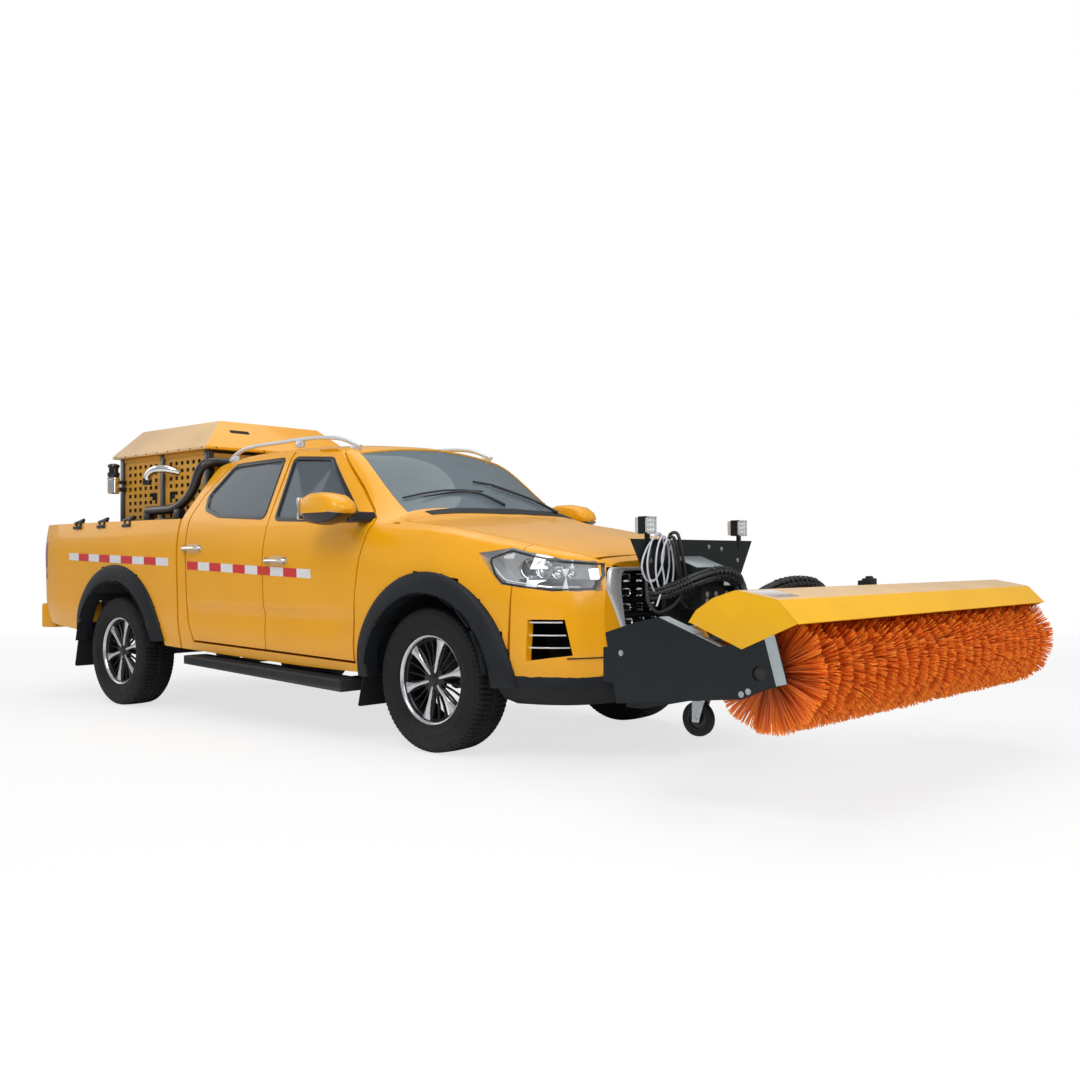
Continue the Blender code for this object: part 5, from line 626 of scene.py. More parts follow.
def fine_section(share, with_top=True, steps=8):
    points = [Vector(p) for p in half_section(share, with_top)]
    result = [points[0]]
    for i in range(1, len(points) - 1):
        before, point, after = points[i - 1:i + 2]
        reach = CORNER_REACH_shares[i]
        first, last = point.lerp(before, reach), point.lerp(after, reach)
        for step in range(steps + 1):
            t = step / steps
            result.append(first * (1 - t) ** 2 + point * 2 * t * (1 - t) + last * t * t)
    result.append(points[-1])
    return [(p.x - hollow(share, p.y), p.y) for p in result]


class Surface:
    """The body's smooth outside as a table of half sections, with the nearest point and its normal."""

    def __init__(self, first, last, with_top):
        shares = np.linspace(first, last, SURFACE_ROWS)
        self.x = np.array([at(s) for s in shares])
        self.rows = np.array([fine_section(s, with_top) for s in shares])
        along = np.gradient(self.rows, self.x, axis=0)
        around = np.gradient(self.rows, axis=1)
        lead = np.concatenate([np.ones(along.shape[:2] + (1,)), along], axis=2)
        turn = np.concatenate([np.zeros(around.shape[:2] + (1,)), around], axis=2)
        normal = np.cross(lead, turn)
        normal *= np.sign(normal[..., 1:2] + normal[..., 2:3] + TINY)
        self.normals = normal / np.linalg.norm(normal, axis=2, keepdims=True)

    def nearest(self, points):
        """For each point: the surface point in its own cross-section, the normal and the depth under it."""
        points = np.asarray(points, float)
        spots, normals, depths = [], [], []
        for start in range(0, len(points), 4000):
            chunk = points[start:start + 4000]
            place_x = np.clip((chunk[:, 0] - self.x[0]) / (self.x[-1] - self.x[0]), 0, 1) * (len(self.x) - 1)
            index = np.minimum(place_x.astype(int), len(self.x) - 2)
            part = (place_x - index)[:, None, None]
            rows = self.rows[index] * (1 - part) + self.rows[index + 1] * part
            slopes = self.normals[index] * (1 - part) + self.normals[index + 1] * part
            target = np.stack([np.abs(chunk[:, 1]), chunk[:, 2]], axis=1)[:, None, :]
            begin, run = rows[:, :-1], rows[:, 1:] - rows[:, :-1]
            length = np.maximum((run ** 2).sum(2), TINY)
            t = np.clip(((target - begin) * run).sum(2) / length, 0, 1)
            near = begin + run * t[..., None]
            gap = ((target - near) ** 2).sum(2)
            best = gap.argmin(1)
            every = np.arange(len(chunk))
            spot, t_best = near[every, best], t[every, best][:, None]
            normal = slopes[every, best] * (1 - t_best) + slopes[every, best + 1] * t_best
            normal /= np.linalg.norm(normal, axis=1, keepdims=True)
            flat = normal[:, 1:] / np.maximum(np.linalg.norm(normal[:, 1:], axis=1, keepdims=True), 1e-9)
            depths.append(-((target[:, 0] - spot) * flat).sum(1))
            side = np.where(chunk[:, 1] < 0, -1, 1)
            spots.append(np.stack([chunk[:, 0], spot[:, 0] * side, spot[:, 1]], axis=1))
            normals.append(np.stack([normal[:, 0], normal[:, 1] * side, normal[:, 2]], axis=1))
        return np.concatenate(spots), np.concatenate(normals), np.concatenate(depths)

    def side(self, x, z, side=-1):
        """The point of the side wall at a place and height, and its normal."""
        y = side * HALF_WIDTH
        for _ in range(4):
            spot, normal, depth = self.nearest([(x, y, z)])
            spot, normal = spot[0], normal[0]
            lean = side * max(0.25, abs(normal[1]))
            y = spot[1] - (normal[0] * (x - spot[0]) + normal[2] * (z - spot[2])) / lean
        return Vector((x, y, z)), Vector(normal)


CAB = Surface(NOSE_share, CAB_REAR_share, True)
BED = Surface(BED_FRONT_share, TAIL_share, False)


def cells(shape, low, high, step):
    """Cut a mesh into cells no larger than a step along every axis."""
    for axis in range(3):
        normal = [0, 0, 0]
        normal[axis] = 1
        count = int((high[axis] - low[axis]) / step)
        for number in range(1, count + 1):
            spot = [0, 0, 0]
            spot[axis] = low[axis] + (high[axis] - low[axis]) * number / (count + 1)
            geometry = shape.verts[:] + shape.edges[:] + shape.faces[:]
            bmesh.ops.bisect_plane(shape, geom=geometry, dist=MERGE, plane_co=spot, plane_no=normal)


def dressed(node, table, *materials, drop=None, depths=(0.0,), step=CELL, choose=None, body="root"):
    """A copy of a CAD node whose outer skin follows the smooth surface, with that surface's normals."""
    shape = bmesh.new()
    shape.from_mesh(NODES[node].data)
    bmesh.ops.remove_doubles(shape, verts=shape.verts, dist=NODE_MERGE)
    bmesh.ops.dissolve_limit(shape, angle_limit=FLAT_ANGLE, verts=shape.verts, edges=shape.edges)
    low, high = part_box(node)
    cells(shape, low, high, step)
    bmesh.ops.recalc_face_normals(shape, faces=shape.faces)
    shape.verts.index_update()
    spots, normals, depth = table.nearest([v.co for v in shape.verts])
    if drop:
        doomed = [f for f in shape.faces if drop(f.calc_center_median(),
                                                 max(-depth[v.index] for v in f.verts))]
        bmesh.ops.delete(shape, geom=doomed, context="FACES")
        shape.verts.index_update()
        spots, normals, depth = table.nearest([v.co for v in shape.verts])
    shape.verts.index_update()
    shape.faces.index_update()
    face_sign = {}
    target = {}
    for face in shape.faces:
        mean = sum((Vector(normals[v.index]) for v in face.verts), Vector()) / len(face.verts)
        facing = face.normal.dot(mean)
        for sign, under in ((1, depths[0]),) + (((-1, depths[-1]),) if len(depths) > 1 else ()):
            if facing * sign > FACING_share and all(abs(depth[v.index] - under) < SNAP for v in face.verts):
                face_sign[face.index] = sign
                for v in face.verts:
                    target.setdefault(v.index, under)
    for v in shape.verts:
        under = target.get(v.index)
        if under is not None:
            flat = Vector((0, normals[v.index][1], normals[v.index][2])).normalized()
            v.co = Vector(spots[v.index]) - flat * under
    shape.normal_update()
    if choose:
        for face in shape.faces:
            face.material_index = choose(face.calc_center_median(), min(depth[v.index] for v in face.verts),
                                         face_sign.get(face.index, 0))
    loops = []
    for face in shape.faces:
        sign = face_sign.get(face.index, 0)
        for loop in face.loops:
            loops.append(tuple(Vector(normals[loop.vert.index]) * sign) if sign else tuple(face.normal))
    mesh = bpy.data.meshes.new(node + "_skin")
    shape.to_mesh(mesh)
    shape.free()
    for layer in [a.name for a in mesh.attributes if a.name == "custom_normal"]:
        mesh.attributes.remove(mesh.attributes[layer])
    mesh.shade_smooth()
    mesh.normals_split_custom_set(loops)
    item = new_object(node + "_skin", mesh, *materials)
    return place(item, body, node)


# Stage

WALL_R = 40
FADE = (4, 12)
FLOOR_GLOW = 0.72
AIM = (0, 0, 0.6)
LAMPS = (("key", (3.5, -6.5, 7.5), 5.0, 320), ("top", (-1.0, 1.0, 8.5), 8.0, 250),
         ("front", (8.5, -1.0, 4.0), 5.0, 190), ("rear", (-8.5, -3.0, 4.5), 5.0, 80))
SKY_STOPS = ((0.0, (0.50, 0.50, 0.49)), (0.12, (0.78, 0.79, 0.80)), (0.5, (0.95, 0.97, 1.0)),
             (1.0, (1.0, 1.0, 1.0)))
SKY_STRENGTH = 0.50


def stage():
    """Pale floor, white surroundings and soft light from above and beside."""
    bpy.context.scene.view_settings.view_transform = "Standard"
    world = bpy.data.worlds.new("sky")
    bpy.context.scene.world = world
    world.use_nodes = True
    tree = world.node_tree
    nodes, link = tree.nodes, tree.links.new
    light = nodes["Background"]
    white = nodes.new("ShaderNodeBackground")
    white.inputs["Color"].default_value = (1, 1, 1, 1)
    path = nodes.new("ShaderNodeLightPath")
    coordinates = nodes.new("ShaderNodeTexCoord")
    split = nodes.new("ShaderNodeSeparateXYZ")
    link(coordinates.outputs["Generated"], split.inputs["Vector"])
    link(ramp(nodes.new, tree, split.outputs["Z"], SKY_STOPS), light.inputs["Color"])
    light.inputs["Strength"].default_value = SKY_STRENGTH
    mix = nodes.new("ShaderNodeMixShader")
    link(path.outputs["Is Camera Ray"], mix.inputs["Fac"])
    link(light.outputs["Background"], mix.inputs[1])
    link(white.outputs["Background"], mix.inputs[2])
    link(mix.outputs["Shader"], nodes["World Output"].inputs["Surface"])
    for name, spot, size, power in LAMPS:
        data = bpy.data.lights.new(name, "AREA")
        data.shape = "DISK"
        data.size = size
        data.energy = power
        item = bpy.data.objects.new(name, data)
        item.location = spot
        item.rotation_euler = (Vector(AIM) - Vector(spot)).to_track_quat("-Z", "Y").to_euler()
        bpy.context.scene.collection.objects.link(item)
    floor, tree, shader_node, add = shader("pale floor")
    link = tree.links.new
    shader_node.inputs["Base Color"].default_value = (0.86, 0.86, 0.86, 1)
    shader_node.inputs["Roughness"].default_value = 0.9
    shader_node.inputs["Specular IOR Level"].default_value = 0.1
    clouds = add("ShaderNodeTexNoise", Scale=0.6)
    relief = add("ShaderNodeBump", Strength=0.05)
    link(clouds.outputs["Fac"], relief.inputs["Height"])
    link(relief.outputs["Normal"], shader_node.inputs["Normal"])
    glow = add("ShaderNodeEmission", Strength=1.0)
    glow.inputs["Color"].default_value = (1, 1, 1, 1)
    path = add("ShaderNodeLightPath")
    away = add("ShaderNodeVectorMath", operation="LENGTH")
    link(add("ShaderNodeTexCoord").outputs["Object"], away.inputs[0])
    fade = add("ShaderNodeMapRange")
    for key, value in (("From Min", FADE[0]), ("From Max", FADE[1]), ("To Min", FLOOR_GLOW), ("To Max", 1.0)):
        fade.inputs[key].default_value = value
    link(away.outputs["Value"], fade.inputs["Value"])
    share = add("ShaderNodeMath", operation="MULTIPLY")
    link(path.outputs["Is Camera Ray"], share.inputs[0])
    link(fade.outputs["Result"], share.inputs[1])
    mix = add("ShaderNodeMixShader")
    link(share.outputs[0], mix.inputs["Fac"])
    link(shader_node.outputs["BSDF"], mix.inputs[1])
    link(glow.outputs["Emission"], mix.inputs[2])
    link(mix.outputs["Shader"], tree.nodes["Material Output"].inputs["Surface"])
    shape = bmesh.new()
    grid_faces(shape, [[(-WALL_R, -WALL_R, 0), (WALL_R, -WALL_R, 0)],
                       [(-WALL_R, WALL_R, 0), (WALL_R, WALL_R, 0)]])
    from_bmesh("floor", shape, floor)


# Body panels

LINER_DEPTH = 0.03
DOOR_CELL = 0.03
JAMB_DEPTH = 0.05
MIRROR_PROUD = 0.012
MIRROR_ZONE_Z = 1.0
SEAL_OUT = 0.016
SEAL_IN = 0.004
SEAL_PROUD = 0.003
SEAL_CORNER = 0.028
SEAL_STEP = 0.05
CARPET_TOP_Z = 0.56
HEADLINER_Z = 1.58
SKID_TOP_Z = 0.395
VENT_BACK = 0.005


def in_arch(centre):
    """Whether a face lies round a wheel arch."""
    arches = ((FRONT_AXLE_X, FRONT_ARCH_R), (REAR_AXLE_X, REAR_ARCH_R))
    reach = min(Vector((centre.x - axle_x, centre.z - TYRE_R)).length - radius for axle_x, radius in arches)
    return reach < 0.3 * FLARE_WIDTH


def in_ring(centre, axle_x, radius):
    """Whether a place belongs to the flare that part of the node carries."""
    reach = (Vector((centre.x, centre.z)) - Vector((axle_x, TYRE_R))).length
    return radius - 0.02 * FLARE_WIDTH < reach < radius + 1.02 * FLARE_WIDTH and \
        abs(centre.y) > HALF_WIDTH - 1.05 * FLARE_SINK


def body_panels():
    """Cab, doors, hood, fenders, bumper, bed and glass on the smooth surface."""
    def cab_part(centre, depth, sign):
        if in_arch(centre):
            return 4
        if depth < JAMB_DEPTH:
            return 0
        if centre.z < CARPET_TOP_Z:
            return 3
        return 2 if centre.z > HEADLINER_Z else 1

    def door_part(centre, depth, sign):
        return 0 if sign or depth < LINER_DEPTH else 1

    dressed("cab_shell", CAB, PAINT, TRIM, HEADLINER, CARPET, PLASTIC, choose=cab_part)
    for hand in ("right", "left"):
        for end in ("front", "rear"):
            body = "door_" + end + "_" + hand
            dressed(body, CAB, PAINT, TRIM, body=body, choose=door_part, step=DOOR_CELL,
                    drop=lambda centre, proud: proud > MIRROR_PROUD and centre.z > MIRROR_ZONE_Z)
            dressed("glass_" + end + "_" + hand, CAB, GLASS, body=body,
                    depths=(GLASS_SINK, GLASS_SINK + GLASS_THICKNESS))
        dressed("fender_" + hand, CAB, PAINT, PLASTIC, choose=lambda c, depth,
                sign: int(depth > LINER_DEPTH or in_arch(c)),
                drop=lambda c, proud: in_ring(c, FRONT_AXLE_X, FRONT_ARCH_R))
    dressed("hood", CAB, PAINT, PLASTIC, body="hood", choose=lambda c, depth, sign: int(depth > LINER_DEPTH))
    dressed("front_bumper", CAB, PAINT, PLASTIC, PAINTED_SHADE_BLACK, choose=bumper_part)
    dressed("windshield", CAB, SHIELD_GLASS, depths=(GLASS_SINK, GLASS_SINK + GLASS_THICKNESS))
    dressed("bed", BED, PAINT, PLASTIC, choose=lambda c, depth, sign: int(in_arch(c) or depth > JAMB_DEPTH),
            drop=lambda c, proud: in_ring(c, REAR_AXLE_X, REAR_ARCH_R))


def bumper_part(centre, depth, sign):
    """Black skid and vent insides, yellow above."""
    if centre.z < SKID_TOP_Z or in_arch(centre) or (depth > LINER_DEPTH
                                                    and centre.x < at(NOSE_share) - VENT_BACK):
        return 1
    return 0


def on_side(table, x, z, proud, side=-1):
    spot, normal = table.side(x, z, side)
    return spot + normal * proud


def band(name, outline, profile, material, table=CAB, side=-1):
    """A strip round an outline on the body side: profile gives (distance outwards, height over the skin)."""
    shape = bmesh.new()
    rows = []
    for distance, proud in profile:
        rows.append([on_side(table, x, z, proud, side) for x, z in grown(outline, distance)])
    grid_faces(shape, rows, wrap=True)
    return from_bmesh(name, shape, material, smooth=35)


def subdivided(outline, step):
    result = []
    for first, last in zip(outline, outline[1:] + outline[:1]):
        count = max(1, round((Vector(last) - Vector(first)).length / step))
        result += [tuple(Vector(first).lerp(Vector(last), i / count)) for i in range(count)]
    return result


def pad(shape, rows, proud, sink, table=CAB, side=-1):
    """A thin plate on the body side through rows of (x, z) points, with its edges sunk in the skin."""
    top = [[on_side(table, x, z, proud, side) for x, z in row] for row in rows]
    ring = rows[0] + [row[-1] for row in rows[1:-1]] + rows[-1][::-1] + [row[0] for row in rows[-2:0:-1]]
    upper = top[0] + [row[-1] for row in top[1:-1]] + top[-1][::-1] + [row[0] for row in top[-2:0:-1]]
    lower = [on_side(table, x, z, -sink, side) for x, z in ring]
    grid_faces(shape, top)
    grid_faces(shape, [upper, lower], wrap=True)


def window_seals():
    """Black rubber and frame strips round the four side windows."""
    profile = [(SEAL_OUT + SEAL_PROUD, -SEAL_PROUD), (SEAL_OUT, SEAL_PROUD),
               (SEAL_OUT * 0.3, SEAL_PROUD * 1.4),
               (-SEAL_IN, SEAL_PROUD), (-2 * SEAL_IN, -GLASS_SINK)]
    for end, shares in (("front", FRONT_WINDOW_shares), ("rear", REAR_WINDOW_shares)):
        outline = subdivided(rounded(outline_of(shares), SEAL_CORNER), SEAL_STEP)
        seal = band("window_seal_" + end + "_right", outline, profile, SMOOTH_BLACK)
        both(seal, slot_body="door_" + end + "_right")


FLARE_PROFILE_shares = ((1.015, -0.25), (1.01, 0.10), (0.95, 0.42), (0.80, 0.62), (0.55, 0.80), (0.25, 0.98),
                        (0.08, 1.0), (0.0, 0.86), (0.0, -0.2), (0.02, -1.4))
FLARE_FOOT_Z = 0.37
REAR_FOOT_RISE = 0.1
FLARE_STEPS = 44


def flares():
    """Black arch mouldings that follow the body, with a lip at the wheel."""
    for place_name, axle_x, radius, table, foot in (("front", FRONT_AXLE_X, FRONT_ARCH_R, CAB, FLARE_FOOT_Z),
                                                    ("rear", REAR_AXLE_X, REAR_ARCH_R, BED,
                                                     FLARE_FOOT_Z + REAR_FOOT_RISE)):
        shape = bmesh.new()
        rows = []
        for step in range(FLARE_STEPS + 1):
            share = step / FLARE_STEPS
            row = []
            for across, high in FLARE_PROFILE_shares:
                r = radius + across * FLARE_WIDTH
                low = asin(max(-1, (foot - TYRE_R) / r))
                turn = low + (pi - 2 * low) * share
                x, z = axle_x + r * cos(turn), TYRE_R + r * sin(turn)
                table_x = max(table.x.min(), min(table.x.max(), x))
                spot, normal = table.side(table_x, z)
                rim = 0.6 * abs(spot.y) + 0.4 * HALF_WIDTH
                y = -(abs(spot.y) * (1 - max(0, high)) + (rim + FLARE_PROUD) * max(0, high)) if high > 0 \
                    else -abs(spot.y) - high * FLARE_PROUD
                row.append((x, y, z))
            rows.append(row)
        grid_faces(shape, rows)
        for edge in (rows[0], rows[-1]):
            shape.faces.new([shape.verts.new(p) for p in edge])
        bmesh.ops.remove_doubles(shape, verts=shape.verts, dist=NODE_MERGE)
        flare = from_bmesh("flare_" + place_name + "_right", shape, PLASTIC, smooth=38)
        both(flare)


TAPE_HEIGHT = 0.052
TAPE_PROUD = 0.0012
DOOR_TAPE_LINE = ((-2.235, 0.974), (-0.95, 0.923))
BED_TAPE_LINE = ((-3.83, 1.04), (-2.46, 0.996))
DOOR_SPLIT_shares = (0.447, 0.450)
TAPE_BLOCKS = 10


def tape_strip(name, line, blocks, first_red, table, body, limits):
    """Red and white blocks of tape between two places, kept to the panel they are on."""
    (x0, z0), (x1, z1) = line
    for colour, parity in ((RED_TAPE, first_red), (WHITE_TAPE, 1 - first_red)):
        shape = bmesh.new()
        for number in range(blocks):
            if number % 2 != parity:
                continue
            begin = max(limits[0], x0 + (x1 - x0) * number / blocks)
            end = min(limits[1], x0 + (x1 - x0) * (number + 1) / blocks)
            if end <= begin:
                continue
            columns = [begin + (end - begin) * i / 4 for i in range(5)]
            centre = [z0 + (z1 - z0) * (x - x0) / (x1 - x0) for x in columns]
            rows = [[(x, z + TAPE_HEIGHT * level) for x, z in zip(columns, centre)]
                    for level in (-0.5, 0, 0.5)]
            pad(shape, rows, TAPE_PROUD, TAPE_PROUD, table)
        strip = from_bmesh(name + ("_red" if colour is RED_TAPE else "_white") + "_right", shape, colour,
                           smooth=30)
        both(strip, slot_body=body)


def tapes():
    door = [(x + FRONT_AXLE_X, z) for x, z in DOOR_TAPE_LINE]
    bed = [(x + FRONT_AXLE_X, z) for x, z in BED_TAPE_LINE]
    front_edge, rear_edge = at(DOOR_SPLIT_shares[0]), at(DOOR_SPLIT_shares[1])
    tape_strip("tape_front_door", door, TAPE_BLOCKS, 0, CAB, "door_front_right", (front_edge, FRONT_AXLE_X))
    tape_strip("tape_rear_door", door, TAPE_BLOCKS, 0, CAB, "door_rear_right", (REAR_AXLE_X, rear_edge))
    tape_strip("tape_bed", bed, TAPE_BLOCKS - 1, 1, BED, "root", (bed[0][0], bed[1][0]))


HANDLE_HALF = 0.095
HANDLE_R = 0.018
HANDLE_PROUD = 0.026
HANDLE_SPOTS = (("rear", -2.17, 1.082), ("front", -1.275, 1.000))
CUP_HALF = 0.075
CUP_HIGH = 0.030
HANDLE_LIFT_shares = ((-1, 0.1), (-0.93, 0.6), (-0.7, 0.95), (-0.3, 1), (0.3, 1), (0.7, 0.95), (0.93, 0.6),
                      (1, 0.1))
HANDLE_END_share = 0.95
HANDLE_FOOT_shares = ((-0.6, 0), (-0.6, 1.15), (0, 1.2), (0.7, 0.7), (0.8, 0))
CUP_LEVEL_shares = (-1, -0.8, 0, 0.8, 1)
CUP_ACROSS_shares = (-1, -0.6, 0, 0.6, 1)


def handles():
    """Chrome pull handles over cups of painted shade, on each door."""
    for end, x_from, z in HANDLE_SPOTS:
        x_mid = FRONT_AXLE_X + x_from
        body = "door_" + end + "_right"
        shape = bmesh.new()
        path = [on_side(CAB, x_mid + share * HANDLE_HALF, z, HANDLE_PROUD * lift) for share,
                lift in HANDLE_LIFT_shares]
        tube_into(shape, smooth_route(path, 4), lambda s: HANDLE_R * (0.75 + 0.25 * sin(pi * s)), 10,
                  flat=0.62)
        foot = [(HANDLE_R * along, HANDLE_R * radius) for along, radius in HANDLE_FOOT_shares]
        for share in (-HANDLE_END_share, HANDLE_END_share):
            lathe_into(shape, foot, on_side(CAB, x_mid + share * HANDLE_HALF, z, 0), "Y", 14, closed=False)
        both(from_bmesh("handle_" + end + "_right", shape, CHROME, smooth=50), slot_body=body)
        # The cup is a thin pad of painted shade on the door skin.
        shape = bmesh.new()
        rows = [[(x_mid + CUP_HALF * (1 - 0.25 * abs(level) ** 2) * s, z + CUP_HIGH * level)
                 for s in CUP_ACROSS_shares]
                for level in CUP_LEVEL_shares]
        pad(shape, rows, 0.3 * TAPE_PROUD, TAPE_PROUD)
        both(from_bmesh("handle_cup_" + end + "_right", shape, LIGHT_AND_SHADE_YELLOW, smooth=50), slot_body=body)


MIRROR_BACK_share = 0.262
MIRROR_FRONT_share = 0.148
MIRROR_LOW = 1.190
MIRROR_HIGH = 1.372
MIRROR_IN_Y = 0.955
MIRROR_OUT_Y = 1.13
MIRROR_RING_shares = ((0.02, 0.30), (0, 0.62), (0.05, 0.88), (0.22, 0.99), (0.5, 1.0), (0.78, 0.90),
                      (0.95, 0.68),
                      (1.0, 0.46), (0.94, 0.24), (0.75, 0.08), (0.45, 0.0), (0.15, 0.08))
MIRROR_SECTION_shares = ((0, 0.72), (0.06, 0.86), (0.25, 0.98), (0.5, 1.0), (0.75, 0.97), (0.92, 0.84),
                         (1, 0.62))
MIRROR_ARM_shares = ((-0.11, 0.1), (0.15, 0.1), (0.12, 0.42), (-0.08, 0.42))


def mirrors():
    """Yellow shells on black bases, a silver strip between, the glass at the back and the arm."""
    back, front = at(MIRROR_BACK_share), at(MIRROR_FRONT_share)
    length, height = front - back, MIRROR_HIGH - MIRROR_LOW
    reach = MIRROR_OUT_Y - MIRROR_IN_Y

    def ring(y_share, size_share, low=0.0, high=1.0):
        points = []
        for x_share, z_share in MIRROR_RING_shares:
            z_share = min(max(z_share, low), high)
            points.append((back + length * (0.5 + (x_share - 0.5) * size_share),
                           -(MIRROR_IN_Y + reach * y_share),
                           MIRROR_LOW + height * (0.5 + (z_share - 0.5) * size_share)))
        return points
    sections = MIRROR_SECTION_shares
    pieces = [loft("mirror_shell_right", [ring(y, s, low=0.30) for y, s in sections], PAINT, smooth=60)]
    rings = [ring(y * 0.99 + 0.005, s * 0.985, high=0.31) for y, s in sections]
    pieces.append(loft("mirror_base_right", rings, SMOOTH_BLACK, smooth=60))
    rings = [ring(y * 0.97 + 0.02, s * 1.002, low=0.27, high=0.335) for y, s in sections[1:]]
    pieces.append(loft("mirror_strip_right", rings, CHROME, smooth=60))
    glass = ((back + 0.004 * length, -MIRROR_IN_Y - 0.92 * reach, MIRROR_LOW + 0.2 * height),
             (back + 0.05 * length, -MIRROR_IN_Y - 0.12 * reach, MIRROR_LOW + 0.86 * height))
    pieces.append(boxes("mirror_glass_right", [glass], CHROME, bevel=0.01 * length))
    x_mid = front - 0.3 * length
    arm = [(x_mid + ahead * length, MIRROR_LOW + up * height) for ahead, up in MIRROR_ARM_shares]
    pieces.append(prism("mirror_arm_right", arm, -MIRROR_IN_Y - 0.2 * reach, -HALF_WIDTH * 0.86, "Y",
                        SMOOTH_BLACK,
                        bevel=0.02 * length))
    for item in pieces:
        both(item, slot_body="door_front_right")


stage()
body_panels()
window_seals()
flares()
tapes()
handles()
mirrors()


# Wheels

TREAD_STEPS = 84
TYRE_SECTION_shares = ((0.400, 0.02), (0.432, 0.05), (0.440, 0.12), (0.470, 0.25), (0.486, 0.34),
                       (0.492, 0.37),
                       (0.486, 0.42), (0.486, 0.60), (0.470, 0.78), (0.458, 0.79), (0.450, 0.83),
                       (0.430, 0.915),
                       (0.400, 0.955), (0.355, 0.978), (0.285, 0.988), (0.270, 0.945), (0.235, 0.945),
                       (0.220, 0.993), (0.105, 0.999), (0.090, 0.95), (0.055, 0.95), (0.040, 1.0))
SIPE_share = 0.05
SHOULDER_share = 0.90
SPOKES = 6
HUB_R = 0.036
RIM_STEP = 0.012
FACE_share = 0.80
SPOKE_shares = ((0.155, 0.034, 0.5), (0.32, 0.040, 0.2), (0.50, 0.042, 0.15), (0.66, 0.060, 0.12),
                (0.80, 0.090, 0.10), (0.95, 0.150, 0.10))
RECESS_shares = ((0.56, 0.006), (0.68, 0.030), (0.82, 0.058), (0.90, 0.066))
LIP_shares = ((0.84, 0.945), (0.93, 0.962), (0.985, 0.985), (1.0, 1.005), (0.97, 1.03), (0.93, 1.03),
              (0.93, 0.99), (0.80, 0.955))
BARREL_shares = ((-1, 0.96), (-1, 1.0), (-0.95, 1.0), (-0.9, 0.965), (-0.5, 0.93), (0.2, 0.90), (0.72, 0.915),
                 (0.86, 0.945), (0.80, 0.945), (0.68, 0.895), (0.2, 0.88), (-0.5, 0.905), (-0.9, 0.94))
THIN_SPOKE_shares = ((0.26, 0.024, 1.0), (0.6, 0.016, 1.7), (0.93, 0.024, 1.3))
THIN_SPOKES = 24
BOLTS = 6
BOLT_CIRCLE_share = 0.27
DISC_shares = ((2.5, 0), (2.5, 0.34), (0.9, 0.32), (0.45, 0.2), (0.45, 0))
CAP_shares = ((0.5, 0), (0.5, 1), (-0.2, 0.86), (-0.35, 0.7), (-0.35, 0))
THIN_SECTION_shares = ((-1, 0.3), (-0.4, 0), (0.4, 0), (1, 0.3), (0.8, 1.4), (-0.8, 1.4))
SECTION_shares = ((-1, 0.25), (-0.8, 0), (0, -0.10), (0.8, 0), (1, 0.25), (0.85, 2.0), (-0.85, 2.0))


def tyre(name, centre):
    """Ribbed tread with cross cuts, rounded shoulders and a stepped sidewall."""
    section = [(-a, h) for a, h in TYRE_SECTION_shares] + list(TYRE_SECTION_shares)[::-1]
    height = TYRE_R - RIM_R
    count = 4 * TREAD_STEPS
    shape = bmesh.new()
    rows = []
    for step in range(count + 1):
        row = []
        for across, high in section:
            cut = high > SHOULDER_share and abs(across) > 0.1 and (step % count
                                                                   + (2 if across > 0 else 0)) % 4 == 0
            turn = 2 * pi * (step + 3 * abs(across)) / count
            row.append(turn_point(centre, "Y", across * TYRE_WIDTH,
                                  RIM_R + height * (high - SIPE_share * cut), turn))
        rows.append(row)
    grid_faces(shape, rows, wrap=True)
    bmesh.ops.remove_doubles(shape, verts=shape.verts, dist=MERGE)
    return from_bmesh(name, shape, RUBBER, smooth=24)


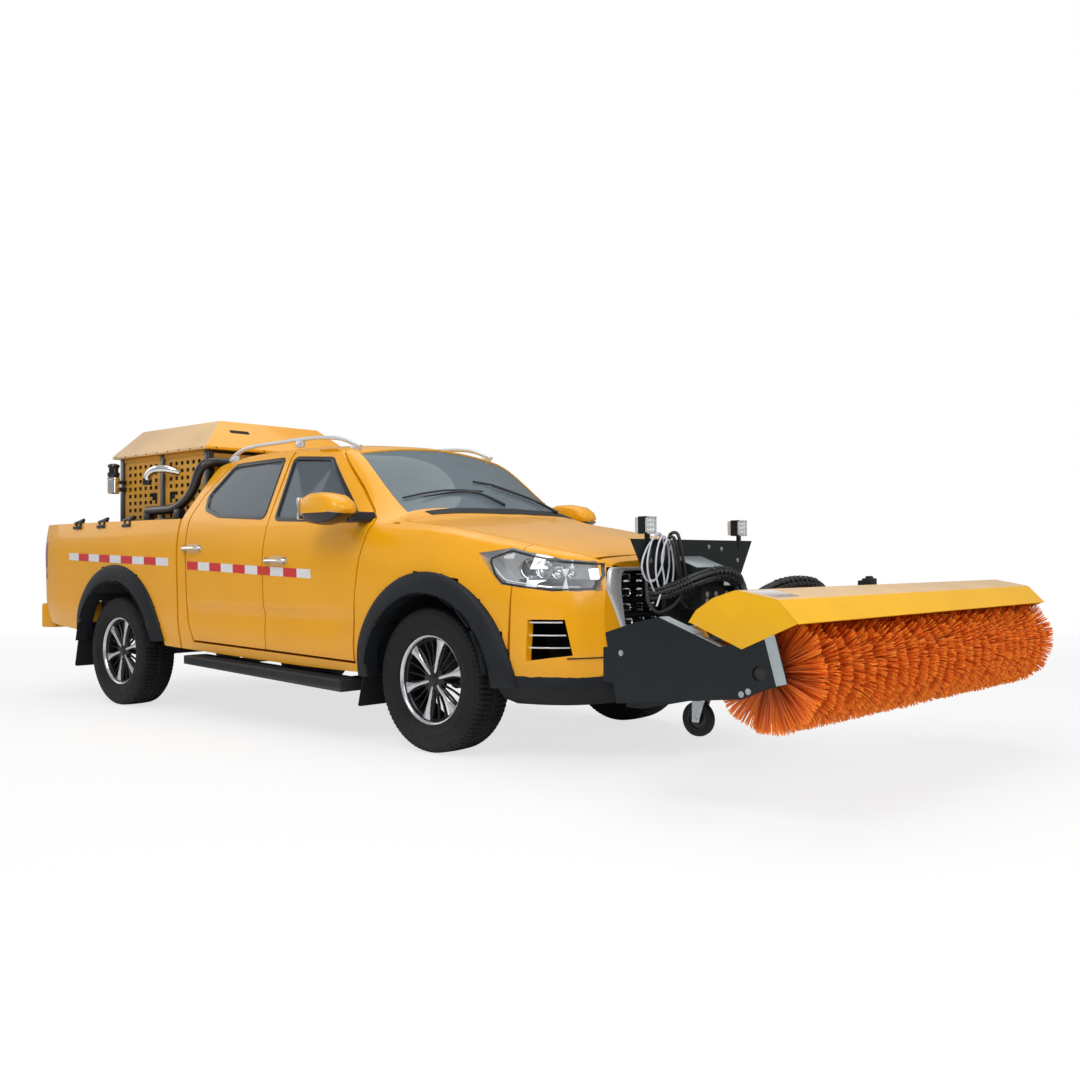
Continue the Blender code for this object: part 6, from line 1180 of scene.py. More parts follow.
def rim(name, centre, side):
    """Six bright spokes, each with a dark recess, in front of a black barrel with thin black spokes."""
    half = RIM_WIDTH / 2
    face = side * half * FACE_share

    def spot(radius, across, depth, turn):
        x = radius * cos(turn) - across * sin(turn)
        z = radius * sin(turn) + across * cos(turn)
        return Vector((centre[0] + x, centre[1] + face - side * depth, centre[2] + z))

    def disc(shape, steps, sides):
        lathe_into(shape, [(face - side * depth * RIM_STEP, radius) for depth, radius in steps], centre, "Y",
                   sides, closed=False)

    def bars(shape, number, stations, section, shift):
        for index in range(number):
            turn = 2 * pi * (index + shift) / number
            rows = [[spot(reach * RIM_R, a * width * RIM_R, RIM_STEP * (depth + d), turn) for a, d in section]
                    for reach, width, depth in stations]
            grid_faces(shape, rows, wrap=True, caps=True)
    dark = bmesh.new()
    lathe_into(dark, [(side * half * a, RIM_R * r) for a, r in BARREL_shares], centre, "Y", 72)
    disc(dark, [(depth, share * RIM_R) for depth, share in DISC_shares], 36)
    disc(dark, [(depth, share * HUB_R) for depth, share in CAP_shares], 32)
    bars(dark, THIN_SPOKES, THIN_SPOKE_shares, THIN_SECTION_shares, 0.5)
    for index in range(BOLTS):
        bolt_into(dark, spot(RIM_R * BOLT_CIRCLE_share, 0, 0.5 * RIM_STEP, 2 * pi * (index + 0.5) / BOLTS),
                  "Y", side)
    bright = bmesh.new()
    bars(bright, SPOKES, SPOKE_shares, SECTION_shares, 0.25)
    lathe_into(bright, [(side * half * a, RIM_R * r) for a, r in LIP_shares], centre, "Y", 72)
    recess = bmesh.new()
    for index in range(SPOKES):
        turn = 2 * pi * (index + 0.25) / SPOKES
        rows = [[spot(reach * RIM_R, a * width * RIM_R, RIM_STEP * (0.02 + 0.14 * abs(a)), turn)
                 for a in (-1, 0, 1)]
                for reach, width in RECESS_shares]
        grid_faces(recess, rows)
    return (from_bmesh(name + "_black", dark, DARK_ALLOY, smooth=35),
            from_bmesh(name + "_bright", bright, SILVER, smooth=30),
            from_bmesh(name + "_recess", recess, DARK_ALLOY, smooth=35))


BOLT_R = 0.008
BOLT_HIGH = 0.0045


def bolt_into(shape, centre, axis, side, radius=BOLT_R):
    """A hexagon head on its washer."""
    lathe_into(shape, [(0, 0), (0, 1.5 * radius), (0.3 * side * BOLT_HIGH, 1.5 * radius),
                       (0.3 * side * BOLT_HIGH, 0)],
               centre, axis, 14, closed=False)
    lathe_into(shape, [(0.3 * side * BOLT_HIGH, radius), (side * BOLT_HIGH, 0.95 * radius),
                       (side * BOLT_HIGH, 0)],
               centre, axis, 6, closed=False)


def wheels():
    for end, x in (("front", FRONT_AXLE_X), ("rear", REAR_AXLE_X)):
        for side, hand in ((-1, "right"), (1, "left")):
            centre = (x, side * TRACK / 2, TYRE_R)
            label = end + "_" + hand
            place(tyre("tread_" + label, centre), "wheel_" + label, "tyre_" + label)
            for number, piece in enumerate(rim("rim_" + label, centre, side)):
                place(piece, "wheel_" + label, *(["rim_" + label] if number == 0 else []))


# Brush, cover and head

BRUSH_X = 3.1825
BRUSH_Z = 0.575
BRUSH_R = 0.24
BRUSH_HALF = 1.275
WAFERS = 26
STRANDS = 760
STRAND_WIDTH = 0.0028
CORE_R = 0.10
SHAFT_R = 0.026
LINE_X = FRONT_AXLE_X + 1.46
COVER_HALF = 1.311
COVER_THICKNESS = 0.004
COVER_LINE_shares = ((0.427, 0.754), (0.46, 0.80), (0.536, 0.848), (0.637, 0.880), (0.813, 0.848),
                     (0.896, 0.763))
COVER_END_shares = ((0.66, 0.66),)
SIDE_PLATE_shares = ((0.02, 0.70), (0.16, 0.742), (0.285, 0.769), (0.57, 0.665), (0.795, 0.726),
                     (0.845, 0.545), (0.75, 0.516), (0.66, 0.477), (0.075, 0.417))
FOLD_R = 0.010
COVER_BOLTS = 9
TOP_LEAN = 0.9
LABEL_Y = (-1.27, -1.08)
LABEL_shares = (0.12, 0.82)
MOTOR_AT = (0.56, 0.875)
MOTOR_BLOCKS = (((-0.03, -0.06, -0.02), (0.02, 0.0, 0.03)), ((-0.02, -0.045, 0.02), (0.01, -0.015, 0.04)),
                ((-0.06, -0.04, -0.01), (-0.02, -0.02, 0.02)))
MOTOR_EDGE = 0.006
HEAD_BOLT_shares = ((0.655, 0.495), (0.685, 0.507), (0.10, 0.62))
FACE_WIDTH = 0.062
FACE_LEAN = (0.35, 0.94)
LIP_WIDTH = 0.042
FACE_RISE = 0.0025


def bristles():
    """Wafers of radial filament, each waving along the shaft, on a ribbed steel core."""
    pitch = 2 * BRUSH_HALF / WAFERS
    for half_name, first, last in (("right", 0, WAFERS // 2), ("left", WAFERS // 2, WAFERS)):
        verts, faces, tones_and_shade = [], [], []
        for wafer in range(first, last):
            root = (0.35 if wafer in (0, WAFERS - 1) else 0.9) * CORE_R
            middle = -BRUSH_HALF + (wafer + 0.5) * pitch
            phase = random.uniform(0, 2 * pi)
            for strand in range(STRANDS):
                turn = 2 * pi * (strand + random.random()) / STRANDS
                layer = random.uniform(-1, 1)
                spread = pitch * (0.26 * layer + 0.11 * sin(7 * turn + phase))
                ripple = 0.012 * (1 + sin(13 * turn + phase))
                reach = BRUSH_R * (0.998 - 0.085 * layer ** 2 - 0.03 * random.random() - ripple)
                bend = 0.05 * random.uniform(-1, 1) + 0.03 * sin(7 * turn + phase)
                # Random strand tone, made darker towards the wafer's sides by painted shade between the
                # wafers.
                tone_and_shade = 0.70 + 0.30 * random.random() - 0.5 * layer ** 2
                wide, thin = (1, 0.35) if strand % 2 else (0.35, 1)
                base = len(verts)
                for share, width in ((0.0, 1.0), (0.55, 1.1), (1.0, 0.8)):
                    radius = root + (reach - root) * share
                    y = middle + spread * (0.45 + 0.55 * share)
                    for hand in (-1, 1):
                        a = turn + bend * share ** 2 + hand * STRAND_WIDTH * width * wide / radius
                        verts.append((BRUSH_X + radius * cos(a), y + hand * STRAND_WIDTH * width * thin,
                                      BRUSH_Z + radius * sin(a)))
                        # Painted shade: each strand darkens towards its root, deep in the brush.
                        tones_and_shade.append(tone_and_shade * (0.25 + 0.75 * share))
                faces += [(base, base + 1, base + 3, base + 2), (base + 2, base + 3, base + 5, base + 4)]
        mesh = bpy.data.meshes.new("bristles_" + half_name)
        mesh.from_pydata(verts, [], faces)
        mesh.attributes.new("tone_and_shade", "FLOAT", "POINT").data.foreach_set("value", tones_and_shade)
        mesh.shade_smooth()
        place(new_object("bristles_" + half_name, mesh, BRISTLE), "rotor",
              *(["brush_rotor"] if first == 0 else []))
    end = 1.018 * BRUSH_HALF
    profile = [(-end, 0), (-end, SHAFT_R), (pitch - BRUSH_HALF, SHAFT_R), (pitch - BRUSH_HALF, CORE_R)]
    for wafer in range(1, WAFERS - 1):
        y = -BRUSH_HALF + wafer * pitch
        profile += [(y + share * pitch, CORE_R * size) for share,
                    size in ((0.1, 1), (0.2, 1.16), (0.8, 1.16), (0.9, 1))]
    profile += [(BRUSH_HALF - pitch, CORE_R), (BRUSH_HALF - pitch, SHAFT_R), (end, SHAFT_R), (end, 0)]
    place(lathe("brush_core", profile, (BRUSH_X, 0, BRUSH_Z), "Y", BLACK_STEEL, sides=40, closed=False),
          "rotor")


def softened(line, radius, steps=2):
    """An open line with its corners rounded."""
    soft = [line[0]]
    for before, point, after in zip(line, line[1:], line[2:]):
        before, point, after = Vector(before), Vector(point), Vector(after)
        first = point + (before - point).normalized() * radius
        last = point + (after - point).normalized() * radius
        soft += [tuple(first * (1 - t) ** 2 + point * 2 * t * (1 - t) + last * t * t)
                 for t in np.linspace(0, 1, steps + 1)]
    return soft + [line[-1]]


def along_line(line, distance):
    """The line moved to its lower side by a distance."""
    moved = []
    for i, point in enumerate(line):
        run = (Vector(line[min(i + 1, len(line) - 1)]) - Vector(line[max(i - 1, 0)])).normalized()
        moved.append((point[0] + run.y * distance, point[1] - run.x * distance))
    return moved


def cover():
    """Folded yellow sheet with a painted highlight on its upward facets, rounded folds, end plates and button
    bolts.
    """
    line = [(LINE_X + along, height) for along, height in COVER_LINE_shares]
    soft = softened(line, FOLD_R)
    sheet = prism("cover_sheet", soft + along_line(soft, COVER_THICKNESS)[::-1], -COVER_HALF, COVER_HALF, "Y",
                  IMPLEMENT, LIGHT_AND_SHADE_YELLOW, smooth=30)
    # Painted highlight: facets that face upwards take the paler yellow of painted light.
    for face in sheet.data.polygons:
        face.material_index = int(face.normal.z > TOP_LEAN)
    place(sheet, "head", "brush_cover")
    end = soft + [(LINE_X + along, height) for along, height in COVER_END_shares]
    end = grown(end, -0.3 * COVER_THICKNESS)
    for side, hand in ((-1, "right"), (1, "left")):
        low, high = sorted((side * (COVER_HALF - COVER_THICKNESS),
                            side * (COVER_HALF - 0.1 * COVER_THICKNESS)))
        place(prism("cover_end_" + hand, end, low, high, "Y", IMPLEMENT, bevel=0.2 * COVER_THICKNESS), "head")
    shape = bmesh.new()
    (xa, za), (xb, zb) = line[1], line[2]
    for number in range(COVER_BOLTS):
        y = 0.96 * COVER_HALF * (2 * number / (COVER_BOLTS - 1) - 1)
        bolt_into(shape, ((xa + xb) / 2, y, (za + zb) / 2), "Z", 1, 0.7 * BOLT_R)
    place(from_bmesh("cover_bolts", shape, GALVANISED, smooth=40), "head")
    top, front = (Vector(line[index]) for index in (3, 4))
    rise = Vector((front.y - top.y, top.x - front.x)).normalized() * -0.3 * COVER_THICKNESS
    low, high = (top.lerp(front, share) for share in LABEL_shares)
    label = [low, high, high - rise, low - rise]
    place(prism("cover_label", [tuple(p) for p in label], *LABEL_Y, "Y", WHITE_TAPE), "head")
    x, z = LINE_X + MOTOR_AT[0], MOTOR_AT[1]
    blocks = [[(x + ahead, y, z + up) for ahead, y, up in ends] for ends in MOTOR_BLOCKS]
    place(boxes("motor_fitting", blocks, DARK_PAINT, bevel=MOTOR_EDGE), "head")


def head_trim():
    """Pale flange faces on the side plates, with the bolts of the bearings and casters."""
    points = [Vector((LINE_X + along, height)) for along, height in SIDE_PLATE_shares]
    outer = COVER_HALF - COVER_THICKNESS
    for side, hand in ((-1, "right"), (1, "left")):
        shape = bmesh.new()
        split = points[2].lerp(points[3], 0.6)
        for first, last, width in ((points[2], split, FACE_WIDTH), (split, points[3], 0.5 * FACE_WIDTH)):
            rise = Vector(FACE_LEAN) * FACE_RISE
            run = (last - first).normalized() * FACE_RISE
            outline = [first + run, last - run, last - run + rise, first + run + rise]
            grid_faces(shape, prism_rings(outline, *sorted((side * (outer - width), side * outer)), "Y"),
                       wrap=True, caps=True)
        back = Vector((-LIP_WIDTH, -0.25 * LIP_WIDTH))
        lip = [points[4], points[5], points[5] + back, points[4] + back]
        grid_faces(shape, prism_rings(lip, *sorted((side * outer, side * (outer + 0.7 * COVER_THICKNESS))),
                                      "Y"), wrap=True, caps=True)
        place(from_bmesh("flange_face_" + hand, shape, GREY_PLATE, smooth=30), "head")
        shape = bmesh.new()
        for along, height in HEAD_BOLT_shares:
            bolt_into(shape, (LINE_X + along, side * outer, height), "Y", side * 0.8)
        place(from_bmesh("head_bolts_" + hand, shape, GALVANISED, smooth=35), "head")


wheels()
bristles()
cover()
head_trim()


# Nose

NOSE_X = at(NOSE_share)
GRILLE_shares = ((0.58, 0.548), (0.60, 0.49), (0.46, 0.362))
GRILLE_CORNER = 0.035
INNER_shares = ((0.440, 0.537), (0.445, 0.49), (0.425, 0.374))
SURROUND_shares = ((0.0, -0.004), (-0.05, 0.006), (-0.16, 0.011), (-0.5, 0.009), (-0.78, 0.002),
                   (-0.95, -0.012),
                   (-1.0, -0.03), (-1.0, -0.045))
GRILLE_BACK = 0.040
BAR_SIZE = 0.008
GRILLE_ROWS = (0.905, 0.832, 0.758, 0.684)
HOOK_R = 0.016
HOOK_LENGTH = 0.055
HOOK_STEP = 0.105
HOOK_THICKNESS = 0.0055


def grille_outline(inset):
    """The surround's outline, drawn in by a share of its way to the inner opening."""
    half = [tuple(Vector((a[0] * HALF_WIDTH, a[1] * ROOF_Z)).lerp(Vector((b[0] * HALF_WIDTH, b[1] * ROOF_Z)),
                                                                  inset))
            for a, b in zip(GRILLE_shares, INNER_shares)]
    return rounded(half + [(-y, z) for y, z in half[::-1]], GRILLE_CORNER, 6)


def grille():
    """Broad chrome surround, a backing of painted shade with level black bars, and rows of bright hooks."""
    shape = bmesh.new()
    rows = [[(NOSE_X + ahead, y, z) for y, z in grille_outline(-share)] for share, ahead in SURROUND_shares]
    grid_faces(shape, rows, wrap=True)
    place(from_bmesh("grille_surround", shape, SATIN_SILVER, smooth=45), "root", "grille")
    x_back = NOSE_X - GRILLE_BACK
    inside = grille_outline(0.98)
    # Painted shade: a near-black sheet stands in for the shaded space behind the bars.
    place(prism("grille_back", inside, x_back - 0.2 * GRILLE_BACK, x_back, "X", PAINTED_SHADE_BLACK), "root")
    shape = bmesh.new()
    hooks = bmesh.new()
    step = (GRILLE_ROWS[0] - GRILLE_ROWS[-1]) / (len(GRILLE_ROWS) - 1)

    def half_at(z):
        spans = [abs(y) for (y, za), (_, zb) in zip(inside, inside[1:] + inside[:1])
                 if (za - z) * (zb - z) <= 0]
        return max(spans) if spans else 0
    for z in GRILLE_ROWS:
        for level in (z + 0.5 * step, z):
            half = half_at(level)
            if half:
                size = BAR_SIZE if level > z else 0.6 * BAR_SIZE
                box_into(shape, (x_back, -half, level - size),
                         (NOSE_X - 0.4 * GRILLE_BACK, half, level + size))
        half = half_at(z) - 0.2 * HOOK_LENGTH
        count = int(half / HOOK_STEP)
        for number in range(count):
            for side in (-1, 1):
                tip = side * (half - HOOK_LENGTH - number * HOOK_STEP)
                path = [(tip + side * HOOK_LENGTH, z + HOOK_R), (tip + side * HOOK_R, z + HOOK_R)]
                path += [(tip + side * HOOK_R * (1 - cos(turn)), z + HOOK_R * sin(turn))
                         for turn in (pi / 3, pi / 6, 0, -pi / 6, -pi / 3)]
                path += [(tip + side * HOOK_R, z - HOOK_R), (tip + side * HOOK_LENGTH, z - HOOK_R)]
                tube_into(hooks, [(NOSE_X - 0.35 * GRILLE_BACK, y, level) for y, level in path],
                          HOOK_THICKNESS, 6)
                low, high = sorted(tip + side * HOOK_LENGTH * reach for reach in (1.5, 1.62))
                box_into(shape, (x_back, low, z - 0.4 * step),
                         (NOSE_X - 0.6 * GRILLE_BACK, high, z + 0.4 * step))
    place(from_bmesh("grille_bars", shape, SMOOTH_BLACK, smooth=35), "root")
    place(from_bmesh("grille_hooks", hooks, CHROME, smooth=50), "root")


def turned(name, profile, centre, normal, *materials, sides=36, smooth=35):
    """A turned piece whose axis is any direction."""
    item = lathe(name, profile, (0, 0, 0), "Z", *materials, sides=sides, smooth=smooth, closed=False)
    turn = Vector(normal).to_track_quat("Z", "Y").to_matrix().to_4x4()
    item.data.transform(Matrix.Translation(centre) @ turn)
    return item


LAMP_WAY = (0.80, -0.59, 0.08)
BOWLS = ((1.628, -0.806, 0.955, 0.047), (1.690, -0.778, 0.952, 0.041), (1.748, -0.744, 0.938, 0.030),
         (1.800, -0.700, 0.932, 0.022))
BOWL_shares = ((-0.9, 0), (-0.85, 0.35), (-0.55, 0.72), (0, 0.97), (0.12, 1.0), (0.14, 1.06), (0.0, 1.1),
               (-0.9, 1.1))
LENS_SINK = 0.006
LAMP_LINES = (((1.400, 1.005), (1.425, 0.972), (1.470, 0.930), (1.520, 0.899), (1.62, 0.884), (1.74, 0.868),
               (1.835, 0.866)),
              ((1.400, 1.016), (1.470, 1.034), (1.50, 1.036)))
LAMP_LINE_R = 0.008
LAMP_EDGE_LINE = ((1.405, 1.008), (1.500, 1.045), (1.62, 1.016), (1.75, 0.988), (1.868, 0.976), (1.880, 0.92),
                  (1.868, 0.853), (1.75, 0.849), (1.62, 0.864), (1.50, 0.882), (1.45, 0.925), (1.405, 0.99))
EDGE_STEP = 0.03
BOWL_SINK = 0.012
PROJECTOR_shares = ((-0.3, 0), (-0.3, 0.62), (0.0, 0.60), (0.16, 0.46), (0.25, 0.24), (0.28, 0))
EDGE_PROFILE = ((0.003, -0.004), (0.002, 0.002), (-0.005, 0.002), (-0.007, -0.005))


def headlamps():
    """Clear skin over a satin silver tray, chrome bowls and a bright line along the lower edge."""
    for hand in ("right", "left"):
        dressed("headlamp_" + hand, CAB, LENS, SATIN_SILVER,
                choose=lambda c, depth, sign: 0 if depth < 0.5 * LENS_SINK else 1)
    way = Vector(LAMP_WAY).normalized()

    def bowl(name, shares, number, finish):
        x, y, z, radius = BOWLS[number]
        spot = Vector((x, y, z)) - way * (BOWL_SINK + 0.3 * radius)
        both(turned(name, [(a * radius, r * radius) for a, r in shares], spot, way, finish))
    for number in range(len(BOWLS)):
        bowl("lamp_bowl_%d_right" % number, BOWL_shares, number, CHROME)
    bowl("projector_right", PROJECTOR_shares, 0, SMOOTH_BLACK)
    shape = bmesh.new()
    for line in LAMP_LINES:
        path = smooth_route([on_side(CAB, x, z, -1.6 * LAMP_LINE_R) for x, z in line], 5)
        tube_into(shape, path, LAMP_LINE_R, 8, flat=0.6)
    both(from_bmesh("lamp_line_right", shape, CHROME, smooth=50))
    both(band("lamp_edge_right", subdivided(list(LAMP_EDGE_LINE), EDGE_STEP), EDGE_PROFILE, SMOOTH_BLACK))


VENT_STRIPS = ((1.650, 1.790, 0.694), (1.648, 1.800, 0.632), (1.645, 1.812, 0.572))
VENT_STRIP_R = 0.006
CREASE_Z = 0.520
APRON_X = (1.44, 1.52, 1.60, 1.68, 1.75, 1.80, 1.84, 1.87, 1.889)
CREASE_R = 0.007
CREASE_X = (1.80, 1.83, 1.86, 1.88, 1.889)
SKID_ROWS = ((0.440, 0.004), (0.408, -0.003), (0.380, 0.010), (0.350, 0.030), (0.310, 0.065), (0.275, 0.16))


def bumper_trim():
    """Bright strips in the side vents, a line of painted shade along the crease under them, and the black
    apron below.
    """
    shape = bmesh.new()
    for x0, x1, z in VENT_STRIPS:
        path = [on_side(CAB, x0 + (x1 - x0) * i / 6, z, -0.8 * VENT_STRIP_R) for i in range(7)]
        tube_into(shape, path, VENT_STRIP_R, 8, flat=0.7)
    both(from_bmesh("vent_strips_right", shape, SATIN_SILVER, smooth=50))
    # Painted shade: a flat black cord drawn along the crease where its shadow falls.
    path = [on_side(CAB, x, CREASE_Z, 0.1 * CREASE_R) for x in CREASE_X]
    path.append(Vector((NOSE_X + 0.1 * CREASE_R, 0, CREASE_Z)))
    both(tube("bumper_crease_right", path, CREASE_R, SMOOTH_BLACK, sides=8, flat=0.5))
    shape = bmesh.new()
    rows = []
    for z, inset in SKID_ROWS:
        row = []
        for x in APRON_X:
            spot = on_side(CAB, x, max(z, SKID_ROWS[0][0]), 0)
            row.append((x - 0.6 * inset * (x - APRON_X[0]) / (APRON_X[-1] - APRON_X[0]), spot.y + inset, z))
        row.append((NOSE_X - 0.6 * inset, 0, z))
        rows.append(row)
    grid_faces(shape, rows)
    both(from_bmesh("skid_apron_right", shape, PLASTIC, smooth=40))


WIPER_LINES = (((0.742, -0.05), (0.60, -0.20), (0.545, -0.52)), ((0.742, 0.42), (0.62, 0.30), (0.565, 0.02)))
WIPER_R = 0.007
BLADE_START = (-0.06, -0.10)
BLADE_STEP = (0.03, 0.13)
COWL_shares = (0.052, 0.060, 0.072)
COWL_HALF = 0.62
COWL_BOW = 0.10
COWL_PROUD = 0.003


def on_top(x, y, proud):
    """The point of the bonnet, screen or roof over a place, and its normal's way up."""
    z = ROOF_Z
    for _ in range(12):
        spot, normal, depth = CAB.nearest([(x, y, z)])
        z = spot[0][2] + (spot[0][1] - y) * normal[0][1] / max(0.2, normal[0][2])
    return Vector((x, y, z)) + Vector(normal[0]) * proud


def cowl():
    """Two wipers that lie on the screen, and the black panel at its foot."""
    shape = bmesh.new()
    for line in WIPER_LINES:
        path = smooth_route([on_top(x, y, 1.6 * WIPER_R) for x, y in line], 6)
        tube_into(shape, path, lambda s: WIPER_R * (1.5 - s), 8)
        x, y = line[2]
        blade = [on_top(x + BLADE_STEP[0] * i + BLADE_START[0], y + BLADE_STEP[1] * i + BLADE_START[1],
                        0.8 * WIPER_R) for i in range(5)]
        tube_into(shape, blade, 0.8 * WIPER_R, 6)
    place(from_bmesh("wipers", shape, BLACK_TUBE, smooth=50), "root")
    shape = bmesh.new()
    across = np.linspace(-COWL_HALF, COWL_HALF, 17)
    grid_faces(shape, [[on_top(at(share) - COWL_BOW * (y / COWL_HALF) ** 2, y, COWL_PROUD) for y in across]
                       for share in COWL_shares])
    place(from_bmesh("cowl_panel", shape, PLASTIC, smooth=40), "root")


# Implement fittings

PANEL_X = 2.0375
PANEL_FACE = 0.006
LAMP_BOX = ((2.015, -0.463, 1.121), (2.060, -0.377, 1.206))
CHIPS = 3
FINS = 6
FACE_GAP = 0.001
CHIP_shares = ((0, 0.48), (0.02, 0.42), (0.03, 0.25), (0.035, 0))


def work_lamps():
    """Square lamps with a rim, nine chips under a clear face, and cooling fins."""
    (x0, y0, z0), (x1, y1, z1) = LAMP_BOX
    size = y1 - y0
    pitch = 0.8 * size / CHIPS
    edge, margin, fin = 0.08 * size, 0.07 * size, 0.03 * size
    front = x1 + 0.06 * size
    shape = bmesh.new()
    for low, high in (((x1, y0, z0), (front, y1, z0 + edge)), ((x1, y0, z1 - edge), (front, y1, z1)),
                      ((x1, y0, z0), (front, y0 + edge, z1)), ((x1, y1 - edge, z0), (front, y1, z1))):
        box_into(shape, low, high)
    for number in range(FINS):
        y = y0 + size * (number + 0.5) / FINS
        box_into(shape, (x0 - 0.25 * size, y - fin, z0 + 0.05 * size),
                 (x0 + 0.1 * size, y + fin, z1 - 0.05 * size))
    box_into(shape, (x1, y0 + margin, z0 + margin), (x1 + 0.01 * size, y1 - margin, z1 - margin))
    both(from_bmesh("work_lamp_frame_right", shape, SATIN_SILVER, smooth=35))
    shape = bmesh.new()
    chip = [(along * size, radius * pitch) for along, radius in CHIP_shares]
    for row in range(CHIPS):
        for column in range(CHIPS):
            y, z = y0 + 0.1 * size + pitch * (column + 0.5), z0 + 0.1 * size + pitch * (row + 0.5)
            lathe_into(shape, chip, (x1, y, z), "X", 14, closed=False)
    both(from_bmesh("work_lamp_chips_right", shape, LED, smooth=50))
    face = ((x1 + FACE_GAP, y0 + margin, z0 + margin), (x1 + 0.05 * size, y1 - margin, z1 - margin))
    both(boxes("work_lamp_face_right", [face], LENS))


COVER_Y = (-0.21, 0.04)
COVER_SLOPE = (1.012, 0.958, 0.86)
COVER_DEPTH = 0.148
COVER_SHEET = 0.004
COVER_EDGE = 0.003
COVER_TOP_EDGE = 0.001
PANEL_BOLTS = ((-0.40, 0.99), (0.40, 0.99), (0.24, 1.05), (0.24, 0.94), (-0.24, 1.05), (0.12, 1.06))
FOOT_BOLTS = ((-0.12, -0.04, 0.06, 0.12), (0.785, 0.82))
FOOT_BOLT_OUT = 0.15
PIVOT_BOLT = (2.1525, 0.191, 0.45)


def mount_trim():
    """Sloping cover over the valves with a pale top, edge beads and bolts on the panel."""
    x0, x1 = PANEL_X + PANEL_FACE, PANEL_X + COVER_DEPTH
    top, front, low = COVER_SLOPE
    outline = [(x0, low), (x0, top - COVER_SHEET), (x1, front - COVER_SHEET), (x1, low)]
    place(prism("valve_cover", outline, *COVER_Y, "Y", DARK_PAINT, bevel=COVER_EDGE), "root")
    tip = x1 + COVER_EDGE
    slope = [(x0, top - COVER_SHEET), (x0, top), (tip, front), (tip, front - COVER_SHEET)]
    place(prism("valve_cover_top", slope, COVER_Y[0] - COVER_SHEET, COVER_Y[1] + COVER_SHEET, "Y", GREY_PLATE,
                bevel=COVER_TOP_EDGE), "root")
    shape = bmesh.new()
    for y, z in PANEL_BOLTS:
        bolt_into(shape, (x0, y, z), "X", 1)
    for y in FOOT_BOLTS[0]:
        for z in FOOT_BOLTS[1]:
            bolt_into(shape, (PANEL_X + FOOT_BOLT_OUT, y, z), "X", 1, 1.3 * BOLT_R)
    for side in (-1, 1):
        bolt_into(shape, (PIVOT_BOLT[0], side * PIVOT_BOLT[1], PIVOT_BOLT[2]), "Y", side, 2.2 * BOLT_R)
    place(from_bmesh("mount_bolts", shape, GALVANISED, smooth=35), "root")


HEAD_ROUTE = ((2.4925, -0.30, 0.6403), (2.4925, -0.302, 0.700), (2.503, -0.20, 0.790), (2.513, -0.06, 0.845),
              (2.523, 0.14, 0.874), (2.533, 0.34, 0.860), (2.523, 0.48, 0.790), (2.5125, 0.552, 0.700),
              (2.5125, 0.55, 0.6403))
VALVE_ROUTE = ((2.050, -0.405, 0.830), (2.085, -0.400, 0.828), (2.150, -0.360, 0.850), (2.215, -0.240, 0.900),
               (2.245, -0.100, 0.925),
               (2.245, 0.030, 0.905), (2.220, 0.130, 0.860), (2.160, 0.230, 0.810), (2.090, 0.270, 0.800),
               (2.050, 0.272, 0.800))
HOSE_OFFSETS = ((0.0, 0.0), (0.0235, 0.0), (0.01175, 0.0204), (-0.01175, 0.0204), (-0.0235, 0.0),
                (-0.01175, -0.0204),
                (0.01175, -0.0204))
HOSE_SIZE = 0.0105
SLEEVES = ((0.18, 0.30), (0.40, 0.62), (0.72, 0.84))
SLEEVE_TURNS = 9
SLEEVE_SIDES = 10


def hose_run(name, route, body, nodes=()):
    """Seven hoses side by side along one route, with spiral sleeves round the bundle."""
    centre = smooth_route(route, 7)
    frames = []
    side = Vector((1, 0, 0))
    for i in range(len(centre)):
        heading = (centre[min(i + 1, len(centre) - 1)] - centre[max(i - 1, 0)]).normalized()
        side = (side - heading * side.dot(heading)).normalized()
        frames.append((side.copy(), heading.cross(side)))
    sleeves = []
    for begin, end in SLEEVES:
        count = SLEEVE_SIDES * SLEEVE_TURNS
        path = []
        for step in range(count + 1):
            index, t = divmod((begin + (end - begin) * step / count) * (len(centre) - 1), 1)
            u, v = (a.lerp(b, t).normalized() for a, b in zip(frames[int(index)], frames[int(index) + 1]))
            turn = 2 * pi * step / SLEEVE_SIDES
            path.append(centre[int(index)].lerp(centre[int(index) + 1], t)
                        + (u * cos(turn) + v * sin(turn)) * 3.45 * HOSE_SIZE)
        sleeves.append(place(tube("%s_sleeve_%d" % (name, len(sleeves)), path, 0.28 * HOSE_SIZE, WRAP,
                                  sides=5), body))
    for number, (across, up) in enumerate(HOSE_OFFSETS):
        points = [point + u * across + v * up for point, (u, v) in zip(centre, frames)]
        if nodes:
            points[0].z = points[-1].z = route[0][2]
        item = place(curve("%s_%d" % (name, number), points, HOSE_SIZE, HOSE), body,
                     *(nodes if number == 0 else ()))


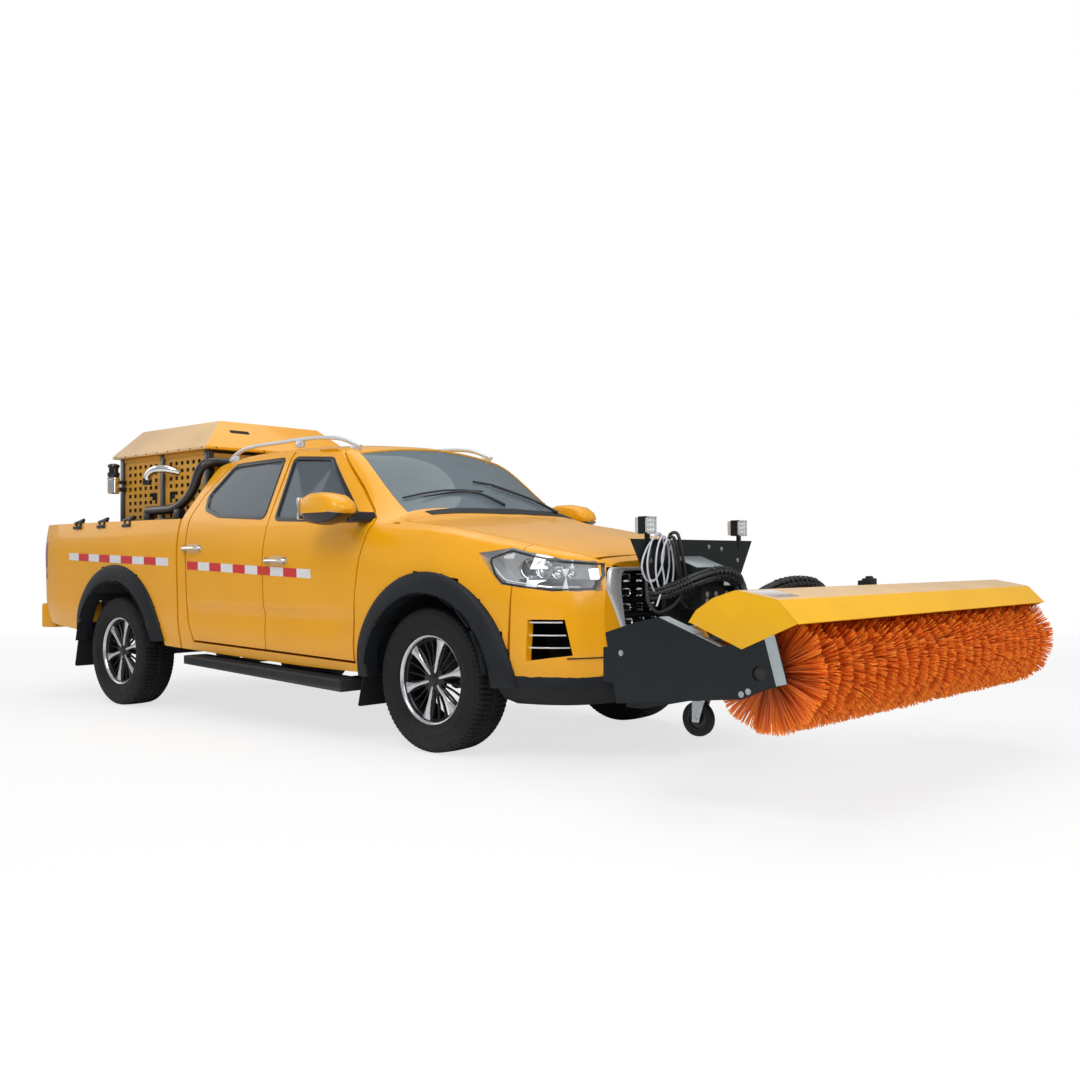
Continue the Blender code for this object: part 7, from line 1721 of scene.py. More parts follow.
PALE_ROUTE = ((2.0445, -0.322, 1.082), (2.0560, -0.335, 1.105), (2.0640, -0.372, 1.112),
              (2.0660, -0.452, 1.060), (2.0660, -0.502, 0.970),
              (2.0660, -0.470, 0.900), (2.0680, -0.410, 0.890), (2.0700, -0.350, 0.950),
              (2.0720, -0.324, 1.040),
              (2.0740, -0.345, 1.110), (2.0770, -0.392, 1.122), (2.0800, -0.448, 1.070),
              (2.0810, -0.478, 0.965),
              (2.0820, -0.440, 0.862), (2.0840, -0.385, 0.812), (2.0860, -0.336, 0.864),
              (2.0875, -0.304, 0.970),
              (2.0890, -0.322, 1.078), (2.0920, -0.368, 1.110), (2.0950, -0.416, 1.040),
              (2.0960, -0.428, 0.930),
              (2.0970, -0.394, 0.838), (2.1000, -0.352, 0.806), (2.1030, -0.312, 0.850),
              (2.1050, -0.292, 0.950),
              (2.1070, -0.312, 1.050), (2.1090, -0.352, 1.092), (2.1110, -0.400, 1.000),
              (2.1120, -0.380, 0.880),
              (2.1140, -0.420, 0.820), (2.1160, -0.452, 0.770))
BLACK_ROUTES = (((2.0445, -0.270, 1.060), (2.0660, -0.278, 1.098), (2.1180, -0.305, 1.100),
                 (2.1300, -0.292, 1.020), (2.1300, -0.262, 0.900),
                 (2.1250, -0.240, 0.820), (2.1150, -0.180, 0.790), (2.1000, -0.160, 0.800)),
                ((2.0445, -0.250, 1.080), (2.0680, -0.262, 1.122), (2.1300, -0.290, 1.118),
                 (2.1420, -0.272, 1.020), (2.1420, -0.245, 0.900),
                 (2.1300, -0.300, 0.790), (2.1100, -0.420, 0.740), (2.0800, -0.470, 0.790),
                 (2.0600, -0.455, 0.900),
                 (2.0520, -0.420, 1.010), (2.0445, -0.400, 1.050)),
                ((2.0445, -0.290, 1.040), (2.0640, -0.296, 1.076), (2.1220, -0.325, 1.080),
                 (2.1350, -0.318, 1.000), (2.1350, -0.280, 0.880),
                 (2.1280, -0.262, 0.800), (2.1150, -0.200, 0.760), (2.1000, -0.160, 0.770)))
BLACK_SIZE = 0.0085
PALE_SIZE = 0.0045
BAND_SPOT = 7
BAND_STEP = 0.002
BAND_OFF = (0.004, 0.03)


def cables():
    """A pale cable hung in loops in front of the panel, with a band round it, and three black hoses."""
    points = smooth_route(PALE_ROUTE, 8)
    item = curve("pale_cable", points, PALE_SIZE, CABLE)
    band_piece = tube("cable_band", [Vector(PALE_ROUTE[BAND_SPOT]) + Vector((BAND_STEP * i, *BAND_OFF))
                                     for i in range(3)], 1.5 * PALE_SIZE,
                      HOSE, sides=10)
    place(item, "root", "cable_hank")
    place(band_piece, "root")
    for number, route in enumerate(BLACK_ROUTES):
        points = smooth_route(route, 8)
        item = place(curve("black_hose_%d" % number, points, BLACK_SIZE, HOSE), "root")


CASTER_TREAD_shares = ((-0.86, 0.62), (-1.0, 0.68), (-0.98, 0.84), (-0.8, 0.97), (0, 1.0), (0.8, 0.97),
                       (0.98, 0.84), (1.0, 0.68), (0.86, 0.62))
CASTER_HUB_shares = ((-0.9, 0.2), (-0.9, 0.28), (-0.5, 0.32), (-0.5, 0.5), (-0.88, 0.56), (-0.88, 0.62),
                     (0.88, 0.62), (0.88, 0.56), (0.5, 0.5), (0.5, 0.32), (0.9, 0.28), (0.9, 0.2))


def casters():
    """Black tyres on dark hubs."""
    for hand in ("right", "left"):
        body = "caster_wheel_" + hand
        low, high = (Vector(c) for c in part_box(body))
        centre = (low + high) / 2
        radius, half = (high.z - low.z) / 2, (high.y - low.y) / 2
        for name, shares, finish, sides, nodes in (("tread", CASTER_TREAD_shares, RUBBER, 48, [body]),
                                                   ("hub", CASTER_HUB_shares, DARK_ALLOY, 40, [])):
            profile = [(a * half, r * radius) for a, r in shares]
            place(lathe("caster_%s_%s" % (name, hand), profile, centre, "Y", finish, sides=sides), body,
                  *nodes)


grille()
headlamps()
bumper_trim()
cowl()
work_lamps()
mount_trim()
hose_run("hose", HEAD_ROUTE, "head", ["hose_bundle"])
hose_run("valve_hose", VALVE_ROUTE, "root")
cables()
casters()


# Power pack in the bed

PACK_shares = (0.785, 1.155)
PACK_HALF = 0.62
PACK_TOP = 1.76
PACK_BASE = 0.91
POST = 0.05
PANEL_THICKNESS = 0.004
PANEL_SINK = 0.012
HOLE_STEP = (0.072, 0.052)
HOLE_SIZE = (0.036, 0.026)
HAND_HOLE = (0.075, 0.165, 1.45, 1.488)
HAND_MARGIN = 0.02
SKID_Z = 0.7715
LID_GAP = 0.001
PACK_EDGE = 0.004
PANEL_TOP_GAP = 0.02
STRIP = (0.008, 0.03)
STRIP_EDGE = 0.002
HOOD_OVERHANG = 0.04
HOOD_LIP = 0.02
HOOD_TOP = 1.985
HOOD_TOP_shares = (0.835, 1.163)
HOOD_TOP_HALF = 0.42
EXHAUST_R = 0.028


def pierced(shape, start, end, low, high, spot, centre):
    """A thin plate with rows of slots cut through it, and a hand hole near the centre post."""
    across, up = [start], [low]
    count = int((end - start - 0.3 * HOLE_STEP[0]) / HOLE_STEP[0])
    first = (start + end - (count - 1) * HOLE_STEP[0]) / 2
    for number in range(count):
        middle = first + number * HOLE_STEP[0]
        across += [middle - HOLE_SIZE[0] / 2, middle + HOLE_SIZE[0] / 2]
    rows = int((high - low - HOLE_STEP[1]) / HOLE_STEP[1])
    for number in range(rows):
        middle = high - HOLE_STEP[1] * (rows - number)
        up += [middle - HOLE_SIZE[1] / 2, middle + HOLE_SIZE[1] / 2]
    across.append(end)
    up.append(high)

    def is_open(i, j):
        if not (0 <= i < len(across) - 1 and 0 <= j < len(up) - 1):
            return False
        a, z = (across[i] + across[i + 1]) / 2, (up[j] + up[j + 1]) / 2
        beside = HAND_HOLE[0] < abs(a - centre) < HAND_HOLE[1]
        if beside and HAND_HOLE[2] - HAND_MARGIN < z < HAND_HOLE[3] + HAND_MARGIN:
            return HAND_HOLE[2] < z < HAND_HOLE[3]
        return i % 2 == 1 and j % 2 == 1
    verts = [[[shape.verts.new(spot(a, z, depth)) for z in up] for a in across]
             for depth in (0, PANEL_THICKNESS)]
    for i in range(len(across) - 1):
        for j in range(len(up) - 1):
            if is_open(i, j):
                continue
            for side in (0, 1):
                grid = verts[side]
                shape.faces.new((grid[i][j], grid[i + 1][j], grid[i + 1][j + 1], grid[i][j + 1]))
            for (a, b), other in ((((0, 0), (0, 1)), (-1, 0)), (((1, 0), (1, 1)), (1, 0)),
                                  (((0, 0), (1, 0)), (0, -1)), (((0, 1), (1, 1)), (0, 1))):
                beyond = (i + other[0], j + other[1])
                if is_open(*beyond) or not (0 <= beyond[0] < len(across) - 1
                                            and 0 <= beyond[1] < len(up) - 1):
                    p, q = (i + a[0], j + a[1]), (i + b[0], j + b[1])
                    shape.faces.new((verts[0][p[0]][p[1]], verts[0][q[0]][q[1]], verts[1][q[0]][q[1]],
                                     verts[1][p[0]][p[1]]))
    bmesh.ops.delete(shape, geom=[v for v in shape.verts if not v.link_faces], context="VERTS")


def power_pack():
    """Core of painted shade behind pierced yellow panels, black uprights and skids."""
    front, rear = at(PACK_shares[0]), at(PACK_shares[1])
    middle = (front + rear) / 2
    inset = PANEL_SINK + 3 * PANEL_THICKNESS
    side, skid, top = PACK_HALF - inset, 0.8 * PACK_HALF, PACK_TOP - LID_GAP
    # Painted shade: the core box stands in for the shaded inside seen through the slots; the skids under it
    # share its near-black.
    core = [((rear + inset, -side, PACK_BASE), (front - inset, side, PACK_TOP - 2 * LID_GAP))]
    core += [((x, -skid, SKID_Z), (x + 2 * POST, skid, PACK_BASE)) for x in (rear + POST, front - 3 * POST)]
    place(boxes("pack_core", core, PAINTED_SHADE_BLACK, bevel=PACK_EDGE), "root", "power_pack")
    bays = ((rear + POST, middle - POST / 2), (middle + POST / 2, front - POST))
    ends = ((-PACK_HALF + POST, -POST / 2), (POST / 2, PACK_HALF - POST))
    shape = bmesh.new()
    for side in (-1, 1):
        for start, end in bays:
            pierced(shape, start, end, PACK_BASE, PACK_TOP - PANEL_TOP_GAP,
                    lambda a, z, depth: (a, side * (PACK_HALF - PANEL_SINK - depth), z), middle)
        face = front if side > 0 else rear
        for start, end in ends:
            pierced(shape, start, end, PACK_BASE, PACK_TOP - PANEL_TOP_GAP,
                    lambda a, z, depth: (face - side * (PANEL_SINK + depth), a, z), 0)
    place(from_bmesh("pack_panels", shape, PACK_YELLOW, smooth=30), "root")
    spots = [(x, y) for x in (rear, middle - POST / 2, front - POST) for y in (-PACK_HALF, PACK_HALF - POST)]
    spots += [(x, -POST / 2) for x in (rear, front - POST)]
    posts = [((x, y, PACK_BASE - PANEL_TOP_GAP), (x + POST, y + POST, top)) for x, y in spots]
    place(boxes("pack_posts", posts, BLACK_TUBE, bevel=PACK_EDGE), "root")
    trim = []
    for y in (-PACK_HALF + PACK_EDGE, PACK_HALF - PACK_EDGE - STRIP[0]):
        for x0, x1 in bays:
            trim.append(((x0, y, PACK_TOP - STRIP[1]), (x1, y + STRIP[0], top)))
            trim.append(((x0, y, PACK_BASE), (x1, y + STRIP[0], PACK_BASE + STRIP[1])))
    place(boxes("pack_edges", trim, PACK_YELLOW, bevel=STRIP_EDGE), "root")


def on_slope(share, y, lift):
    """A point of the hood's front slope."""
    low = Vector((at(PACK_shares[0]) + HOOD_OVERHANG, y, PACK_TOP + HOOD_LIP))
    high = Vector((at(HOOD_TOP_shares[0]), y, HOOD_TOP))
    run = (high - low).normalized()
    return low.lerp(high, share) + Vector((run.z, 0, -run.x)) * lift


HOOD_EDGE = 0.006
LIP_EDGE = 0.003
LIP_GAP = 0.0005
SCREW_PROFILE = ((0, 0.006), (0.002, 0.0055), (0.003, 0))
SCREW_RISE = 0.011
SCREW_ENDS = (0.05, 0.08)
SCREW_COUNTS = (9, 7)
SLOT_CENTRE = (-0.315, 0.61)
SLOT_OUTLINE = ((-0.39, 0.56), (-0.24, 0.56), (-0.24, 0.66), (-0.39, 0.66))
SLOT_CORNER = 0.02
SLOT_LEVELS = ((1.06, 0.0002), (1.04, 0.0016), (1.0, 0.0016), (0.97, 0.0005))


def pack_hood():
    """Hipped lid with folded lips and painted light on its side faces, a row of screws and a hand slot in the
    front slope drawn as a pad of painted shade.
    """
    front, rear = at(PACK_shares[0]) + HOOD_OVERHANG, at(PACK_shares[1]) - HOOD_OVERHANG
    half = PACK_HALF + HOOD_OVERHANG
    top_front, top_rear = (at(share) for share in HOOD_TOP_shares)
    levels = ((rear + LIP_EDGE, front - LIP_EDGE, half - LIP_EDGE, PACK_TOP + LIP_GAP),
              (rear, front, half, PACK_TOP + LIP_EDGE), (rear, front, half, PACK_TOP + HOOD_LIP),
              (top_rear, top_front, HOOD_TOP_HALF, HOOD_TOP))
    shape = bmesh.new()
    rings = [[(x0, -w, z), (x1, -w, z), (x1, w, z), (x0, w, z)] for x0, x1, w, z in levels]
    grid_faces(shape, rings, wrap=True, caps=True)
    round_edges(shape, HOOD_EDGE, segments=3)
    bmesh.ops.recalc_face_normals(shape, faces=shape.faces)
    # Painted light: faces turned to the sides take the paler yellow.
    for face in shape.faces:
        face.material_index = int(abs(face.normal.y) > 0.3)
    place(from_bmesh("pack_lid", shape, PAINT, LIGHT_AND_SHADE_YELLOW, smooth=25), "root", "power_pack_hood")
    shape = bmesh.new()
    rows = []
    for number in range(SCREW_COUNTS[0]):
        x = rear + SCREW_ENDS[0] + (front - rear - 2 * SCREW_ENDS[0]) * number / (SCREW_COUNTS[0] - 1)
        rows += [(x, side * half, "Y", side) for side in (-1, 1)]
    for number in range(SCREW_COUNTS[1]):
        y = -half + SCREW_ENDS[1] + (2 * half - 2 * SCREW_ENDS[1]) * number / (SCREW_COUNTS[1] - 1)
        rows += [(front, y, "X", 1), (rear, y, "X", -1)]
    for x, y, axis, side in rows:
        profile = [(side * along, radius) for along, radius in SCREW_PROFILE]
        lathe_into(shape, profile, (x, y, PACK_TOP + SCREW_RISE), axis, 10, closed=False)
    place(from_bmesh("pack_screws", shape, BLACK_STEEL, smooth=40), "root")
    outline = rounded(SLOT_OUTLINE, SLOT_CORNER)
    middle, share = SLOT_CENTRE
    shape = bmesh.new()
    grid_faces(shape, [[on_slope(share + (s - share) * size, middle + (y - middle) * size, lift) for y,
                        s in outline]
                       for size, lift in SLOT_LEVELS], wrap=True, caps=True)
    # The hand slot is a pad of painted shade on the slope, not an opening.
    place(from_bmesh("pack_slot", shape, PAINTED_SHADE_BLACK, smooth=40), "root")


ELBOW = ((-1.87, -0.60, 1.625), (-1.90, -0.640, 1.640), (-1.96, -0.685, 1.650), (-2.04, -0.700, 1.645),
         (-2.105, -0.703, 1.615),
         (-2.125, -0.703, 1.570))
CAN_X, CAN_Y = -2.60, -0.700
OUTLET_shares = ((0, 1.0), (0, 1.08), (-1.6, 1.10), (-1.632, 0.9), (-0.48, 0.85), (-0.48, 0))
OUTLET_RISE = 0.02
CAN_PROFILE = ((1.500, 0), (1.500, 0.035), (1.508, 0.042), (1.60, 0.042), (1.604, 0.045), (1.618, 0.045),
               (1.622, 0.040), (1.622, 0))
CAP_PROFILE = ((1.622, 0.038), (1.63, 0.043), (1.655, 0.043), (1.66, 0.034), (1.69, 0.034), (1.70, 0.044),
               (1.715, 0.040), (1.722, 0.02), (1.724, 0))
BRACKET_Z = ((1.52, 1.55), (1.575, 1.60))
BRACKET_HALF = 0.02
BRACKET_IN = 0.03
BRACKET_EDGE = 0.003


def exhaust():
    """Bright elbow with a black outlet, and the can at the rear corner on its bracket."""
    place(tube("exhaust_elbow", smooth_route(ELBOW, 6), EXHAUST_R, CHROME, sides=24), "root")
    x, y, z = ELBOW[-1]
    for name, profile, centre, finish, sides in (
            ("exhaust_outlet", [(a * EXHAUST_R, r * EXHAUST_R) for a, r in OUTLET_shares],
             (x, y, z + OUTLET_RISE),
             SMOOTH_BLACK, 28),
            ("can_body", CAN_PROFILE, (CAN_X, CAN_Y, 0), CHROME, 32),
            ("can_cap", CAP_PROFILE, (CAN_X, CAN_Y, 0), SMOOTH_BLACK, 32)):
        place(lathe(name, profile, centre, "Z", finish, sides=sides, closed=False), "root")
    straps = [((CAN_X - BRACKET_HALF, CAN_Y + BRACKET_IN, low),
               (CAN_X + BRACKET_HALF, -PACK_HALF + BRACKET_IN, high))
              for low, high in BRACKET_Z]
    place(boxes("can_bracket", straps, BLACK_STEEL, bevel=BRACKET_EDGE), "root")


# Bars, rails and bed fittings

SPORT_BAR_shares = ((0.995, 0.776), (0.87, 0.776), (0.805, 0.83), (0.768, 0.955))
SPORT_BAR_Y = 0.70
SPORT_BAR_R = 0.032
FOOT = 0.045
ROOF_RAIL_shares = ((0.300, 0.957), (0.315, 0.968), (0.36, 0.993), (0.42, 1.004), (0.485, 1.006),
                    (0.55, 1.004), (0.66, 0.998), (0.710, 0.975),
                    (0.725, 0.955))
ROOF_RAIL_Y = 0.56
ROOF_RAIL_R = 0.016
HOOP_BEND = 0.10
FOOT_GAP = 0.0005
FOOT_IN = 0.02
FOOT_PLATE = 0.012
STEM_HALF = 0.025
FOOT_EDGE = 0.004
RAIL_FOOT = (0.035, 0.013)
RAIL_FOOT_Z = (-0.05, -0.004)
RAIL_FOOT_EDGE = 0.005
CLEATS = (-2.741, -2.392, -2.041)
CLEAT_BLOCKS = (((-0.055, -0.915, 1.238), (0.055, -0.855, 1.262)),
                ((-0.045, -0.905, 1.262), (-0.020, -0.870, 1.285)),
                ((0.020, -0.905, 1.262), (0.045, -0.870, 1.300)))
CLEAT_LINE = ((-0.065, 1.284), (-0.03, 1.289), (0.03, 1.300), (0.065, 1.306))
CLEAT_Y = -0.888
CLEAT_R = 0.011
CLEAT_EDGE = 0.005


def bars():
    """Black hoop on feet, and silver roof rails on their feet."""
    side = [(at(x), -SPORT_BAR_Y, z * ROOF_Z) for x, z in SPORT_BAR_shares]
    side[0] = (side[0][0] + SPORT_BAR_R, side[0][1], side[0][2])
    path = softened(side + [(x, -y, z) for x, y, z in side[::-1]], HOOP_BEND, 6)
    place(tube("hoop", path, SPORT_BAR_R, BLACK_TUBE, sides=24), "root", "sport_bar")
    feet = []
    for share, height in SPORT_BAR_shares[:2]:
        x = at(share) + FOOT
        low = guide(BELT_HEIGHT_shares, share) * ROOF_Z + FOOT_GAP
        for hand in (-1, 1):
            for half, near, far, top in ((FOOT, -FOOT_IN, 3 * FOOT, low + FOOT_PLATE),
                                         (0.8 * FOOT, -STEM_HALF, STEM_HALF, height * ROOF_Z)):
                ys = sorted((hand * (SPORT_BAR_Y + near), hand * (SPORT_BAR_Y + far)))
                feet.append(((x - half, ys[0], low), (x + half, ys[1], top)))
    place(boxes("hoop_feet", feet, BLACK_TUBE, bevel=FOOT_EDGE), "root")
    path = smooth_route([(at(x), -ROOF_RAIL_Y, z * ROOF_Z) for x, z in ROOF_RAIL_shares], 6)
    both(tube("roof_bar_right", path, ROOF_RAIL_R, SATIN_SILVER, sides=14, flat=0.8), "roof_rail_right")
    shape = bmesh.new()
    length, half = RAIL_FOOT
    for share, height in (ROOF_RAIL_shares[1], ROOF_RAIL_shares[4], ROOF_RAIL_shares[-2]):
        x, z = at(share), height * ROOF_Z
        box_into(shape, (x - length, -ROOF_RAIL_Y - half, z + RAIL_FOOT_Z[0]),
                 (x + length, -ROOF_RAIL_Y + half, z + RAIL_FOOT_Z[1]))
    round_edges(shape, RAIL_FOOT_EDGE)
    both(from_bmesh("roof_bar_feet_right", shape, SATIN_SILVER, smooth=35))


def cleats():
    """Three black tie hooks on plates along each bed rail."""
    shape = bmesh.new()
    for x in CLEATS:
        for low, high in CLEAT_BLOCKS:
            box_into(shape, (x + low[0], *low[1:]), (x + high[0], *high[1:]))
    round_edges(shape, CLEAT_EDGE)
    for x in CLEATS:
        tube_into(shape, [(x + along, CLEAT_Y, z) for along, z in CLEAT_LINE], CLEAT_R, 10)
    both(from_bmesh("cleats_right", shape, SMOOTH_BLACK, smooth=40))


AMBER_Z = (0.935, 0.985)
GATE_EDGE = 0.007
BUMPER_EDGE = 0.012
GATE_X = -3.3677
GATE_HANDLE = (((-0.012, -0.11, 1.16), (0.004, 0.11, 1.225)),
               ((-0.022, -0.085, 1.175), (-0.008, 0.085, 1.198)))
GATE_HANDLE_EDGE = 0.005
STEP_Y = (-0.62, 0.62)
STEP_PAD = ((-3.4195, -0.09, 0.6845), (-3.345, 0.09, 0.6895))
STEP_RIB = ((-3.4150, -0.08, 0.6895), (-3.4090, 0.08, 0.6925))
STEP_RIBS = 5
STEP_RIB_PITCH = 0.014
MIDDLE_PAD = ((-3.40, -0.30, 0.648), (-3.36, 0.30, 0.6545))
PAD_EDGE = 0.0015


def moved_box(corners, x=0, y=0):
    """A box's two corners moved along the truck and across it."""
    return [(a + x, b + y, c) for a, b, c in corners]


def tail():
    """Red lamps with an amber band, the gate with its handle, and the stepped bumper."""
    for hand in ("right", "left"):
        dressed("tail_lamp_" + hand, BED, RED_LENS, AMBER,
                choose=lambda c, depth, sign: int(AMBER_Z[0] < c.z < AMBER_Z[1]))
    softened_node("tailgate", GATE_EDGE, PAINT, "tailgate")
    softened_node("rear_bumper", BUMPER_EDGE, PAINT, "root")
    handle = [moved_box(corners, GATE_X) for corners in GATE_HANDLE]
    place(boxes("gate_handle", handle, PLASTIC, bevel=GATE_HANDLE_EDGE), "tailgate")
    pads = [moved_box(STEP_PAD, 0, y) for y in STEP_Y]
    pads += [moved_box(STEP_RIB, STEP_RIB_PITCH * i, y) for y in STEP_Y for i in range(STEP_RIBS)]
    place(boxes("bumper_pads", pads + [MIDDLE_PAD], PLASTIC, bevel=PAD_EDGE), "root")


def softened_node(node, bevel, material, body):
    """A copy of a CAD node with rounded edges."""
    shape = bmesh.new()
    shape.from_mesh(NODES[node].data)
    bmesh.ops.remove_doubles(shape, verts=shape.verts, dist=NODE_MERGE)
    bmesh.ops.dissolve_limit(shape, angle_limit=SOFT_FLAT_ANGLE, verts=shape.verts, edges=shape.edges)
    round_edges(shape, bevel)
    item = from_bmesh(node + "_soft", shape, material, smooth=40)
    return place(item, body, node)


SCREEN_OUTLINE = ((-0.498, 1.362), (0.498, 1.362), (0.498, 1.598), (-0.498, 1.598))
SCREEN_CORNER = 0.04
SCREEN_X = (-1.3275, -1.3225)
SCREEN_EDGE = 0.001
SCREEN_SEAL = ((-1.3285, -0.02), (-1.3300, -0.018), (-1.3300, 0.012), (-1.3270, 0.014))


def rear_screen():
    """Rear window with a dark printed border."""
    outline = rounded(SCREEN_OUTLINE, SCREEN_CORNER, 5)
    place(prism("rear_glass", outline, *SCREEN_X, "X", GLASS, bevel=SCREEN_EDGE), "root", "rear_window")
    shape = bmesh.new()
    grid_faces(shape, [[(x, y, z) for y, z in grown(outline, distance)] for x, distance in SCREEN_SEAL],
               wrap=True)
    place(from_bmesh("rear_seal", shape, SMOOTH_BLACK, smooth=40), "root")


# Cabin

DASH_shares = ((0.1151, 0.49), (0.1151, 0.655), (0.155, 0.668), (0.235, 0.655), (0.26, 0.60), (0.235, 0.52))
DASH_HALF = 0.735
DRIVER_Y = 0.38
STEERING_R = 0.185
STEERING_CENTRE = (0.30, 0.60)
SEAT_WIDTH = 0.50
SEAT_FRONT_shares = ((0.285, 0.395), (0.285, 0.45), (0.43, 0.425), (0.475, 0.70), (0.48, 0.80), (0.51, 0.81),
                     (0.52, 0.72), (0.485, 0.395))
SEAT_REAR_shares = ((0.55, 0.385), (0.55, 0.44), (0.665, 0.42), (0.70, 0.72), (0.725, 0.72), (0.715, 0.385))
REAR_SEAT_HALF = 0.62
FLOOR_Z = 0.5408
CONSOLE = ((-0.04, -0.09), (-0.06, 0.09), 0.76)
PLINTH_shares = ((0.285, 0.485, 0.395), (0.55, 0.715, 0.385))
PLINTH_IN = (0.06, 0.04)
PLINTH_HALF = 0.2
PLINTH_RISE = 0.01
DASH_CORNER = 0.03
DASH_EDGE = 0.012
DASH_SCREEN = ((-0.004, -0.10, 1.03), (0.02, 0.10, 1.13))
DASH_VENT = ((-0.008, -0.05, 1.055), (0.02, 0.05, 1.105))
DASH_VENTS_Y = (-0.6, 0.6, -0.2, 0.2)
FITTING_EDGE = 0.006
WHEEL_TILT = radians(28)
WHEEL_RIM_R = 0.015
WHEEL_SPOKE_R = 0.016
WHEEL_DISH = 0.02
HUB_LINE = (-0.005, 0.05)
HUB_TAPER = (0.06, 0.03)
SEAT_CORNER = 0.045
BENCH_CORNER = 0.04
SEAT_GAP = 0.005
SEAT_EDGE = 0.028


def steering():
    """The wheel's rim and three spokes on their column."""
    centre = Vector((at(STEERING_CENTRE[0]), DRIVER_Y, STEERING_CENTRE[1] * ROOF_Z))
    axis, up = Vector((cos(WHEEL_TILT), 0, -sin(WHEEL_TILT))), Vector((sin(WHEEL_TILT), 0, cos(WHEEL_TILT)))
    level = Vector((0, 1, 0))
    ring = [centre + (up * cos(a) + level * sin(a)) * STEERING_R for a in np.linspace(0, 2 * pi, 41)[:-1]]
    shape = bmesh.new()
    tube_into(shape, ring, WHEEL_RIM_R, 10, closed=True)
    for end in (level, -level, -up):
        tube_into(shape, [centre + axis * WHEEL_DISH, centre + end * STEERING_R], WHEEL_SPOKE_R, 8, flat=0.6)
    column = [centre + axis * along for along in (*HUB_LINE, 1.5 * STEERING_R)]
    tube_into(shape, column, lambda s: HUB_TAPER[0] - HUB_TAPER[1] * s, 20)
    place(from_bmesh("steering_wheel", shape, TRIM, smooth=40), "root")


def cabin():
    """Dashboard with screen and vents, the steering wheel, and the padded seats on their plinths."""
    dash = rounded(outline_of(DASH_shares), DASH_CORNER)
    place(prism("dash", dash, -DASH_HALF, DASH_HALF, "Y", TRIM, bevel=DASH_EDGE), "root", "dashboard")
    x_face = at(DASH_shares[4][0])
    parts = [moved_box(DASH_SCREEN, x_face)] + [moved_box(DASH_VENT, x_face, y) for y in DASH_VENTS_Y]
    place(boxes("dash_fittings", parts, SMOOTH_BLACK, bevel=FITTING_EDGE), "root")
    steering()
    low, high = DRIVER_Y - SEAT_WIDTH / 2, DRIVER_Y + SEAT_WIDTH / 2
    front = rounded(outline_of(SEAT_FRONT_shares), SEAT_CORNER, 5)
    rear = rounded(outline_of(SEAT_REAR_shares), BENCH_CORNER, 5)
    for name, outline, y0, y1, nodes in (("seat_right", front, -high + SEAT_GAP, -low - SEAT_GAP, ["seats"]),
                                         ("seat_left", front, low + SEAT_GAP, high - SEAT_GAP, []),
                                         ("bench", rear, -REAR_SEAT_HALF, REAR_SEAT_HALF, [])):
        seat = place(prism(name, outline, y0, y1, "Y", FABRIC, bevel=SEAT_EDGE), "root", *nodes)
    (back, left), (ahead, right), top = CONSOLE
    (first, _, _), (second, _, _) = PLINTH_shares
    blocks = [((at(second) + back, left, FLOOR_Z), (at(first) + ahead, right, top))]
    blocks += [((at(end) + PLINTH_IN[0], y - PLINTH_HALF, FLOOR_Z),
                (at(start) - PLINTH_IN[1], y + PLINTH_HALF, z * ROOF_Z + PLINTH_RISE))
               for start, end, z in PLINTH_shares for y in (-DRIVER_Y, DRIVER_Y)]
    place(boxes("seat_plinths", blocks, TRIM, bevel=PLINTH_RISE), "root")


# Under the body

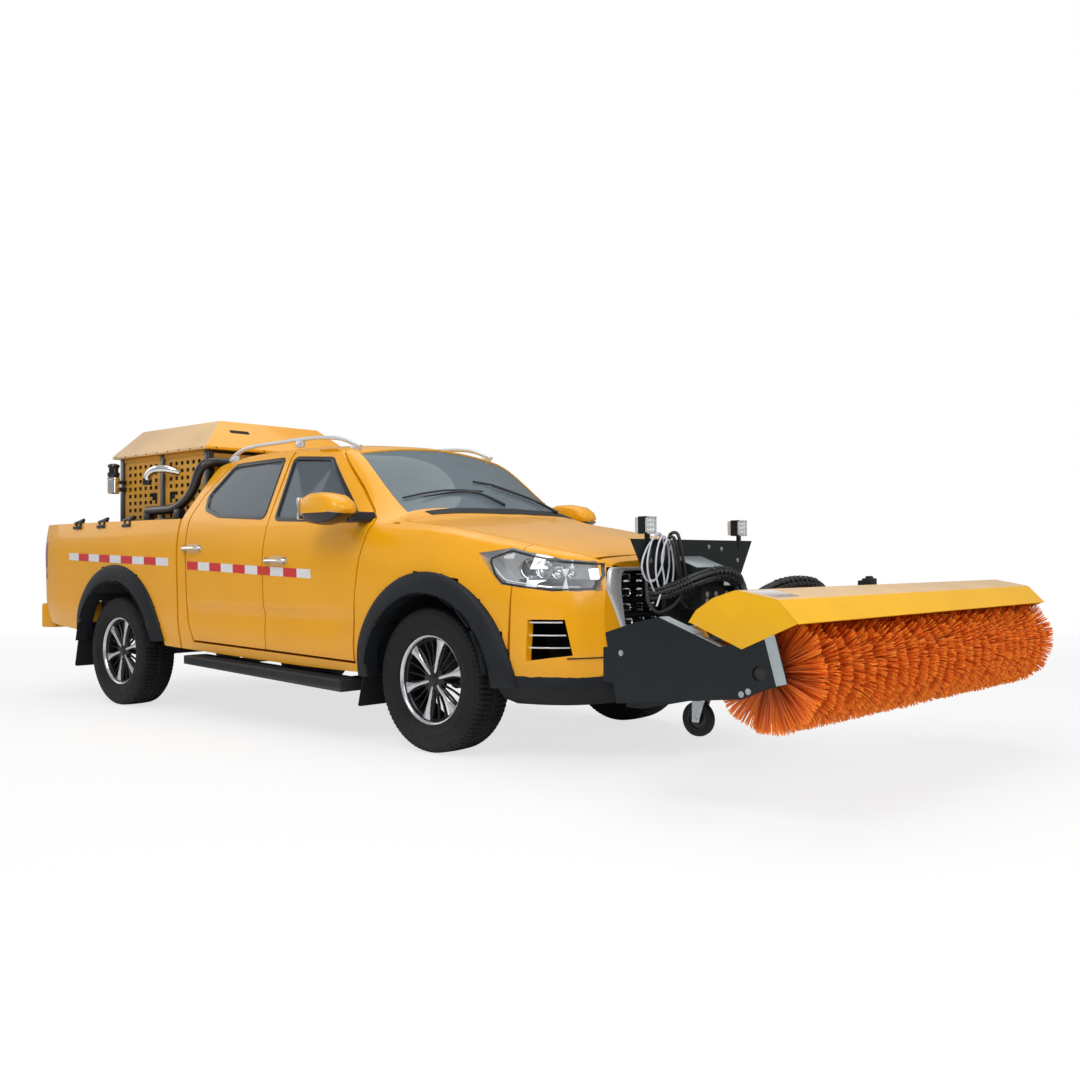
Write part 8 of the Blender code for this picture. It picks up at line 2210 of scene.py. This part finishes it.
BOARD_LINE = ((at(0.205), 0.3425), (at(0.695), 0.3985))
RIBS = 6
RIB_Y = (-0.950, 0.020)
RIB_PROFILE = ((-0.005, 0), (-0.003, 0.0035), (0.003, 0.0035), (0.005, 0))
EDGE_SECTION = ((-0.9665, -0.045), (-0.9685, -0.035), (-0.9685, -0.012), (-0.962, -0.001), (-0.955, 0.0015),
                (-0.955, -0.05))
EDGE_END = 0.01
FLAPS = (("front", FRONT_AXLE_X - 0.475, 0.20, 0.50), ("rear", REAR_AXLE_X - 0.515, 0.24, 0.56))
FLAP_Y = (-0.915, -0.70)
FLAP_HALF = 0.004
FLAP_CORNER = 0.02
FLAP_EDGE = 0.001


def boards():
    """Ribbed treads and an outer edge strip on the running boards, and flaps behind the wheels."""
    (x0, z0), (x1, z1) = BOARD_LINE
    shape = bmesh.new()
    for number in range(RIBS):
        y = RIB_Y[0] + RIB_Y[1] * number
        rows = [[(x, y + across, z + up) for across, up in RIB_PROFILE] for x, z in BOARD_LINE]
        grid_faces(shape, rows, wrap=True, caps=True)
    both(from_bmesh("board_treads_right", shape, RUBBER, smooth=40))
    shape = bmesh.new()
    rows = [[(x, y, z + up) for y, up in EDGE_SECTION] for x, z in ((x0 + EDGE_END, z0), (x1 - EDGE_END, z1))]
    grid_faces(shape, rows, wrap=True, caps=True)
    both(from_bmesh("board_edge_right", shape, PLASTIC, smooth=40))
    for name, x, low, high in FLAPS:
        outline = rounded([(FLAP_Y[0], low), (FLAP_Y[1], low), (FLAP_Y[1], high), (FLAP_Y[0], high)],
                          FLAP_CORNER)
        flap = prism("flap_" + name + "_right", outline, x - FLAP_HALF, x + FLAP_HALF, "X", RUBBER,
                     bevel=FLAP_EDGE)
        for vertex in flap.data.vertices:
            vertex.co.x -= 0.25 * (high - vertex.co.z) ** 2 / (high - low)
        both(flap)


KEPT = {"chassis_frame": BLACK_STEEL, "engine_block": BLACK_STEEL, "axle_rear": BLACK_STEEL,
        "knuckle_right": BLACK_STEEL,
        "knuckle_left": BLACK_STEEL, "lift_arm": DARK_PAINT, "lift_barrel": BLACK_TUBE, "lift_rod": CHROME,
        "brush_mount": DARK_PAINT, "brush_head": DARK_PAINT, "caster_fork_right": GALVANISED,
        "caster_fork_left": GALVANISED}

power_pack()
pack_hood()
exhaust()
bars()
cleats()
tail()
rear_screen()
cabin()
boards()
for node_name, finish_name in KEPT.items():
    NODES[node_name].material_slots[0].material = finish_name
